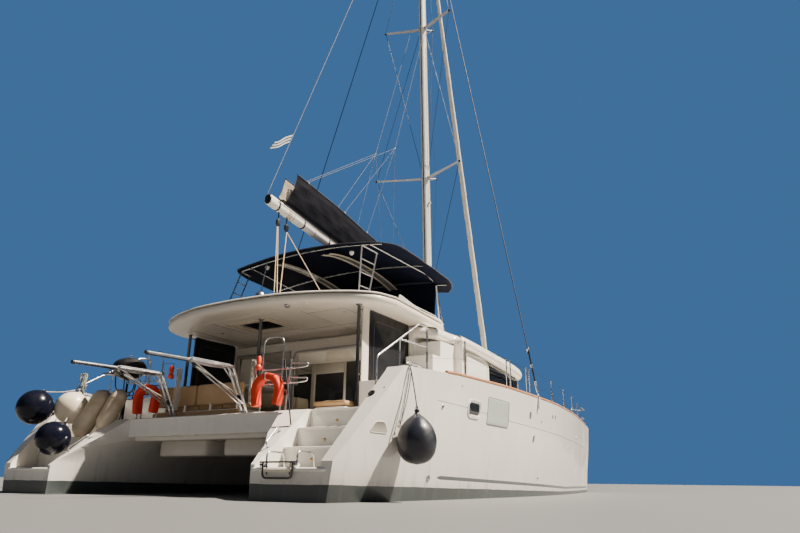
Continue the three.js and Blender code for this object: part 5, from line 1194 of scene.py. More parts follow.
def hardtop():
    """Two mouldings that meet in a shadow gap: a deck with a rounded lip, and a bullnose with the
    panelled ceiling."""
    plan = roof_plan()
    top = [(None, 3.24), (None, 3.27), (0.35, 3.27), (0.10, 3.269), (0.05, 3.267), (0.022, 3.262),
           (0.006, 3.254), (0.0, 3.245), (0.004, 3.238), (0.03, 3.236), (0.2, 3.236)]
    Shape().grid(around_light(plan, top), wrap=True, loop=True).make("hardtop_deck", "gelcoat",
                                                                     replaces=("hardtop",))
    under = [(None, 3.216), (0.2, 3.216), (0.045, 3.216), (0.028, 3.212), (0.012, 3.198), (0.003, 3.175),
             (0.003, 3.145), (0.012, 3.112), (0.032, 3.087), (0.065, 3.070), (0.11, 3.060), (0.17, 3.054),
             (0.24, 3.051), (0.46, 3.051), (0.468, 3.060), (0.476, 3.060), (0.484, 3.051), (0.60, 3.051),
             (None, 3.051)]
    # The lining's beige-grey tone is painted shade and bounce light
    Shape().grid(around_light(plan, under), wrap=True, loop=True).make("hardtop_lining", "under")
    pads = Shape()
    for low, high in (((-3.02, -1.62), (-0.64, 1.62)), ((-4.98, -1.9), (-4.78, 1.9))):
        pads.block([*low, 3.2701], [*high, 3.273], 0.001, 0.1)
    pads.make("hardtop_nonskid", "tread")
    seams = Shape()
    for y in (-1.85, -1.06, 1.06, 1.85):
        seams.tube([(-4.72 if abs(y) > 1.5 else -4.9, y, 3.0505), (-3.12, y, 3.0505)], 0.004, 6)
    for x, half in ((-4.72, 1.85), (-3.72, 1.85)):
        seams.tube([(x, -half, 3.0505), (x, -0.14 if x > -4 else -half + 0.8, 3.0505)], 0.004, 6)
    seams.make("ceiling_seams", "groove")
    frame_ = Shape()
    for grow, z, r in ((0.34, 3.050, 0.012), (0.16, 3.046, 0.022), (0.02, 3.055, 0.014)):
        o = rectangle(LIGHT_SIZE[0] + grow, LIGHT_SIZE[1] + grow, 0.05) + LIGHT_AT
        frame_.ring(column_stack([o, full(len(o), z)]), r, 10, up=Z)
    frame_.make("skylight_border", "beige_mould")
    o = rectangle(LIGHT_SIZE[0] - 0.004, LIGHT_SIZE[1] - 0.004, 0.04) + LIGHT_AT
    inner = rectangle(LIGHT_SIZE[0] - 0.07, LIGHT_SIZE[1] - 0.07, 0.03) + LIGHT_AT
    ring = [column_stack([q, full(len(q), z)]) for q, z in ((o, 3.075), (o, 3.262), (inner, 3.262),
                                                            (inner, 3.24), (inner, 3.075))]
    Shape().grid(stack(ring), wrap=True, loop=True).make("skylight_frame", "black")
    Shape().slab(rectangle(0.70, 0.86, 0.06), 0.018, [*LIGHT_AT, 3.2705],
                 0.006).make("skylight_pane", "glass")
    lamps, lenses = Shape(), Shape()
    for x, y in ((-4.34, -1.06), (-4.49, -1.71), (-3.20, -0.12), (-4.2, 1.5), (-3.4, 1.2), (-3.5, -1.4)):
        lamps.lathe([(0, 0.002), (0.036, 0.002), (0.036, -0.004), (0.026, -0.008), (0, -0.004)],
                    [x, y, 3.051])
    lamps.lathe([(0, 0.0), (0.05, 0.0), (0.05, 0.012), (0.038, 0.03), (0.018, 0.036), (0, 0.036)],
                [-5.30, -1.09, 3.056], (-0.2, -0.05, -0.98), 28)
    lamps.make("ceiling_lamps", "steel")
    lenses.lathe([(0, 0.0), (0.04, 0.0), (0.036, 0.014), (0, 0.02)], [-5.22, -1.45, 3.066],
                 (-0.3, -0.12, -0.93))
    for k in range(3):
        lenses.lathe([(0, 0.0), (0.018, 0.0), (0.014, -0.008), (0, -0.01)],
                     [-4.86 + 0.07 * k, 0.98 - 0.1 * k, 3.051], sides=16)
    lenses.make("ceiling_lenses", "lamp")
    dome = Shape().lathe([(0, 0), (0.085, 0), (0.085, 0.02), (0.072, 0.055), (0.045, 0.082), (0.018, 0.092),
                          (0, 0.093)], [-5.36, -0.52, 3.2695], sides=28)
    dome.tube([(-5.502, -0.80, 3.165), (-5.514, -0.86, 3.165), (-5.514, -0.98, 3.168), (-5.49, -1.04, 3.168)],
              0.008, 8)
    dome.make("roof_edge_fittings", "steel")


def post(shape, x, y, high):
    """A round post from the cockpit's floor, with a flange at each end."""
    low, radius = AT_SOLE, 0.03
    h = high - low
    shape.lathe([(0, 0), (0.07, 0), (0.07, 0.006), (radius + 0.008, 0.016), (radius, 0.03),
                 (radius, h - 0.03), (radius + 0.008, h - 0.016), (0.06, h - 0.006), (0.06, h), (0, h)], [x,
                 y, low], sides=28)


def cockpit_sides():
    """A post and a framed tinted screen at each side of the cockpit, and the middle post."""
    lone = Shape()
    # The posts and screen frames are near-black steel: painted dark reflection
    post(lone, -4.76, -0.03, 3.056)
    lone.make("post_middle", "enamel", replaces=("roof_post_middle",))
    for side, s in SIDES.items():
        x, y = (-4.40 if s > 0 else -4.77), s * 2.205
        bars = Shape()
        post(bars, x, y, 3.060)
        for z in (1.90, 2.99):
            bars.tube([(x, y, z), (x + 0.16, y, z)], 0.012, 12)
        xs, zs = (x + (0.32 if s < 0 else 0.13), -3.1005), (1.50, 3.0495)
        middle, size = (sum(xs) / 2, sum(zs) / 2), (xs[1] - xs[0], zs[1] - zs[0])
        o = rectangle(size[0] - 0.03, size[1] - 0.03, 0.05) + middle
        bars.ring(xyz(o[:, 0], y, o[:, 1]), 0.0135, 10, up=Y)
        bars.make("cockpit_post_" + side, "enamel", replaces=("side_screen_" + side,))
        pane = Shape().slab(rectangle(size[0] - 0.04, size[1] - 0.04, 0.045) + middle, 0.012,
                            [0, y + 0.006, 0], 0.002, X, Z)
        pane.make("side_pane_" + side, "screen")
        if s < 0:
            jamb = Shape().block([-4.665, y - 0.012, ON_SOLE], [-4.46, y + 0.012, 3.0495], 0.005)
            # The jamb takes the underside finish: painted shade
            jamb.make("screen_jamb_" + side, "under")
        trim = Shape()
        wide, tall = size[0] - 0.30, size[1] - 0.34
        o = rectangle(wide, tall, 0.12) + middle
        for at in (y - 0.0075, y + 0.0075):
            trim.ring(xyz(o[:, 0], at, o[:, 1]), 0.003, 6, up=Y)
        trim.make("side_pane_trim_" + side, "groove")


hardtop()
cockpit_sides()
shell("flybridge_coaming", "gelcoat", bevel=0.035)


def flybridge():
    """Seat boxes with crowned cushions, the helm console with its instruments, and the wheel's round rim
    and spokes."""
    base = Shape()
    base.block([-3.84, -1.26, ON_FLY], [-3.06, 1.26, 3.56], 0.03, 0.08)
    base.block([-3.05, 1.07, ON_FLY], [-1.71, 1.68, 3.56], 0.03, 0.08)
    base.make("flybridge_seat_boxes", "gelcoat", replaces=("flybridge_seats",))
    soft = Shape()
    for y in (-1.27, -0.42, 0.43):
        soft.pillow([-3.85, y, 3.555], [-3.05, y + 0.84, 3.67], 0.14, 0.42, 0.28)
    for x in (-3.04, -2.37):
        soft.pillow([x, 1.07, 3.555], [x + 0.66, 1.685, 3.67], 0.14, 0.42, 0.28)
    soft.pillow([-2.30, -1.35, 3.82], [-1.78, -0.55, 3.92], 0.16, 0.42, 0.2)
    soft.make("flybridge_cushions", "navy_vinyl", sharp=80)
    stool = Shape().block([-2.28, -1.25, ON_FLY], [-1.82, -0.65, 3.825], 0.04, 0.1)
    stool.make("helm_seat_pedestal", "gelcoat")
    shell("helm_console", "gelcoat", bevel=0.02)
    dash = Shape()
    tilt = unit(array([-0.625, 0, 0.78]))
    e1, e2 = array([0, 1.0, 0]), cross(tilt, [0, 1.0, 0])
    for y, z, w_, h in ((-1.10, 4.11, 0.30, 0.15), (-0.72, 4.11, 0.26, 0.15), (-0.5, 4.12, 0.06, 0.12)):
        at = array([-0.86 - (4.17 - z) * 1.2, y, z])
        dash.slab(rectangle(w_, h, 0.015), 0.012, at + tilt * 0.035, 0.003, e1, -e2)
    dash.make("helm_displays", "screen_black")
    lever = Shape()
    for y in (-0.50, -0.54):
        lever.tube([(-1.0, y, 3.95), (-1.05, y, 4.02), (-1.06, y, 4.09)], 0.008)
        lever.lathe([(0, -0.014), (0.012, -0.012), (0.016, 0), (0.012, 0.012), (0, 0.014)],
                    [-1.06, y, 4.095], Y, 14)
    lever.make("throttle_levers", "steel")
    hub = array([-1.085, -0.9, 3.91])
    a = angles(96)
    wheel = Shape().ring(hub + 0.33 * xyz(0, cos(a), sin(a)), 0.0155, 14)
    wheel.make("wheel_rim", "grip", body="steering_wheel")
    spokes = Shape()
    for k in range(3):
        angle = 2 * pi * k / 3
        way = array([0, -sin(angle), cos(angle)])
        r = linspace(0.02, 0.322, 14)[:, None]
        spokes.tube(hub + way * r + array([0.012, 0, 0]) * (1 - (r / 0.322) ** 2),
                    0.007 + 0.003 * (1 - r[:, 0] / 0.322))
    spokes.lathe([(0, -0.02), (0.04, -0.02), (0.045, -0.012), (0.045, 0.012), (0.02, 0.022), (0.018, 0.03),
                  (0.018, 0.079), (0, 0.079)], hub, X, 32)
    spokes.make("wheel_spokes", "steel", body="steering_wheel", replaces=("steering_wheel",))


def roof_place(row, across):
    """A place on the bimini: crown to edge with the square of the way across, its ends dropped by the
    sixth power."""
    row, across = np.broadcast_arrays(asarray(row, float), asarray(across, float))
    x = -3.70 + 3.24 * row
    end = np.abs(2 * row - 1) ** 6
    z = 4.85 + (4.69 - 4.85) * across**2 - 0.05 * end - 0.055 * (x + 3.70)
    return xyz(x, (2.1 - 0.33 * end) * across, z)


BOWS = (0.06, 0.50, 0.88)


def border(p):
    """The edge of a grid of points as one closed run."""
    return concatenate([p[0], p[1:, -1], p[-1, -2::-1], p[-2:0:-1, 0]])


def bimini():
    """The canvas as one curved sheet that sinks a little between its bows, with a rolled hem and sewn seams,
    on round bows, rails, ladder-like aft supports and forward legs."""
    rows, across = linspace(0, 1, 73), sin(linspace(-pi / 2, pi / 2, 65))
    r, a = meshgrid(rows, across, indexing="ij")
    p = roof_place(r, a)
    gaps = array([0.0, *BOWS, 1.0])
    k = clip(np.searchsorted(gaps, rows, side="right") - 1, 0, 3)
    t = (rows - gaps[k]) / (gaps[k + 1] - gaps[k])
    sink = 0.022 * sin(pi * t) ** 2 * array([0.0, 1.0, 0.9, 0.2])[k]
    p[..., 2] -= 0.028 + sink[:, None] * (1 - a**4)
    flutter = 0.004 * sin(p[..., 0] * 9 + 3 * sin(p[..., 1] * 2)) * np.abs(a) ** 3
    p[..., 2] -= flutter
    sheet = Shape().grid(p).make("bimini_canvas", "navy", solid=-0.004, replaces=("bimini",))
    Shape().ring(border(p) - [0, 0, 0.004], 0.009).make("bimini_hem", "navy_band")
    bars, bands, lace, strip = Shape(), Shape(), Shape(), Shape()
    low = array([0, 0, 0.0508])
    spread = linspace(-0.94, 0.94, 41)
    for row in BOWS:
        bars.tube(roof_place(row, spread) - low, 0.015, 12)
    rows_ = linspace(0.045, 0.90, 61)
    bow_ = (2 * linspace(0, 1, 61)[:, None] - 1) ** 2 * [0, 0, 0.13]
    for middle in (0.36, -0.28):
        arch = roof_place(rows_, middle) - [0, 0, 0.062] - bow_
        for d in (-0.085, 0.085):
            bands.tube(arch + [0, d, 0], 0.017)
        strip.grid(arch[:, None] + linspace(-0.078, 0.078, 9)[None, :, None] * Y)
        zig = even(arch, 150)
        shift = np.where(np.arange(150) % 2 == 0, 0.030, -0.030)[:, None]
        lace.tube(zig + [0, 0.105, 0.004] + shift * Y, 0.005, 6)
    feet, ladder = Shape(), Shape()

    def foot(x, y):
        feet.lathe([(0, 0), (0.045, 0), (0.045, 0.005), (0.022, 0.014), (0.018, 0.05), (0, 0.05)],
                   [x, y, ON_FLY], sides=20)
        return array([x, y, FLY + 0.012])

    for s, reach, at, wide in ((-1, -0.7, (-3.588, -3.391), 0.35), (1, 0.94, (-4.02, -3.74), 0.2)):
        heads = roof_place(array(BOWS), s * 0.8) - low
        bars.tube(spline(np.insert(heads, 2, heads[1:].mean(0) + [0, s * 0.06, 0.02], 0), 40), 0.015, 12)
        h0, h1 = roof_place(BOWS[0], reach) - low, roof_place(BOWS[1], reach) - low
        tops = [h0 - [0, 0, 0.004], h0 + wide * (h1 - h0) - [0, 0, 0.004]]
        ends = [foot(x, top[1]) for x, top in zip(at, tops)]
        steps = ladder if s < 0 else bars
        for top, end in zip(tops, ends):
            steps.tube([top, end], 0.015, 12)
        for i in range(1, 5):
            steps.tube([top + (end - top) * i / 5 for top, end in zip(tops, ends)], 0.011)
        steps.tube(tops, 0.015, 12)
        bars.tube([heads[2], foot(-0.64, s * 1.77)], 0.015, 12)
        for head in (*heads, *tops):
            bars.lathe([(0, -0.02), (0.021, -0.02), (0.023, -0.012), (0.023, 0.012), (0.021, 0.02),
                        (0, 0.02)], head, X, 14)
    bars.tube(bent([(-3.55, 1.05, 4.72), (-3.60, 1.10, 4.2), (-3.66, 1.16, FLY + 0.02)], 0.3), 0.012, 12)
    foot(-3.66, 1.16)
    ladder.make("bimini_ladder", "bright")
    bars.make("bimini_bars", "steel", replaces=("bimini_frame",))
    feet.make("bimini_feet", "satin")
    bands.make("bimini_arches", "beige_mould", slot="steel")
    strip.make("bimini_clear_strips", "clear_strip", solid=0.002)
    lace.make("bimini_lacing", "rope")
    lamps = Shape()
    for row, a_, s_ in ((0.12, 0.62, 0.05), (0.17, -0.42, 0.05)):
        at = roof_place(row, a_) - [0, 0, 0.05]
        lamps.lathe([(0, 0.0), (s_, 0.0), (s_, -0.02), (s_ * 0.8, -0.05), (s_ * 0.4, -0.07), (0, -0.072)], at)
    lamps.make("bimini_lamps", "lamp")


def weather_cloth():
    """A dark cloth across the flybridge's front between the forward legs, and thin white rails along the
    coaming."""
    u, v = meshgrid(linspace(-1, 1, 61), linspace(0, 1, 25), indexing="ij")
    head = roof_place(0.86, 0.80 * u)[..., 2] - 0.06
    p = xyz(-1.05 + 0.10 * v + 0.02 * sin(8 * u + 2 * v) * sin(pi * v), 1.71 * u, 3.715 + (head - 3.715) * v)
    piece = Shape().grid(p).make("weather_cloth", "navy", solid=0.002)
    rails = Shape()
    for s in (-1, 1):
        rails.tube([(-0.90, s * 1.735, 3.702), (-1.02, s * 1.735, 4.45)], 0.015, 12)
        rails.tube([(-0.98, s * 1.72, 3.702), (-1.05, s * 1.72, 3.745), (-2.40, s * 1.74, 3.745),
                    (-2.47, s * 1.74, 3.702)], 0.008, 8)
    rails.tube([(-1.05, -1.72, 3.712), (-1.05, 1.72, 3.712)], 0.010)
    rails.make("coaming_rails", "white_rail")
    screen = Shape()
    for s in (-1, 1):
        o = [(-2.62, 3.72), (-1.66, 3.702), (-1.60, 3.715), (-2.55, 3.86), (-2.61, 3.84)]
        screen.slab(bent([*o, o[0]], 0.03)[:-1], 0.008, [0, s * 1.70 + 0.004, 0], 0.002, X, Z)
    screen.make("flybridge_windscreens", "pale")


flybridge()
bimini()
weather_cloth()

# MAST, BOOM AND STANDING RIGGING
def mast():
    """An elliptical mast with its sail slot, tapered spreaders, forward struts, diamond wires and
    masthead gear."""
    heights = array([1.8005, 4.4, 9.0, 14.0, 18.65, 20.6])
    along, across = (interp(heights, [1.8, 18.65, 20.6], half) for half in ([0.15, 0.14, 0.09],
                                                                            [0.10, 0.095, 0.06]))
    a = angles(64)
    notch = 1 - 0.22 * exp(-((a - pi) / 0.10) ** 2)
    rings = stack([xyz(mast_x(z) + u * cos(a) * notch, v * sin(a), z) for z, u,
                   v in zip(heights, along, across)])
    Shape().loft(rings).make("mast_tube", "spar", replaces=("mast",))
    arms, tips, wires = Shape(), Shape(), Shape()
    for z, sweep, reach in ((8.72, 0.55, 1.36), (13.90, 0.40, 1.13)):
        root = array([mast_x(z), 0, z])
        for s in (-1, 1):
            tip = root + [-sweep, s * reach, 0]
            t = linspace(0.04, 1, 16)[:, None]
            arms.tube(root + (tip - root) * t, 0.075 - 0.030 * t[:, 0], 20, 0.22, up=Z)
            tips.lathe([(0, -0.03), (0.030, -0.03), (0.036, -0.01), (0.036, 0.012), (0.02, 0.03), (0, 0.03)],
                       tip, sides=18)
            strut = root + [0.33, s * 0.19, 0.11]
            arms.tube([root + [0.05, s * 0.06, 0.02], strut], 0.016, 12)
            tips.lathe([(0, -0.03), (0.024, -0.025), (0.030, 0), (0.024, 0.025), (0, 0.03)], strut, sides=14)
            low, high = (5.2, 13.75) if z < 10 else (8.95, 19.6)
            for end in (low, high):
                wires.tube([tip, (mast_x(end) - 0.02, s * 0.095, end)], 0.0065, 8)
                wires.tube([strut, (mast_x(end) + 0.12, s * 0.05, end)], 0.005, 8)
        arms.tube([root + [0.33, -0.2, 0.11], root + [0.33, 0.2, 0.11]], 0.016, 12)
        collar = stack([root + [0.152 * cos(k), 0.103 * sin(k), 0] for k in a])
        arms.ring(collar, 0.012, up=Z)
    arms.make("spreaders", "spreader")
    tips.make("spreader_tips", "black")
    wires.make("diamond_wires", "wire")
    x = mast_x(20.15)
    head, crown = Shape(), mast_x(20.6)
    head.slab([(-0.29, 0), (0.27, 0), (0.27, 0.03), (0.05, 0.06), (-0.29, 0.06)], 0.05,
              [crown, 0.025, 20.54], 0.004, X, Z)
    head.slab(rectangle(0.24, 0.04, 0.015), 0.04, [x + 0.10, 0.02, 20.163], 0.004, X, Z)
    head.tube([(x, -0.13, 20.15), (x, 0.13, 20.15)], 0.018, 12)
    head.tube([(crown - 0.2, 0.0, 20.6), (crown - 0.2, 0, 20.98)], 0.004, 8)
    head.tube(bent([(crown + 0.2, 0, 20.59), (crown + 0.2, 0, 20.78), (crown + 0.42, 0, 20.82)], 0.05),
              0.006, 8)
    head.make("masthead_gear", "satin", slot="alloy")
    vane = Shape()
    vane.lathe([(0, 0), (0.022, 0), (0.022, 0.05), (0.012, 0.06), (0, 0.06)],
               [crown + 0.42, 0, 20.80], sides=16)
    for k in range(3):
        t = 2 * pi * k / 3
        vane.lathe([(0, -0.02), (0.014, -0.012), (0.018, 0.01), (0, 0.006)],
                   [crown + 0.42 + 0.06 * cos(t), 0.06 * sin(t), 20.80], sides=12)
    vane.lathe([(0, 0), (0.03, 0), (0.03, 0.07), (0.02, 0.085), (0, 0.09)], [crown, 0, 20.6], sides=18)
    vane.make("masthead_instruments", "black")
    lamp = Shape().lathe([(0, 0), (0.035, 0), (0.04, 0.03), (0.03, 0.07), (0, 0.08)],
                         [mast_x(9.9) + 0.18, 0, 9.86], sides=18)
    lamp.lathe([(0, 0), (0.03, 0), (0.034, 0.06), (0, 0.07)], [mast_x(7.9) - 0.02, -0.13, 7.9], sides=18)
    lamp.make("mast_lamps", "lamp")
    gear = Shape()
    for z in (GOOSENECK[2] + 0.0905, GOOSENECK[2] - 0.09):
        gear.slab(rectangle(0.24, 0.07, 0.02), 0.0195, [mast_x(GOOSENECK[2]) - 0.12, 0, z], 0.003)
    for z, y in ((2.62, -0.10), (2.62, 0.10), (3.0, 0.10)):
        s = sign(y)
        gear.lathe([(0, 0), (0.062, 0), (0.062, 0.02), (0.040, 0.035), (0.036, 0.07), (0.050, 0.095),
                    (0.044, 0.11), (0, 0.11)], [mast_x(z), y, z], (0, s, 0))
    gear.lathe([(0, 0), (0.26, 0), (0.26, 0.008), (0.20, 0.02), (0.155, 0.05), (0, 0.05)],
               [mast_x(1.8), 0, 1.8005], sides=36)
    for z in (2.2, 2.35):
        cleat(gear, [mast_x(z) - 0.16, 0.0, z], pi / 2, 0.16)
    gear.make("mast_fittings", "steel")
    lines = Shape()
    for s, dx, top in ((-1, -0.05, 13.2), (1, -0.04, 20.1), (-1, 0.05, 20.0), (1, 0.06, 13.0)):
        lines.tube([(mast_x(2.7) + dx, s * 0.115, 2.7), (mast_x(top) + dx * 0.5, s * 0.10, top)], 0.005, 8)
    lines.make("halyards", "rope")
    track = Shape().tube([(mast_x(4.95) - 0.135, 0, 4.95), (mast_x(18.6) - 0.125, 0, 18.6),
                          (mast_x(20.2) - 0.09, 0, 20.2)], 0.014, 8)
    track.make("sail_track", "black")


def shrouds():
    """Cap shrouds in wire, each with a turnbuckle, a dark sleeve and three nuts at its foot."""
    nuts = Shape()
    for side, s in SIDES.items():
        low = array([-0.82, s * 3.905, 1.87])
        top = array([mast_x(20.15), s * 0.1, 20.15])
        way = unit(top - low)
        Shape().tube([low + way * 1.05, top - way * 0.012], 0.0105).make("cap_wire_" + side, "wire",
                                                                         replaces=("cap_shroud_" + side,))
        for at, r in ((0.30, 0.026), (0.66, 0.028), (1.02, 0.030)):
            screw_nut = turned([(0, at - 0.03), (r * 0.8, at - 0.03), (r, at), (r * 0.8, at + 0.03),
                                (0, at + 0.03)], 18, low, way)
            nuts.grid(screw_nut, wrap=True)
        screw = Shape()
        screw.lathe([(0, 0.0), (0.020, 0.0), (0.024, 0.02), (0.016, 0.05), (0.012, 0.07), (0.012, 0.11),
                     (0.022, 0.12), (0.022, 0.26), (0.012, 0.27), (0.010, 0.33), (0, 0.33)], low, way, 20)
        screw.slab(rectangle(0.05, 0.10, 0.02), 0.012, low - [0, 0.006, 0.05], 0.003, X, Z)
        screw.make("turnbuckle_" + side, "steel")
        sleeve = Shape().lathe([(0, 0.32), (0.016, 0.32), (0.016, 0.92), (0.022, 0.93), (0.022, 1.07),
                                (0.009, 1.09), (0, 1.09)], low, way, 18)
        sleeve.make("shroud_sleeve_" + side, "matt_black")
    nuts.make("shroud_nuts", "steel")


def genoa():
    """The furled headsail: a spindle round the stay whose rim steps in along a helix like rolled cloth,
    over its drum."""
    foot_, top = array([6.49, 0, 1.76]), array([mast_x(20.15) + 0.15, 0, 20.15])
    way, length = unit(top - foot_), np.linalg.norm(top - foot_)
    profile = array([(0.012, 0.0), (0.014, 0.33), (0.040, 0.48), (0.055, 0.70), (0.085, 3.0),
                     (0.075, length * 0.6), (0.040, length - 0.9), (0.014, length - 0.7)])
    h = linspace(0.50, length - 0.72, 420)
    radius = interp(h, profile[:, 1], profile[:, 0])
    a = angles(40)
    turn = a[None] - 2 * pi * h[:, None] / (0.55 + 0.05 * h[:, None])
    step = (turn / (2 * pi)) % 1.0
    wrinkle = 0.012 * sin(23 * h[:, None] + 3 * sin(2 * a)[None]) * exp(-((h[:, None] - 9.5) / 1.6) ** 2)
    r = radius[:, None] * (0.90 + 0.12 * step + wrinkle)
    e1 = unit(cross(way, Y))
    e2 = cross(way, e1)
    p = foot_ + h[:, None, None] * way + r[..., None] * (cos(a)[None, :,
                                                                None] * e1 + sin(a)[None, :, None] * e2)
    sail = Shape().loft(p).make("headsail_rolled", "sail", replaces=("furled_genoa",), sharp=50)
    stay = Shape()
    stay.lathe([(0, 0.004), (0.014, 0.004), (0.014, 0.33), (0, 0.33)], foot_, way, 16)
    stay.tube([foot_ + way * 0.3, top - way * 0.006], 0.0115, 12)
    stay.lathe([(0, length - 0.70), (0.03, length - 0.70), (0.03, length - 0.55), (0.02, length - 0.53),
                (0, length - 0.53)], foot_, way, 20)
    stay.make("forestay_foil", "satin", slot="alloy")
    drum = Shape().lathe([(0, 0.335), (0.10, 0.335), (0.10, 0.345), (0.055, 0.352), (0.055, 0.448),
                          (0.09, 0.455), (0.09, 0.468), (0, 0.468)], foot_, way, 36)
    drum.make("furling_drum", "black")
    line = Shape()
    for k in range(6):
        line.ring(foot_ + way * (0.362 + 0.015 * k) + turned([(0.061, 0)], 32, (0, 0, 0), way)[0], 0.006,
                  6, up=way)
    line.tube(bent([(6.46, 0.06, 2.15), (6.0, 0.36, 1.86), (3.9, 0.36, 1.84)], 0.2), 0.005, 8)
    line.make("furling_line", "rope")


def on_boom(x, y, up=0.0):
    """A place beside the boom's own axis, which rises going aft."""
    x, y, up = np.broadcast_arrays(asarray(x, float), asarray(y, float), asarray(up, float))
    return GOOSENECK + xyz(x, y, -x * BOOM_RISE + up)


def boom():
    """The boom's rounded section with end cap, straps, lashings, sheaves and blocks; it swings with
    everything on it."""
    x = linspace(-0.06, BOOM_END, 40)
    high = interp(-x, [0.06, 6.48], [0.100, 0.110])
    ring = circle(36, 1.0, 0.82)
    p = stack([on_boom(a, 0.09 * ring[:, 0], b * ring[:, 1]) for a, b in zip(x, high)])
    Shape().loft(p).make("boom_tube", "spar", body="boom", replaces=("boom",))
    joint = Shape()
    joint.slab(rectangle(0.10, 0.10, 0.02), 0.04, on_boom(-0.03, 0.02, 0.002), 0.004, X, Z)
    joint.lathe([(0, -0.07), (0.024, -0.07), (0.024, 0.09), (0, 0.09)], GOOSENECK)
    joint.make("gooseneck_toggle", "steel", body="boom")
    ends = [on_boom(BOOM_END + a, 0.09 * k * ring[:, 0], 0.11 * k * ring[:, 1])
            for a, k in ((0.004, 0.90), (-0.004, 0.90), (-0.012, 0.84), (-0.014, 0.6))]
    Shape().loft(stack(ends)).make("boom_cap", "black", body="boom")
    straps, lashings = Shape(), Shape()
    for shape, wide, places in ((straps, 0.02, (-6.22, -5.42, -4.55, -3.3, -2.0)),
                                (lashings, 0.01, (-5.92, -5.88, -5.84, -5.76, -5.05))):
        for a in places:
            rows = [on_boom(a + d, 0.0945 * ring[:, 0], 0.1145 * ring[:, 1])
                    for d in (-wide, -wide * 0.4, wide * 0.4, wide)]
            inner = [on_boom(a + d, 0.088 * ring[:, 0], 0.108 * ring[:, 1]) for d in (wide, -wide)]
            shape.grid(stack(rows + inner), wrap=True, loop=True)
    straps.make("boom_straps", "black", body="boom")
    lashings.make("boom_lashings", "brown", body="boom")
    blocks, eyes = Shape(), Shape()
    for a in (-6.14, -5.89):
        at = on_boom(a, 0.0, -0.33)
        blocks.slab(rectangle(0.095, 0.15, 0.044), 0.05, at + [0, 0.025, 0], 0.010, X, Z)
        blocks.tube([at + [0, 0, 0.06], on_boom(a, 0, -0.10)], 0.014)
    for a in (-0.7, -2.6, -4.2):
        eyes.tube(on_boom(array([a, a, a - 0.1, a - 0.1]), 0.0, array([-0.09, -0.135, -0.135, -0.09])),
                  0.007, 8)
    blocks.make("sheet_blocks_upper", "black", body="boom")
    eyes.make("boom_eyes", "steel", body="boom")
    reef = Shape()
    for s in (-1, 1):
        reef.tube(on_boom(linspace(-0.3, -6.3, 12), s * 0.094, 0.03), 0.005, 6)
    reef.make("reefing_lines", "rope", body="boom")


BAG_X = array([-0.35, -2.60, -4.70, -5.85])
BAG_HALF, BAG_TOP = array([0.12, 0.19, 0.20, 0.18]), array([0.60, 0.78, 0.85, 0.85])


def sail_bag():
    """The open bag: two cloth sides that hang from their top edges to the boom, each bulging between,
    with the sail folded in layers inside. Side sections go from the boom out to the half width and in
    again at the top; shallow folds come from sines of length that fade towards both edges."""
    u = linspace(0, 1, 150)
    x = -0.35 - 5.50 * u
    half, top = interp(-x, -BAG_X, BAG_HALF), interp(-x, -BAG_X, BAG_TOP)
    v = linspace(0, 1, 44)
    sides = {}
    for name, s in (("starboard", -1), ("port", 1)):
        low = 0.085 - 0.02 * sin(pi * u)
        lean = -interp(u, [0.80, 1.0], [0.0, 1.0])[:, None] * (0.26 * (1 - v)[None] ** 1.3)
        crest = top * (1.0 if s < 0 else 0.97) - 0.012 * (1 - np.abs(sin(3.6 * pi * u)))
        out = interp(v, [0, 0.12, 0.45, 0.8, 1.0], [0.50, 0.72, 0.98, 1.0, 0.88])
        fold = 0.012 * sin(31 * u[:,
                                  None] + 6 * v[None]) + 0.008 * sin(67 * u[:,
                                  None] - 9 * v[None]) + 0.016 * sin(9 * u[:, None] + 2.5 * v[None] + s)
        fade = (sin(pi * v) ** 0.7)[None] * (0.5 + 0.7 * u[:, None] ** 3)
        y = s * (half[:, None] * out[None] - np.abs(fold) * fade * 0.8)
        z = low[:, None] + (crest - low)[:, None] * v[None]
        sag = 0.035 * sin(pi * v)[None] * exp(-((u[:, None] - 0.97) / 0.05) ** 2)
        p = on_boom(x[:, None] + lean, y, z - sag)
        sides[name] = p
        piece = Shape().grid(p, flip=s < 0).make("bag_side_" + name, "bag", body="boom", solid=-0.0025,
                                                 replaces=("lazy_bag",) if s < 0 else ())
    hem, edge = Shape(), Shape()
    for p in sides.values():
        hem.tube(p[:, -1], 0.013, 8)
        edge.tube(p[-1], 0.006, 6)
        edge.tube(p[:, 0], 0.006, 6)
    hem.make("bag_battens", "navy_band", body="boom")
    edge.make("bag_binding", "navy_band", body="boom")
    lining = Shape().grid(sides["port"][96:, 8:-1] + [0, -0.006, 0], flip=True)
    flap = lining.make("bag_lining", "lining", body="boom", solid=-0.001)
    folds = linspace(0, 1, 97)
    level = 0.13 + 0.40 * folds
    wave = sin(folds * 9 * pi)
    near = sign(wave) * np.abs(wave) ** 0.55
    reach = 0.072 + 0.05 * sin(pi * folds)
    uu = linspace(0.0, 1.03, 120)
    xx = -0.42 - 5.35 * uu
    wob = 0.10 * sin(17 * uu[:, None] + 5 * folds[None]) + 0.07 * sin(43 * uu[:, None] + 11 * folds[None])
    narrow = interp(-xx, -BAG_X, BAG_HALF)[:, None] / 0.20
    y = near[None] * reach[None] * narrow * (1 + wob)
    lift = interp(-xx, -BAG_X, BAG_TOP)[:, None] / 0.85
    z = 0.115 + (level - 0.115)[None] * lift * (1 + 0.35 * wob) + 0.01 * cos(near * 1.5)[None]
    end = 0.10 * wave[None] * (uu[:, None] > 0.97)
    sail = Shape().grid(on_boom(xx[:, None] + end, y, z)).make("mainsail_folded", "sail",
                                                               body="boom", sharp=60)


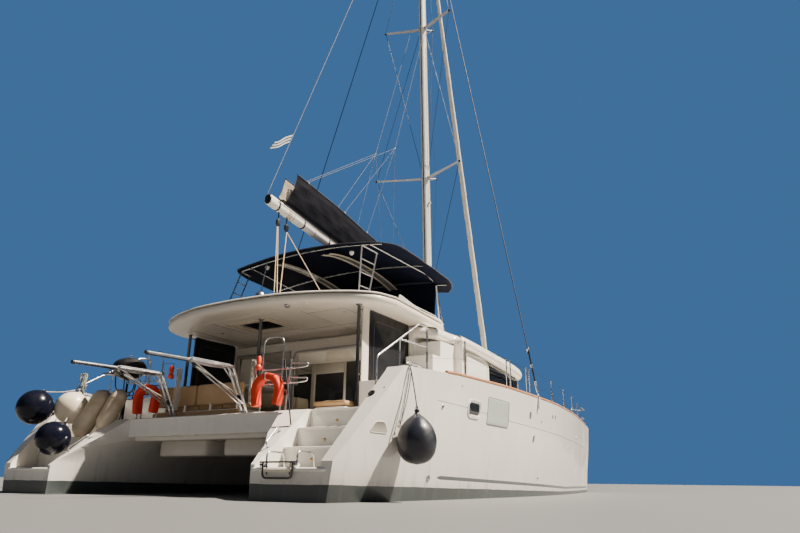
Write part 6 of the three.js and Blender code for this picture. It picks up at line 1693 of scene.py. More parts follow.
def lazy_jacks():
    """Lines that hold the bag up, three legs a side gathered at an eye and led on to the mast, and the
    topping lift."""
    lines, eyes = Shape(), Shape()
    a = np.arange(16) * pi / 8
    loop_ = 0.016 * xyz(cos(a), 0, sin(a))
    for s in (-1, 1):
        eye = array([-0.54, s * 0.30, 8.56])
        lines.tube([eye, (1.20, s * 0.26, 13.55)], 0.004, 6)
        for k in (0.30, 0.52, 0.69, 0.93):
            x = -0.35 - 5.5 * k
            half, top = interp(-x, -BAG_X, BAG_HALF), interp(-x, -BAG_X, BAG_TOP)
            end = on_boom(x, s * half * 0.88, top + 0.012)
            lines.tube([eye, end + [0, 0, 0.03]], 0.0035, 6)
            eyes.ring(end + loop_ + [0, 0, 0.018], 0.004, 6)
        eyes.lathe([(0, -0.02), (0.012, -0.014), (0.016, 0), (0.012, 0.014), (0, 0.02)], eye, sides=12)
    low, high = on_boom(BOOM_END - 0.02, 0.0, 0.12), array([0.95, 0, 20.50])
    lines.tube([low, high], 0.0055, 8)
    lines.make("lazy_jack_lines", "line", body="boom")
    eyes.make("lazy_jack_eyes", "strap", body="boom")
    u, v = meshgrid(linspace(0, 1, 30), linspace(0, 1, 22), indexing="ij")
    hoist = low + (high - low) * 0.108
    wave = 0.03 * sin(6 * u + 1.5 * v) * u
    p = xyz(hoist[0] - 0.005 - 0.10 * v - 0.28 * u, 0.015 + 0.24 * u + wave,
            hoist[2] - 0.24 * v - 0.24 * u + wave)
    piece = Shape().grid(p).make("striped_flag", "flag", body="boom", solid=0.001)


def main_sheet():
    """The parts of the main sheet between the hardtop's after edge and the boom's blocks."""
    foot_, lines, gear = array([-5.25, -0.80, 3.30]), Shape(), Shape()
    heads = [on_boom(-6.14, 0.0, -0.405), on_boom(-5.89, 0.0, -0.405)]
    for head, shifts in ((heads[0], (-0.035, 0.0)), (heads[1], (0.035,))):
        for d in shifts:
            lines.tube([foot_ + [d, -d, 0.03], head + [0.6 * d, 0, -0.012]], 0.0085, 8)
    lines.tube([(-4.92, -1.50, 3.33), heads[1] + [0.03, 0, -0.012]], 0.0085, 8)
    lines.make("main_sheet", "brown")
    gear.slab(rectangle(0.09, 0.06, 0.02), 0.05, foot_ + [0, 0.025, 0.0], 0.008, X, Z)
    for at in (foot_, array([-4.92, -1.50, 3.30])):
        gear.lathe([(0, 0), (0.035, 0), (0.035, 0.006), (0.015, 0.012), (0.010, 0.03), (0, 0.03)],
                   [at[0], at[1], ON_FLY], sides=20)
    gear.make("sheet_blocks_lower", "black")
    track = Shape().block([-5.30, -1.15, ON_FLY], [-5.20, 1.15, FLY + 0.018], 0.004)
    track.make("traveller_track", "satin", slot="alloy")


mast()
shrouds()
genoa()
boom()
sail_bag()
lazy_jacks()
main_sheet()

# STERN GEAR
def ball(shape, centre, radius, up=Z, neck=1.0):
    """An inflated ball whose top is drawn into a neck: radius sin(a) along height cos(a), plus a pointed
    cap."""
    a = linspace(pi, 0.42, 40)
    body = stack([radius * sin(a), radius * cos(a)], 1)
    r0, h0 = body[-1]
    cone = [(r0 * 0.72, h0 + radius * 0.10 * neck), (r0 * 0.50, h0 + radius * 0.20 * neck),
            (r0 * 0.34, h0 + radius * 0.27 * neck), (r0 * 0.30, h0 + radius * 0.31 * neck),
            (0.001, h0 + radius * 0.33 * neck)]
    return shape.lathe(concatenate([body, cone]), centre, up, 48)


def knotted(shape, a, b, radius=0.008, sag=0.02):
    """A line between two places with a small sag, a loop at its start and a knot at its end."""
    a, b = asarray(a, float), asarray(b, float)
    t = linspace(0, 1, 24)[:, None]
    line = a + (b - a) * t - array([0, 0, sag]) * sin(pi * t)
    shape.tube(line, radius, 8)
    shape.lathe([(0, -0.02), (0.016, -0.016), (0.021, 0), (0.016, 0.016), (0, 0.02)], b, unit(b - a), 12)


def starboard_fender():
    """A pear-shaped dark buoy that hangs by two lines from the sheer."""
    centre, r = array([-5.86, -3.915, 0.745]), 0.260
    pear = spline([(0.001, -1.12), (0.42, -1.03), (0.70, -0.85), (0.90, -0.55), (0.985, -0.2), (1.0, 0.08),
                   (0.94, 0.38), (0.80, 0.70), (0.58, 0.98), (0.36, 1.18), (0.17, 1.32), (0.11, 1.42),
                   (0.10, 1.56), (0.001, 1.60)], 76) * r
    pear[:, 0] = np.maximum(pear[:, 0], 0.0008)
    Shape().lathe(pear, centre, sides=56).make("buoy_starboard", "buoy_grey",
                                               replaces=("fender_starboard",), sharp=60)
    eye = Shape()
    a = angles(32)
    top = centre + [0, 0, 1.62 * r]
    eye.ring(top + 0.024 * xyz(cos(a), 0, sin(a)), 0.009)
    eye.lathe([(0, 0), (0.036, 0), (0.036, 0.02), (0, 0.02)], centre + [0, 0, 1.45 * r])
    eye.make("buoy_eye_starboard", "black")
    lines = Shape()
    lines.tube(spline([top + [0, 0, 0.01], (-5.855, -3.86, 1.48), (-5.845, -3.79, 1.742),
                       (-5.835, -3.70, 1.748), (-5.80, -3.61, 1.744)], 40), 0.009, 8)
    for k in (0, 1):
        shift = array([0.05 * k, 0, 0])
        lines.tube(spline(array([(-5.93, -3.705, 0.95 + 0.10 * k), (-5.90, -3.76, 1.30), (-5.87, -3.80, 1.66),
                                 (-5.85, -3.72, 1.752), (-5.82, -3.62, 1.748)]) + shift, 40), 0.006, 8)
    lines.make("buoy_lines_starboard", "dark_line")
    shackle = Shape()
    for k in (0, 1):
        at = array([-5.93 + 0.05 * k, -3.703, 0.93 + 0.10 * k])
        shackle.ring(at + 0.018 * xyz(cos(a), 0, 1.4 * sin(a)), 0.005)
    shackle.make("buoy_shackles", "steel")


def port_fenders():
    """Two dark balls, a pale one and two long fenders lashed at the port quarter, with their eyes, lines
    and hank."""
    dark, pale, eyes, lines, hank = Shape(), Shape(), Shape(), Shape(), Shape()
    knot = array([-5.925, 3.30, 1.83])
    for (centre, r), shape in zip((((-6.80, 3.149, 1.404), 0.300), ((-6.74, 2.566, 0.875), 0.280),
                                   ((-6.30, 2.881, 1.430), 0.285)), (dark, dark, pale)):
        up = unit(array([0.45, 0.2, 0.85] if centre[2] > 1 else [0.55, 0.1, 0.8]))
        ball(shape, centre, r * 0.985, up, 0.8)
        top = centre + up * r * 1.13
        a = angles(32)
        side = unit(cross(up, Y))
        eyes.ring(top + 0.026 * (cos(a)[:, None] * up + sin(a)[:, None] * side), 0.008)
        knotted(lines, top, knot, 0.007, 0.03)
    dark.make("balls_dark", "fender", sharp=60, replaces=("fenders_port",))
    pale.make("ball_pale", "cream", sharp=60)
    long = Shape()
    for a, b, r in (((-6.20, 2.64, 1.08), (-6.03, 2.44, 1.60), 0.172),
                    ((-6.07, 2.20, 1.18), (-5.95, 2.10, 1.60), 0.150)):
        a, b = array(a), array(b)
        axis, length = unit(b - a), np.linalg.norm(b - a)
        profile = array([(0.001, -0.17), (0.03, -0.168), (0.035, -0.15), (0.07, -0.135), (0.125, -0.09),
                         (0.150, -0.03), (0.155, 0.05), (0.155, length - 0.05), (0.150, length + 0.03),
                         (0.125, length + 0.09), (0.07, length + 0.135), (0.035, length + 0.15),
                         (0.03, length + 0.168), (0.001, length + 0.17)]) * [r / 0.155, 1]
        long.lathe(profile, a, axis, 48)
        for h in linspace(0.02, length - 0.02, 7):
            long.ring(a + axis * h + turned([(r - 0.001, 0)], 48, (0, 0, 0), axis)[0], 0.003, 6, up=axis)
    long.make("long_fender", "tan_fender", sharp=60)
    knotted(lines, b + axis * 0.16, knot - [0, 0, 0.12], 0.008, 0.05)
    for k in range(7):
        x, y, half = -5.92 + 0.035 * (k % 3), 3.22 + 0.021 * k, 0.022 + 0.010 * (k % 2)
        foot_ = 1.66 + 0.05 * ((k * 2) % 5)
        loop_ = [(x, y - half, 2.08), (x - 0.03, y - half - 0.02, 1.90), (x + 0.02, y - half, foot_ + 0.05),
                 (x, y, foot_), (x - 0.02, y + half, foot_ + 0.06), (x + 0.03, y + half + 0.015, 1.92),
                 (x, y + half, 2.08), (x, y, 2.12)]
        hank.ring(spline(loop_, 60, closed=True), 0.0085)
    hank.make("rope_hank_rail", "grey_rope")
    lines.make("port_fender_lines", "rope")
    eyes.make("port_fender_eyes", "black")


def horseshoe(side):
    """A covered horseshoe buoy: a broad rounded-rectangle section carried round its arc, straps and a
    hank of line."""
    s = SIDES[side]
    centre = array([-5.9405, s * 1.35 + (-0.02 if s < 0 else 0), 1.545])
    t = linspace(0, pi, 49)
    arc = stack([0.228 * cos(t), 0.198 * sin(t)], 1)
    leg = linspace(1, 0, 16)[:-1, None]
    right_leg = column_stack([0.228 - 0.030 * leg**2, -0.235 * leg])
    flat = concatenate([right_leg, arc, (right_leg * [-1, 1])[::-1]])
    path = centre + column_stack([np.zeros(len(flat)), flat])
    section = rectangle(0.104, 0.148, 0.026, 6)
    end = np.ones(len(flat))
    end[[0, -1]], end[[1, -2]] = 0.86, 0.985
    body = Shape().loft(carried(path, section, end, up=X))
    body.make("horseshoe_" + side, "buoy", sharp=60, replaces=("horseshoe_buoy_" + side,))
    bands = Shape()
    across_ = path[len(flat) // 2] + linspace(-0.009, 0.009, 4)[:, None] * Y
    bands.loft(carried(across_, rectangle(0.110, 0.154, 0.028, 6), 1.0, up=X))
    bands.make("horseshoe_strap_" + side, "strap")
    seam = Shape()
    for row in (5, 11, 17, 23):
        seam.tube(carried(path, section * 1.004, end, up=X)[1:-1, row], 0.0028, 6)
    seam.make("horseshoe_piping_" + side, "buoy_dark")
    hank = Shape()
    x, y, top = -5.905, (-1.02 if s < 0 else 0.66), 1.98
    for k in range(6):
        wave = 0.014 * sin(2.3 * k)
        half = 0.020 + 0.005 * (k % 3)
        deep = x + 0.011 * (k - 2.5)
        low_ = top - 0.60 - 0.02 * (k % 3)
        loop_ = [(deep, y - half, top), (deep - 0.006, y - half - 0.012 + wave, top - 0.20),
                 (deep + 0.004, y - half * 0.9 + wave, low_ + 0.14),
                 (deep, y - half * 0.6 + wave, low_ + 0.02), (deep, y + wave, low_),
                 (deep, y + half * 0.6 + wave, low_ + 0.02), (deep - 0.004, y + half + wave, low_ + 0.14),
                 (deep + 0.006, y + half + 0.006 + wave, top - 0.20), (deep, y + half, top),
                 (deep, y + 0.5 * half, top + 0.03), (deep, y - 0.5 * half, top + 0.03)]
        hank.ring(spline(loop_, 70, closed=True), 0.006)
    for k in range(5):
        o = circle(24) * (0.036, 0.040)
        hank.ring(xyz(o[:, 1] + x, o[:, 0] + y, top - 0.10 - 0.0125 * k), 0.0065)
    hank.tube(spline([(x, y, top + 0.02), (x + 0.02, y - s * 0.05, top + 0.06),
                      (-5.853, (1.15 if s > 0 else -1.15), top + 0.02)], 16), 0.006, 8)
    hank.make("rope_hank_" + side, "rope")
    light, place_ = Shape(), array([-5.90, -1.115 if s < 0 else 0.86, 1.86])
    light.lathe([(0, 0), (0.035, 0.004), (0.050, 0.03), (0.050, 0.06), (0.036, 0.085), (0.026, 0.095),
                 (0.030, 0.105), (0.038, 0.115), (0.038, 0.20), (0.026, 0.225), (0, 0.23)], place_, sides=28)
    light.make("strobe_" + side, "orange")
    Shape().tube([place_ + [0, 0, 0.20], (-5.853, place_[1], 2.13), (-5.852, s * 1.15, 2.16)], 0.004,
                 6).make("strobe_line_" + side, "dark_line")


def pushpit(side):
    """Round-tube frame beside the davit: outer hoop, cross bar and the two hairpin arms that carry the
    buoy."""
    s = SIDES[side]
    x, inner, outer, at = -5.85, 1.16, 1.56, 1.74
    bars = Shape()
    hoop = bent([(x, s * inner, AT_SOLE), (x, s * inner, 2.37), (x, s * outer, 2.37),
                 (x, s * outer, AT_SOLE)], 0.12, 8)
    bars.tube(hoop, 0.0125, 12)
    bars.tube([(x, s * inner, 1.78), (x, s * outer, 1.78)], 0.011, 12)
    bars.tube(bent([(x, s * (at - 0.07), AT_SOLE), (x, s * (at - 0.07), 1.32), (x, s * (at - 0.01), 2.0)],
                   0.08), 0.014, 12)
    for z in (1.86, 1.64):
        arm = [(x, s * inner, z), (x, s * 1.9, z), (x, s * 2.035, z + 0.012), (x, s * 2.055, z + 0.034),
               (x, s * 2.035, z + 0.058), (x, s * at, z + 0.08)]
        bars.tube(bent(arm, 0.02), 0.012, 12)
        bars.lathe([(0, -0.02), (0.019, -0.02), (0.021, -0.01), (0.021, 0.01), (0.019, 0.02), (0, 0.02)],
                   [x, s * (at - 0.02), z + 0.02], sides=14)
    for y in (inner, outer, at - 0.07):
        bars.lathe([(0, 0), (0.038, 0), (0.038, 0.004), (0.018, 0.010), (0.015, 0.03), (0, 0.03)],
                   [x, s * y, AT_SOLE], sides=20)
    if s < 0:
        pole = Shape().tube([(-5.95, -1.68, 1.98), (-6.30, -2.17, 0.975)], 0.011, 12)
        pole.tube([(-5.86, -1.60, 1.97), (-5.95, -1.68, 1.98)], 0.010, 8)
        pole.make("boat_pole", "matt_black")
    bars.make("pushpit_frame_" + side, "steel", replaces=("pushpit_" + side,))


def davit(side):
    """A raked twin-tube post, a twin-tube head with a plate channel, a twin brace and one outer tube
    beyond the knee."""
    s = SIDES[side]
    y = s * 0.8
    foot_, hinge, knee, end = (array([x, y, z]) for x, z in ((-5.79, 1.24), (-6.17, 1.90), (-6.99, 1.88),
                                                             (-7.73, 1.86)))
    low_brace = foot_ + (hinge - foot_) * 0.18
    arm = Shape()
    for d in (-0.045, 0.045):
        over = array([0, d, 0])
        arm.tube([foot_ + over, hinge + over], 0.022, 16)
        arm.tube([hinge + over, knee + over], 0.018, 14)
        arm.tube([knee + over, low_brace + over], 0.012, 12)
        arm.tube([hinge + over + (knee - hinge) * 0.16, foot_ + over + (hinge - foot_) * 0.68], 0.011, 12)
    arm.tube([hinge - [0, 0.07, 0], hinge + [0, 0.07, 0]], 0.028, 20)
    arm.tube([knee - [0, 0.06, 0], knee + [0, 0.06, 0]], 0.025, 20)
    arm.slab(rectangle(0.16, 0.20, 0.02), 0.008, foot_ * [1, 1, 0] + [0, 0, AT_SOLE], 0.002)
    arm.make("davit_tubes_" + side, "steel", slot="alloy", replaces=("davit_" + side,))
    outer = Shape().tube([knee, knee + (end - knee) * 0.03, end], 0.029, 24)
    outer.make("davit_outer_" + side, "satin_blue")
    channel = Shape()
    for d in (-0.030, 0.026):
        o = bent([(-6.20, 1.865), (-6.20, 1.935), (-6.98, 1.925), (-6.98, 1.85), (-6.59, 1.845),
                  (-6.20, 1.865)], 0.02)[:-1]
        channel.slab(o, 0.004, [0, y + d + 0.004, 0], 0.001, X, Z)
    for k in range(5):
        channel.tube([(-6.30 - 0.15 * k, y - 0.03, 1.905), (-6.30 - 0.15 * k, y + 0.03, 1.905)], 0.006, 8)
    channel.make("davit_channel_" + side, "satin", slot="alloy")
    block = Shape()
    block.lathe([(0, 0), (0.031, 0), (0.031, 0.03), (0.024, 0.036), (0, 0.036)],
                end - unit(end - knee) * 0.002, unit(end - knee))
    for at in (knee + [0.10, 0, -0.045], foot_ + (hinge - foot_) * 0.34 + [-0.02, 0, 0.0]):
        block.slab(rectangle(0.075, 0.10, 0.03), 0.03, at + [0, 0.015, 0], 0.006, X, Z)
    block.make("davit_blocks_" + side, "black")
    fall = Shape()
    a, b = knee + [0.10, 0, -0.07], foot_ + (hinge - foot_) * 0.34
    for d in (-0.014, 0.0, 0.014):
        fall.tube([a + [0, d, 0], b + [-0.02, -d, 0.03]], 0.0055, 6)
    fall.tube([(-6.26, y, 1.885), (-6.94, y, 1.872)], 0.006, 6)
    fall.make("davit_falls_" + side, "rope")


def boarding_ladder():
    """A folding U-shaped ladder below the platform's lip with pale treads and black hinges, and two hand
    loops above."""
    x, y, z, half, drop = -7.025, -2.60, 0.46, 0.235, 0.19
    frame_ = Shape()
    frame_.tube(bent([(x, y - half, z), (x, y - half, z - drop), (x, y + half, z - drop), (x, y + half, z)],
                     0.07, 8), 0.013, 12)
    frame_.tube([(x, y - half - 0.05, z), (x, y + half + 0.05, z)], 0.012, 12)
    for k in (-1, 1):
        frame_.tube(bent([(x + 0.018, y + k * (half - 0.05), z),
                          (x + 0.018, y + k * (half - 0.05), z - 0.15)], 0.03), 0.008)
    # The ladder's near-black tubes are steel: painted dark reflection
    frame_.make("ladder_frame", "enamel", body="swim_ladder", slot="steel", replaces=("swim_ladder",))
    tread = Shape().block([x - 0.016, y - half + 0.02, z - 0.115],
                          [x + 0.018, y + half - 0.02, z - 0.085], 0.006, 0.012)
    tread.make("ladder_treads", "cream", body="swim_ladder", slot="steel")
    hinge = Shape()
    for k in (-1, 1):
        hinge.block([-7.035, y + k * 0.27 - 0.02, 0.425], [-6.985, y + k * 0.27 + 0.02, 0.445], 0.004)
        hinge.block([-6.99, y + k * 0.25 - 0.025, 0.4001], [-6.93, y + k * 0.25 + 0.025, 0.415], 0.004)
    hinge.make("ladder_hinges", "black")
    loops = Shape()
    for k in (-1, 1):
        route = [(-6.95, y + k * 0.245, 0.4005), (-6.95, y + k * 0.245, 0.59), (-6.625, y + k * 0.245, 0.59),
                 (-6.595, y + k * 0.245, 0.4005)]
        loops.tube(bent(route, 0.07, 8), 0.013, 12)
        for xx in (-6.95, -6.595):
            loops.lathe([(0, 0), (0.028, 0), (0.028, 0.004), (0.014, 0.010), (0, 0.010)],
                        [xx, y + k * 0.245, 0.4005], sides=18)
    loops.make("boarding_loops", "steel")


def grill():
    """A kettle grill: a deep dark bowl, a domed lid on a hinge, a pole with brackets, a knob and a
    regulator."""
    x, y, r, deep, lid = -5.75, 2.18, 0.29, 0.24, 0.17
    centre = array([x, y, 2.185])
    a = linspace(0, pi / 2, 24)
    bowl = stack([np.maximum(r * sin(a), 0.001), -deep * cos(a)], 1)
    inner = stack([np.maximum((r - 0.012) * sin(a[::-1]), 0.001), -(deep - 0.012) * cos(a[::-1])], 1)
    Shape().lathe(concatenate([bowl, [(r, -0.004), (r - 0.012, -0.004)], inner]), centre,
                  sides=56).make("kettle_bowl", "kettle", replaces=("grill_bowl",), sharp=50)
    dome = stack([np.maximum(r * cos(a), 0.001), lid * sin(a)], 1)
    under = stack([np.maximum((r - 0.012) * cos(a[::-1]), 0.001), (lid - 0.012) * sin(a[::-1])], 1)
    Shape().lathe(concatenate([[(r - 0.012, 0.001), (r, 0.001)], dome, under]), centre,
                  sides=56).make("kettle_lid", "kettle", body="grill_lid", replaces=("grill_lid",), sharp=50)
    trim = Shape()
    trim.lathe([(0.0, 0), (0.028, 0), (0.028, 0.006), (0.012, 0.018), (0.022, 0.030), (0.024, 0.040),
                (0.016, 0.048), (0, 0.05)], centre + [0, 0, lid - 0.001])
    trim.block([-5.495, 2.15, 2.187], [-5.474, 2.21, 2.20], 0.003)
    trim.make("kettle_knob", "steel", body="grill_lid")
    ring = Shape()
    t = angles(80)
    ring.ring(centre + xyz((r + 0.004) * cos(t), (r + 0.004) * sin(t), -0.012), 0.006, up=Z)
    ring.tube([(x, y, 1.95), (x, y, ON_SOLE)], 0.02, 16)
    ring.lathe([(0, 0), (0.06, 0), (0.06, 0.006), (0.028, 0.018), (0, 0.018)], [x, y, AT_SOLE])
    ring.tube(bent([(-6.03, 2.18, 2.15), (-6.11, 2.18, 2.12), (-6.11, 2.02, 2.12), (-6.03, 2.02, 2.13)],
                   0.04), 0.007, 8)
    ring.tube([(x, y, 1.6), (-5.70, 2.05, 1.6), (-5.70, 2.0, 1.9)], 0.011)
    ring.block([-5.47, 2.14, 2.14], [-5.442, 2.22, 2.184], 0.004)
    ring.make("kettle_fittings", "kettle")
    legs = Shape()
    for dx, dy in ((-0.16, -0.12), (-0.16, 0.14), (0.16, 0.0)):
        legs.tube(bent([(x + dx, y + dy, 2.02), (x + dx * 0.9, y + dy * 0.9, 1.80),
                        (x + dx * 0.25, y + dy * 0.25, 1.66)], 0.05), 0.010)
    legs.ring(centre + xyz(0.345 * cos(t), 0.345 * sin(t), -0.075), 0.010, up=Z)
    for k in range(6):
        c, d = cos(k * pi / 3 + 0.5), sin(k * pi / 3 + 0.5)
        legs.tube([centre + [0.285 * c, 0.285 * d, -0.070], centre + [0.345 * c, 0.345 * d, -0.075]],
                  0.006, 6)
    for k in (-1, 1):
        legs.slab(rectangle(0.24, 0.30, 0.04), 0.022, [x, y + k * 0.44, 2.095], 0.004, Y, X)
    legs.tube([(x, y, 1.55), (-5.86, 2.05, 1.45), (-5.90, 2.05, SOLE + 0.004)], 0.012)
    legs.make("kettle_stand", "kettle")


for side in SIDES:
    horseshoe(side)
    pushpit(side)
    davit(side)
starboard_fender()
port_fenders()
boarding_ladder()
grill()

# FOREDECK AND GUARD RAILS
def inner_side(side, x, z=1.72):
    """How far out a hull's inner side stands at each x."""
    s = SIDES[side]
    x = asarray(x, float)
    p, _ = cast("hull_" + side, xyz(x, 0.4 * s, z), (0, s, 0))
    return np.abs(p[..., 1])


def foredeck():
    """The tubular beam with its striker, the central walkway with roller and windlass, and two laced nets."""
    beam = Shape()
    ends = inner_side("port", array([6.4]), 1.56)[0] - 0.003
    beam.tube([(6.4, -ends, 1.56), (6.4, ends, 1.56)], 0.095, 36)
    beam.make("beam_tube", "spar", replaces=("fore_beam",))
    striker = Shape()
    outline = [(6.39, 1.60), (6.52, 1.60), (6.53, 1.76), (6.45, 1.76)]
    striker.slab(outline, 0.06, [0, 0.03, 0], 0.006, X, Z)
    for s in (-1, 1):
        striker.tube([(6.4, s * 2.15, 1.66), (6.42, s * 0.04, 1.72)], 0.010)
        for y in (2.15, 1.2):
            striker.lathe([(0, -0.02), (0.101, -0.02), (0.104, -0.01), (0.104, 0.01), (0.101, 0.02),
                           (0, 0.02)], [6.4, s * y, 1.56], Y, 36)
    striker.make("beam_fittings", "satin", slot="alloy")
    deck = Shape().block([3.8005, -0.33, 1.6555], [6.405, 0.33, 1.78], 0.02, 0.05)
    deck.make("walkway_deck", "gelcoat", replaces=("walkway",))
    pads = Shape()
    for x0, x1 in ((3.9, 4.6), (5.2, 5.95)):
        pads.block([x0, -0.25, 1.7805], [x1, 0.25, 1.784], 0.001, 0.05)
    pads.make("walkway_nonskid", "tread")
    gear = Shape()
    gear.block([4.72, -0.12, 1.781], [5.02, 0.12, 1.80], 0.004, 0.03)
    gear.lathe([(0, 0), (0.085, 0), (0.085, 0.03), (0.045, 0.05), (0.042, 0.10), (0.075, 0.125), (0.06, 0.15),
                (0, 0.152)], [4.87, 0.0, 1.80], sides=32)
    gear.lathe([(0, -0.02), (0.035, -0.02), (0.02, 0.0), (0.035, 0.02), (0, 0.02)], [6.30, 0.16, 1.815], Y)
    for y in (0.13, 0.19):
        gear.slab([(6.12, 1.781), (6.36, 1.781), (6.36, 1.845), (6.26, 1.845)], 0.006,
                  [0, y + 0.003, 0], 0.001, X, Z)
    for s in (-1, 1):
        cleat(gear, [5.08, s * 0.24, 1.781])
    gear.make("anchor_gear", "steel")
    anchor = Shape()
    anchor.slab([(5.62, 1.80), (6.28, 1.835), (6.28, 1.86), (5.62, 1.825)], 0.016, [0, 0.168, 0], 0.002, X, Z)
    u, v = meshgrid(linspace(0, 1, 14), linspace(-1, 1, 15), indexing="ij")
    p = xyz(6.26 + 0.02 * u, 0.16 + v * 0.12 * (1 - u), 1.80 - 0.28 * u + 0.05 * v**2)
    Shape().grid(p).make("anchor_blade", "satin", solid=0.008)
    anchor.make("anchor_shank", "satin")
    chain = Shape()
    a = angles(12)
    for k in range(18):
        at = array([4.98 + 0.032 * k, 0.10 + 0.003 * k, 1.792])
        side_ = [0, 0, 0.010] if k % 2 else [0, 0.010, 0]
        link = at + 0.021 * cos(a)[:, None] * [1, 0.1, 0] + sin(a)[:, None] * side_
        chain.ring(link, 0.004, 5)
    chain.make("anchor_chain", "satin")
    for side, s in SIDES.items():
        u = linspace(0, 1, 40)
        x = 4.03 + 2.17 * u
        v = linspace(0, 1, 34)
        y = 0.40 + (inner_side(side, x) - 0.07 - 0.40)[:, None] * v[None]
        sag = 0.010 * (sin(pi * u)[:, None] * sin(pi * v)[None]) ** 0.7
        p = xyz(x[:, None], s * y, 1.722 - sag)
        netting = Shape().grid(p, flip=s < 0).make("net_" + side, "net", replaces=("trampoline_" + side,))
        rim = border(p)
        rope_, band = Shape(), Shape()
        rope_.ring(rim, 0.009, up=Z)
        out_ = unit(rim - rim.mean(0)) * [1, 1, 0]
        near, far = (even(closed(run), 151)[:-1] for run in (rim, rim + out_ * 0.06))
        zig = np.where((np.arange(150) % 2 == 0)[:, None], near, far)
        band.ring(zig, 0.0035, 5, up=Z)
        rope_.make("net_edge_" + side, "strap")
        band.make("net_lacing_" + side, "rope")


def guard_rails(side):
    """Stanchions on round bases, two wires, the pulpit's bent tube and the quarter rail."""
    s = SIDES[side]
    x = array([-4.0, -2.22, -2.02, -1.10, -0.90, 0.80, 2.3, 3.8, 5.2, 6.25])
    sheer = interp(x, *SHEER.T)
    p, _ = hull_side(side, x, sheer - 0.03)
    z = np.minimum(1.80, sheer - 0.005)
    feet = xyz(x, s * (np.abs(p[:, 1]) - 0.13), z)
    up = lambda h: array([0, 0, h])
    bars, bases, wires = Shape(), Shape(), Shape()
    for at in feet:
        bars.lathe([(0, 0.003), (0.013, 0.003), (0.013, 0.605), (0.011, 0.615), (0, 0.62)], at, sides=16)
        bases.lathe([(0, 0.002), (0.034, 0.002), (0.034, 0.010), (0.020, 0.02), (0.017, 0.06), (0, 0.06)],
                    at, sides=20)
    for h, aft in ((0.61, 2.40), (0.33, 2.12)):
        wires.tube(concatenate([[(-4.42, s * 3.3, aft)], feet + up(h)]), 0.0024, 6)
        for at in feet:
            bars.lathe([(0, -0.008), (0.016, -0.008), (0.016, 0.008), (0, 0.008)], at + up(h), X, 12)
    bow = feet[-1]
    pulpit = [bow + up(0.61), (6.90, s * 2.79, 2.40), (6.90, s * 2.60, 2.40), (6.42, s * 2.48, 2.40),
              (6.42, s * 2.48, 1.803)]
    bars.tube(bent(pulpit, 0.12, 8), 0.0125, 14)
    bars.tube(bent([bow + up(0.33), (6.78, s * 2.79, 2.12), (6.78, s * 2.60, 2.12), (6.42, s * 2.48, 2.12)],
                   0.10, 8), 0.011, 12)
    # The quarter rail stands straight up from the deck, 3.3 m out
    out = s * 3.3
    quarter = [(-5.91, out, 1.2205), (-5.91, out, 1.90), (-4.66, out, 2.625), (-4.42, out, 2.625),
               (-4.42, out, 1.8005)]
    bars.tube(bent(quarter, 0.09, 8), 0.015, 14)
    bars.tube([(-5.28, out, 1.8005), (-5.28, out, 2.262), (-4.42, out, 2.30)], 0.012, 12)
    for at in ((-5.91, out, 1.2205), (-4.42, out, 1.8005), (-5.28, out, 1.8005), (6.42, s * 2.48, 1.8035)):
        bases.lathe([(0, 0), (0.036, 0), (0.036, 0.006), (0.020, 0.014), (0.017, 0.04), (0, 0.04)],
                    at, sides=20)
    bars.make("rail_tubes_" + side, "steel", replaces=("guard_rail_" + side,))
    bases.make("rail_bases_" + side, "satin")
    wires.make("guard_wires_" + side, "matt_black", slot="steel")


def front_windows():
    """Mullions, wipers and a fastened sill on the saloon's curved front, and hatches with handrails on
    the coachroof."""
    bars = Shape()
    for y in (-1.55, -0.52, 0.52, 1.55):
        bars.tube([(1.512, y, 2.035), (1.512, y, 2.585)], 0.028, 8, 0.5, up=Y)
    bars.make("front_mullions", "gelcoat")
    wiper = Shape()
    for y in (-1.1, 0.1):
        wiper.tube([(1.525, y, 2.06), (1.530, y + 0.10, 2.28), (1.525, y + 0.12, 2.46)], 0.006, 8)
        wiper.lathe([(0, 0), (0.022, 0), (0.018, 0.02), (0, 0.024)], [1.515, y, 2.055], X, 16)
    wiper.make("front_wipers", "black")
    lids, rims = Shape(), Shape()
    for y in (-1.0, 1.0):
        lids.slab(rectangle(0.5, 0.5, 0.05), 0.02, [0.05, y, 3.055], 0.005)
        rims.slab(rectangle(0.58, 0.58, 0.07), 0.016, [0.05, y, 3.050], 0.004)
    lids.make("roof_hatches", "glass")
    rims.make("roof_hatch_rims", "satin")


foredeck()
for side in SIDES:
    guard_rails(side)
front_windows()


# FLOOR, LIGHT AND CAMERA
floor_pale = bpy.data.materials.new("floor_pale")
floor_pale.use_nodes = True
shader = floor_pale.node_tree.nodes["Principled BSDF"]
shader.inputs["Base Color"].default_value = (0.13, 0.132, 0.135, 1)
shader.inputs["Roughness"].default_value = 0.6
floor_mesh = bpy.data.meshes.new("floor")
reach = 400.0
corners = [(-reach, -reach, 0), (reach, -reach, 0), (reach, reach, 0), (-reach, reach, 0)]
floor_mesh.from_pydata(corners, [], [(0, 1, 2, 3)])
floor_mesh.materials.append(floor_pale)
floor = bpy.data.objects.new("floor", floor_mesh)
bpy.context.scene.collection.objects.link(floor)

world = bpy.data.worlds.new("studio")
world.use_nodes = True
nodes, links = world.node_tree.nodes, world.node_tree.links
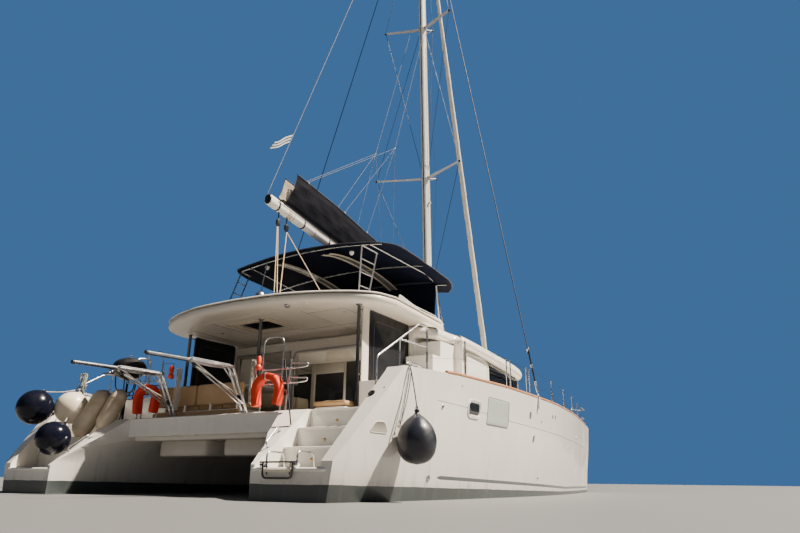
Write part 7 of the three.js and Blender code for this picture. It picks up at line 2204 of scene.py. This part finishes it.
# What lights the boat is softer and dimmer than the backdrop behind it
seen, soft = nodes["Background"], nodes.new("ShaderNodeBackground")
for node, color, strength in ((seen, (0.13, 0.37, 0.85, 1), 0.40), (soft, (0.42, 0.55, 0.78, 1), 0.12)):
    node.inputs["Color"].default_value, node.inputs["Strength"].default_value = color, strength
which, either = nodes.new("ShaderNodeLightPath"), nodes.new("ShaderNodeMixShader")
links.new(which.outputs["Is Camera Ray"], either.inputs[0])
links.new(soft.outputs[0], either.inputs[1])
links.new(seen.outputs[0], either.inputs[2])
links.new(either.outputs[0], nodes["World Output"].inputs["Surface"])
bpy.context.scene.world = world


def light(name, kind, energy, color, toward, place=(0, 0, 0)):
    """A light that shines along one direction."""
    data = bpy.data.lights.new(name, kind)
    data.energy, data.color = energy, color
    lamp = bpy.data.objects.new(name, data)
    lamp.location, lamp.rotation_mode = place, "QUATERNION"
    lamp.rotation_quaternion = Vector(toward).to_track_quat("-Z", "Y")
    bpy.context.scene.collection.objects.link(lamp)
    return data


light("key", "SUN", 17.0, (1.0, 0.885, 0.745), (-0.24, 0.38, -0.66)).angle = np.radians(1.0)
light("fill", "SUN", 0.10, (0.88, 0.94, 1.0), (0.9, 0.25, -0.30)).angle = np.radians(60)
light("cabin", "AREA", 26.0, (1.0, 0.90, 0.76), (0, 0.25, 1), (-1.2, 0.2, 1.45)).size = 1.4

# The camera stands off the starboard quarter, just above the water, and looks up
yaw, pitch, roll, focal = 0.53264, 0.32352, 0.01153, 640.51
ahead = array([cos(pitch) * cos(yaw), cos(pitch) * sin(yaw), sin(pitch)])
right = unit(cross(ahead, Z))
above = cross(right, ahead)
across = cos(roll) * right + sin(roll) * above
upward = -sin(roll) * right + cos(roll) * above
camera_data = bpy.data.cameras.new("camera")
photo_width, sensor_width = 800, 36.0
camera_data.sensor_fit, camera_data.sensor_width = "HORIZONTAL", sensor_width
camera_data.lens = focal / photo_width * sensor_width
camera_data.clip_start, camera_data.clip_end = 0.1, 2000
camera = bpy.data.objects.new("camera", camera_data)
axes = Matrix([[across[k], upward[k], -ahead[k]] for k in range(3)]).to_4x4()
camera.matrix_world = Matrix.Translation((-13.381, -8.065, 0.251)) @ axes
bpy.context.scene.collection.objects.link(camera)
bpy.context.scene.camera = camera
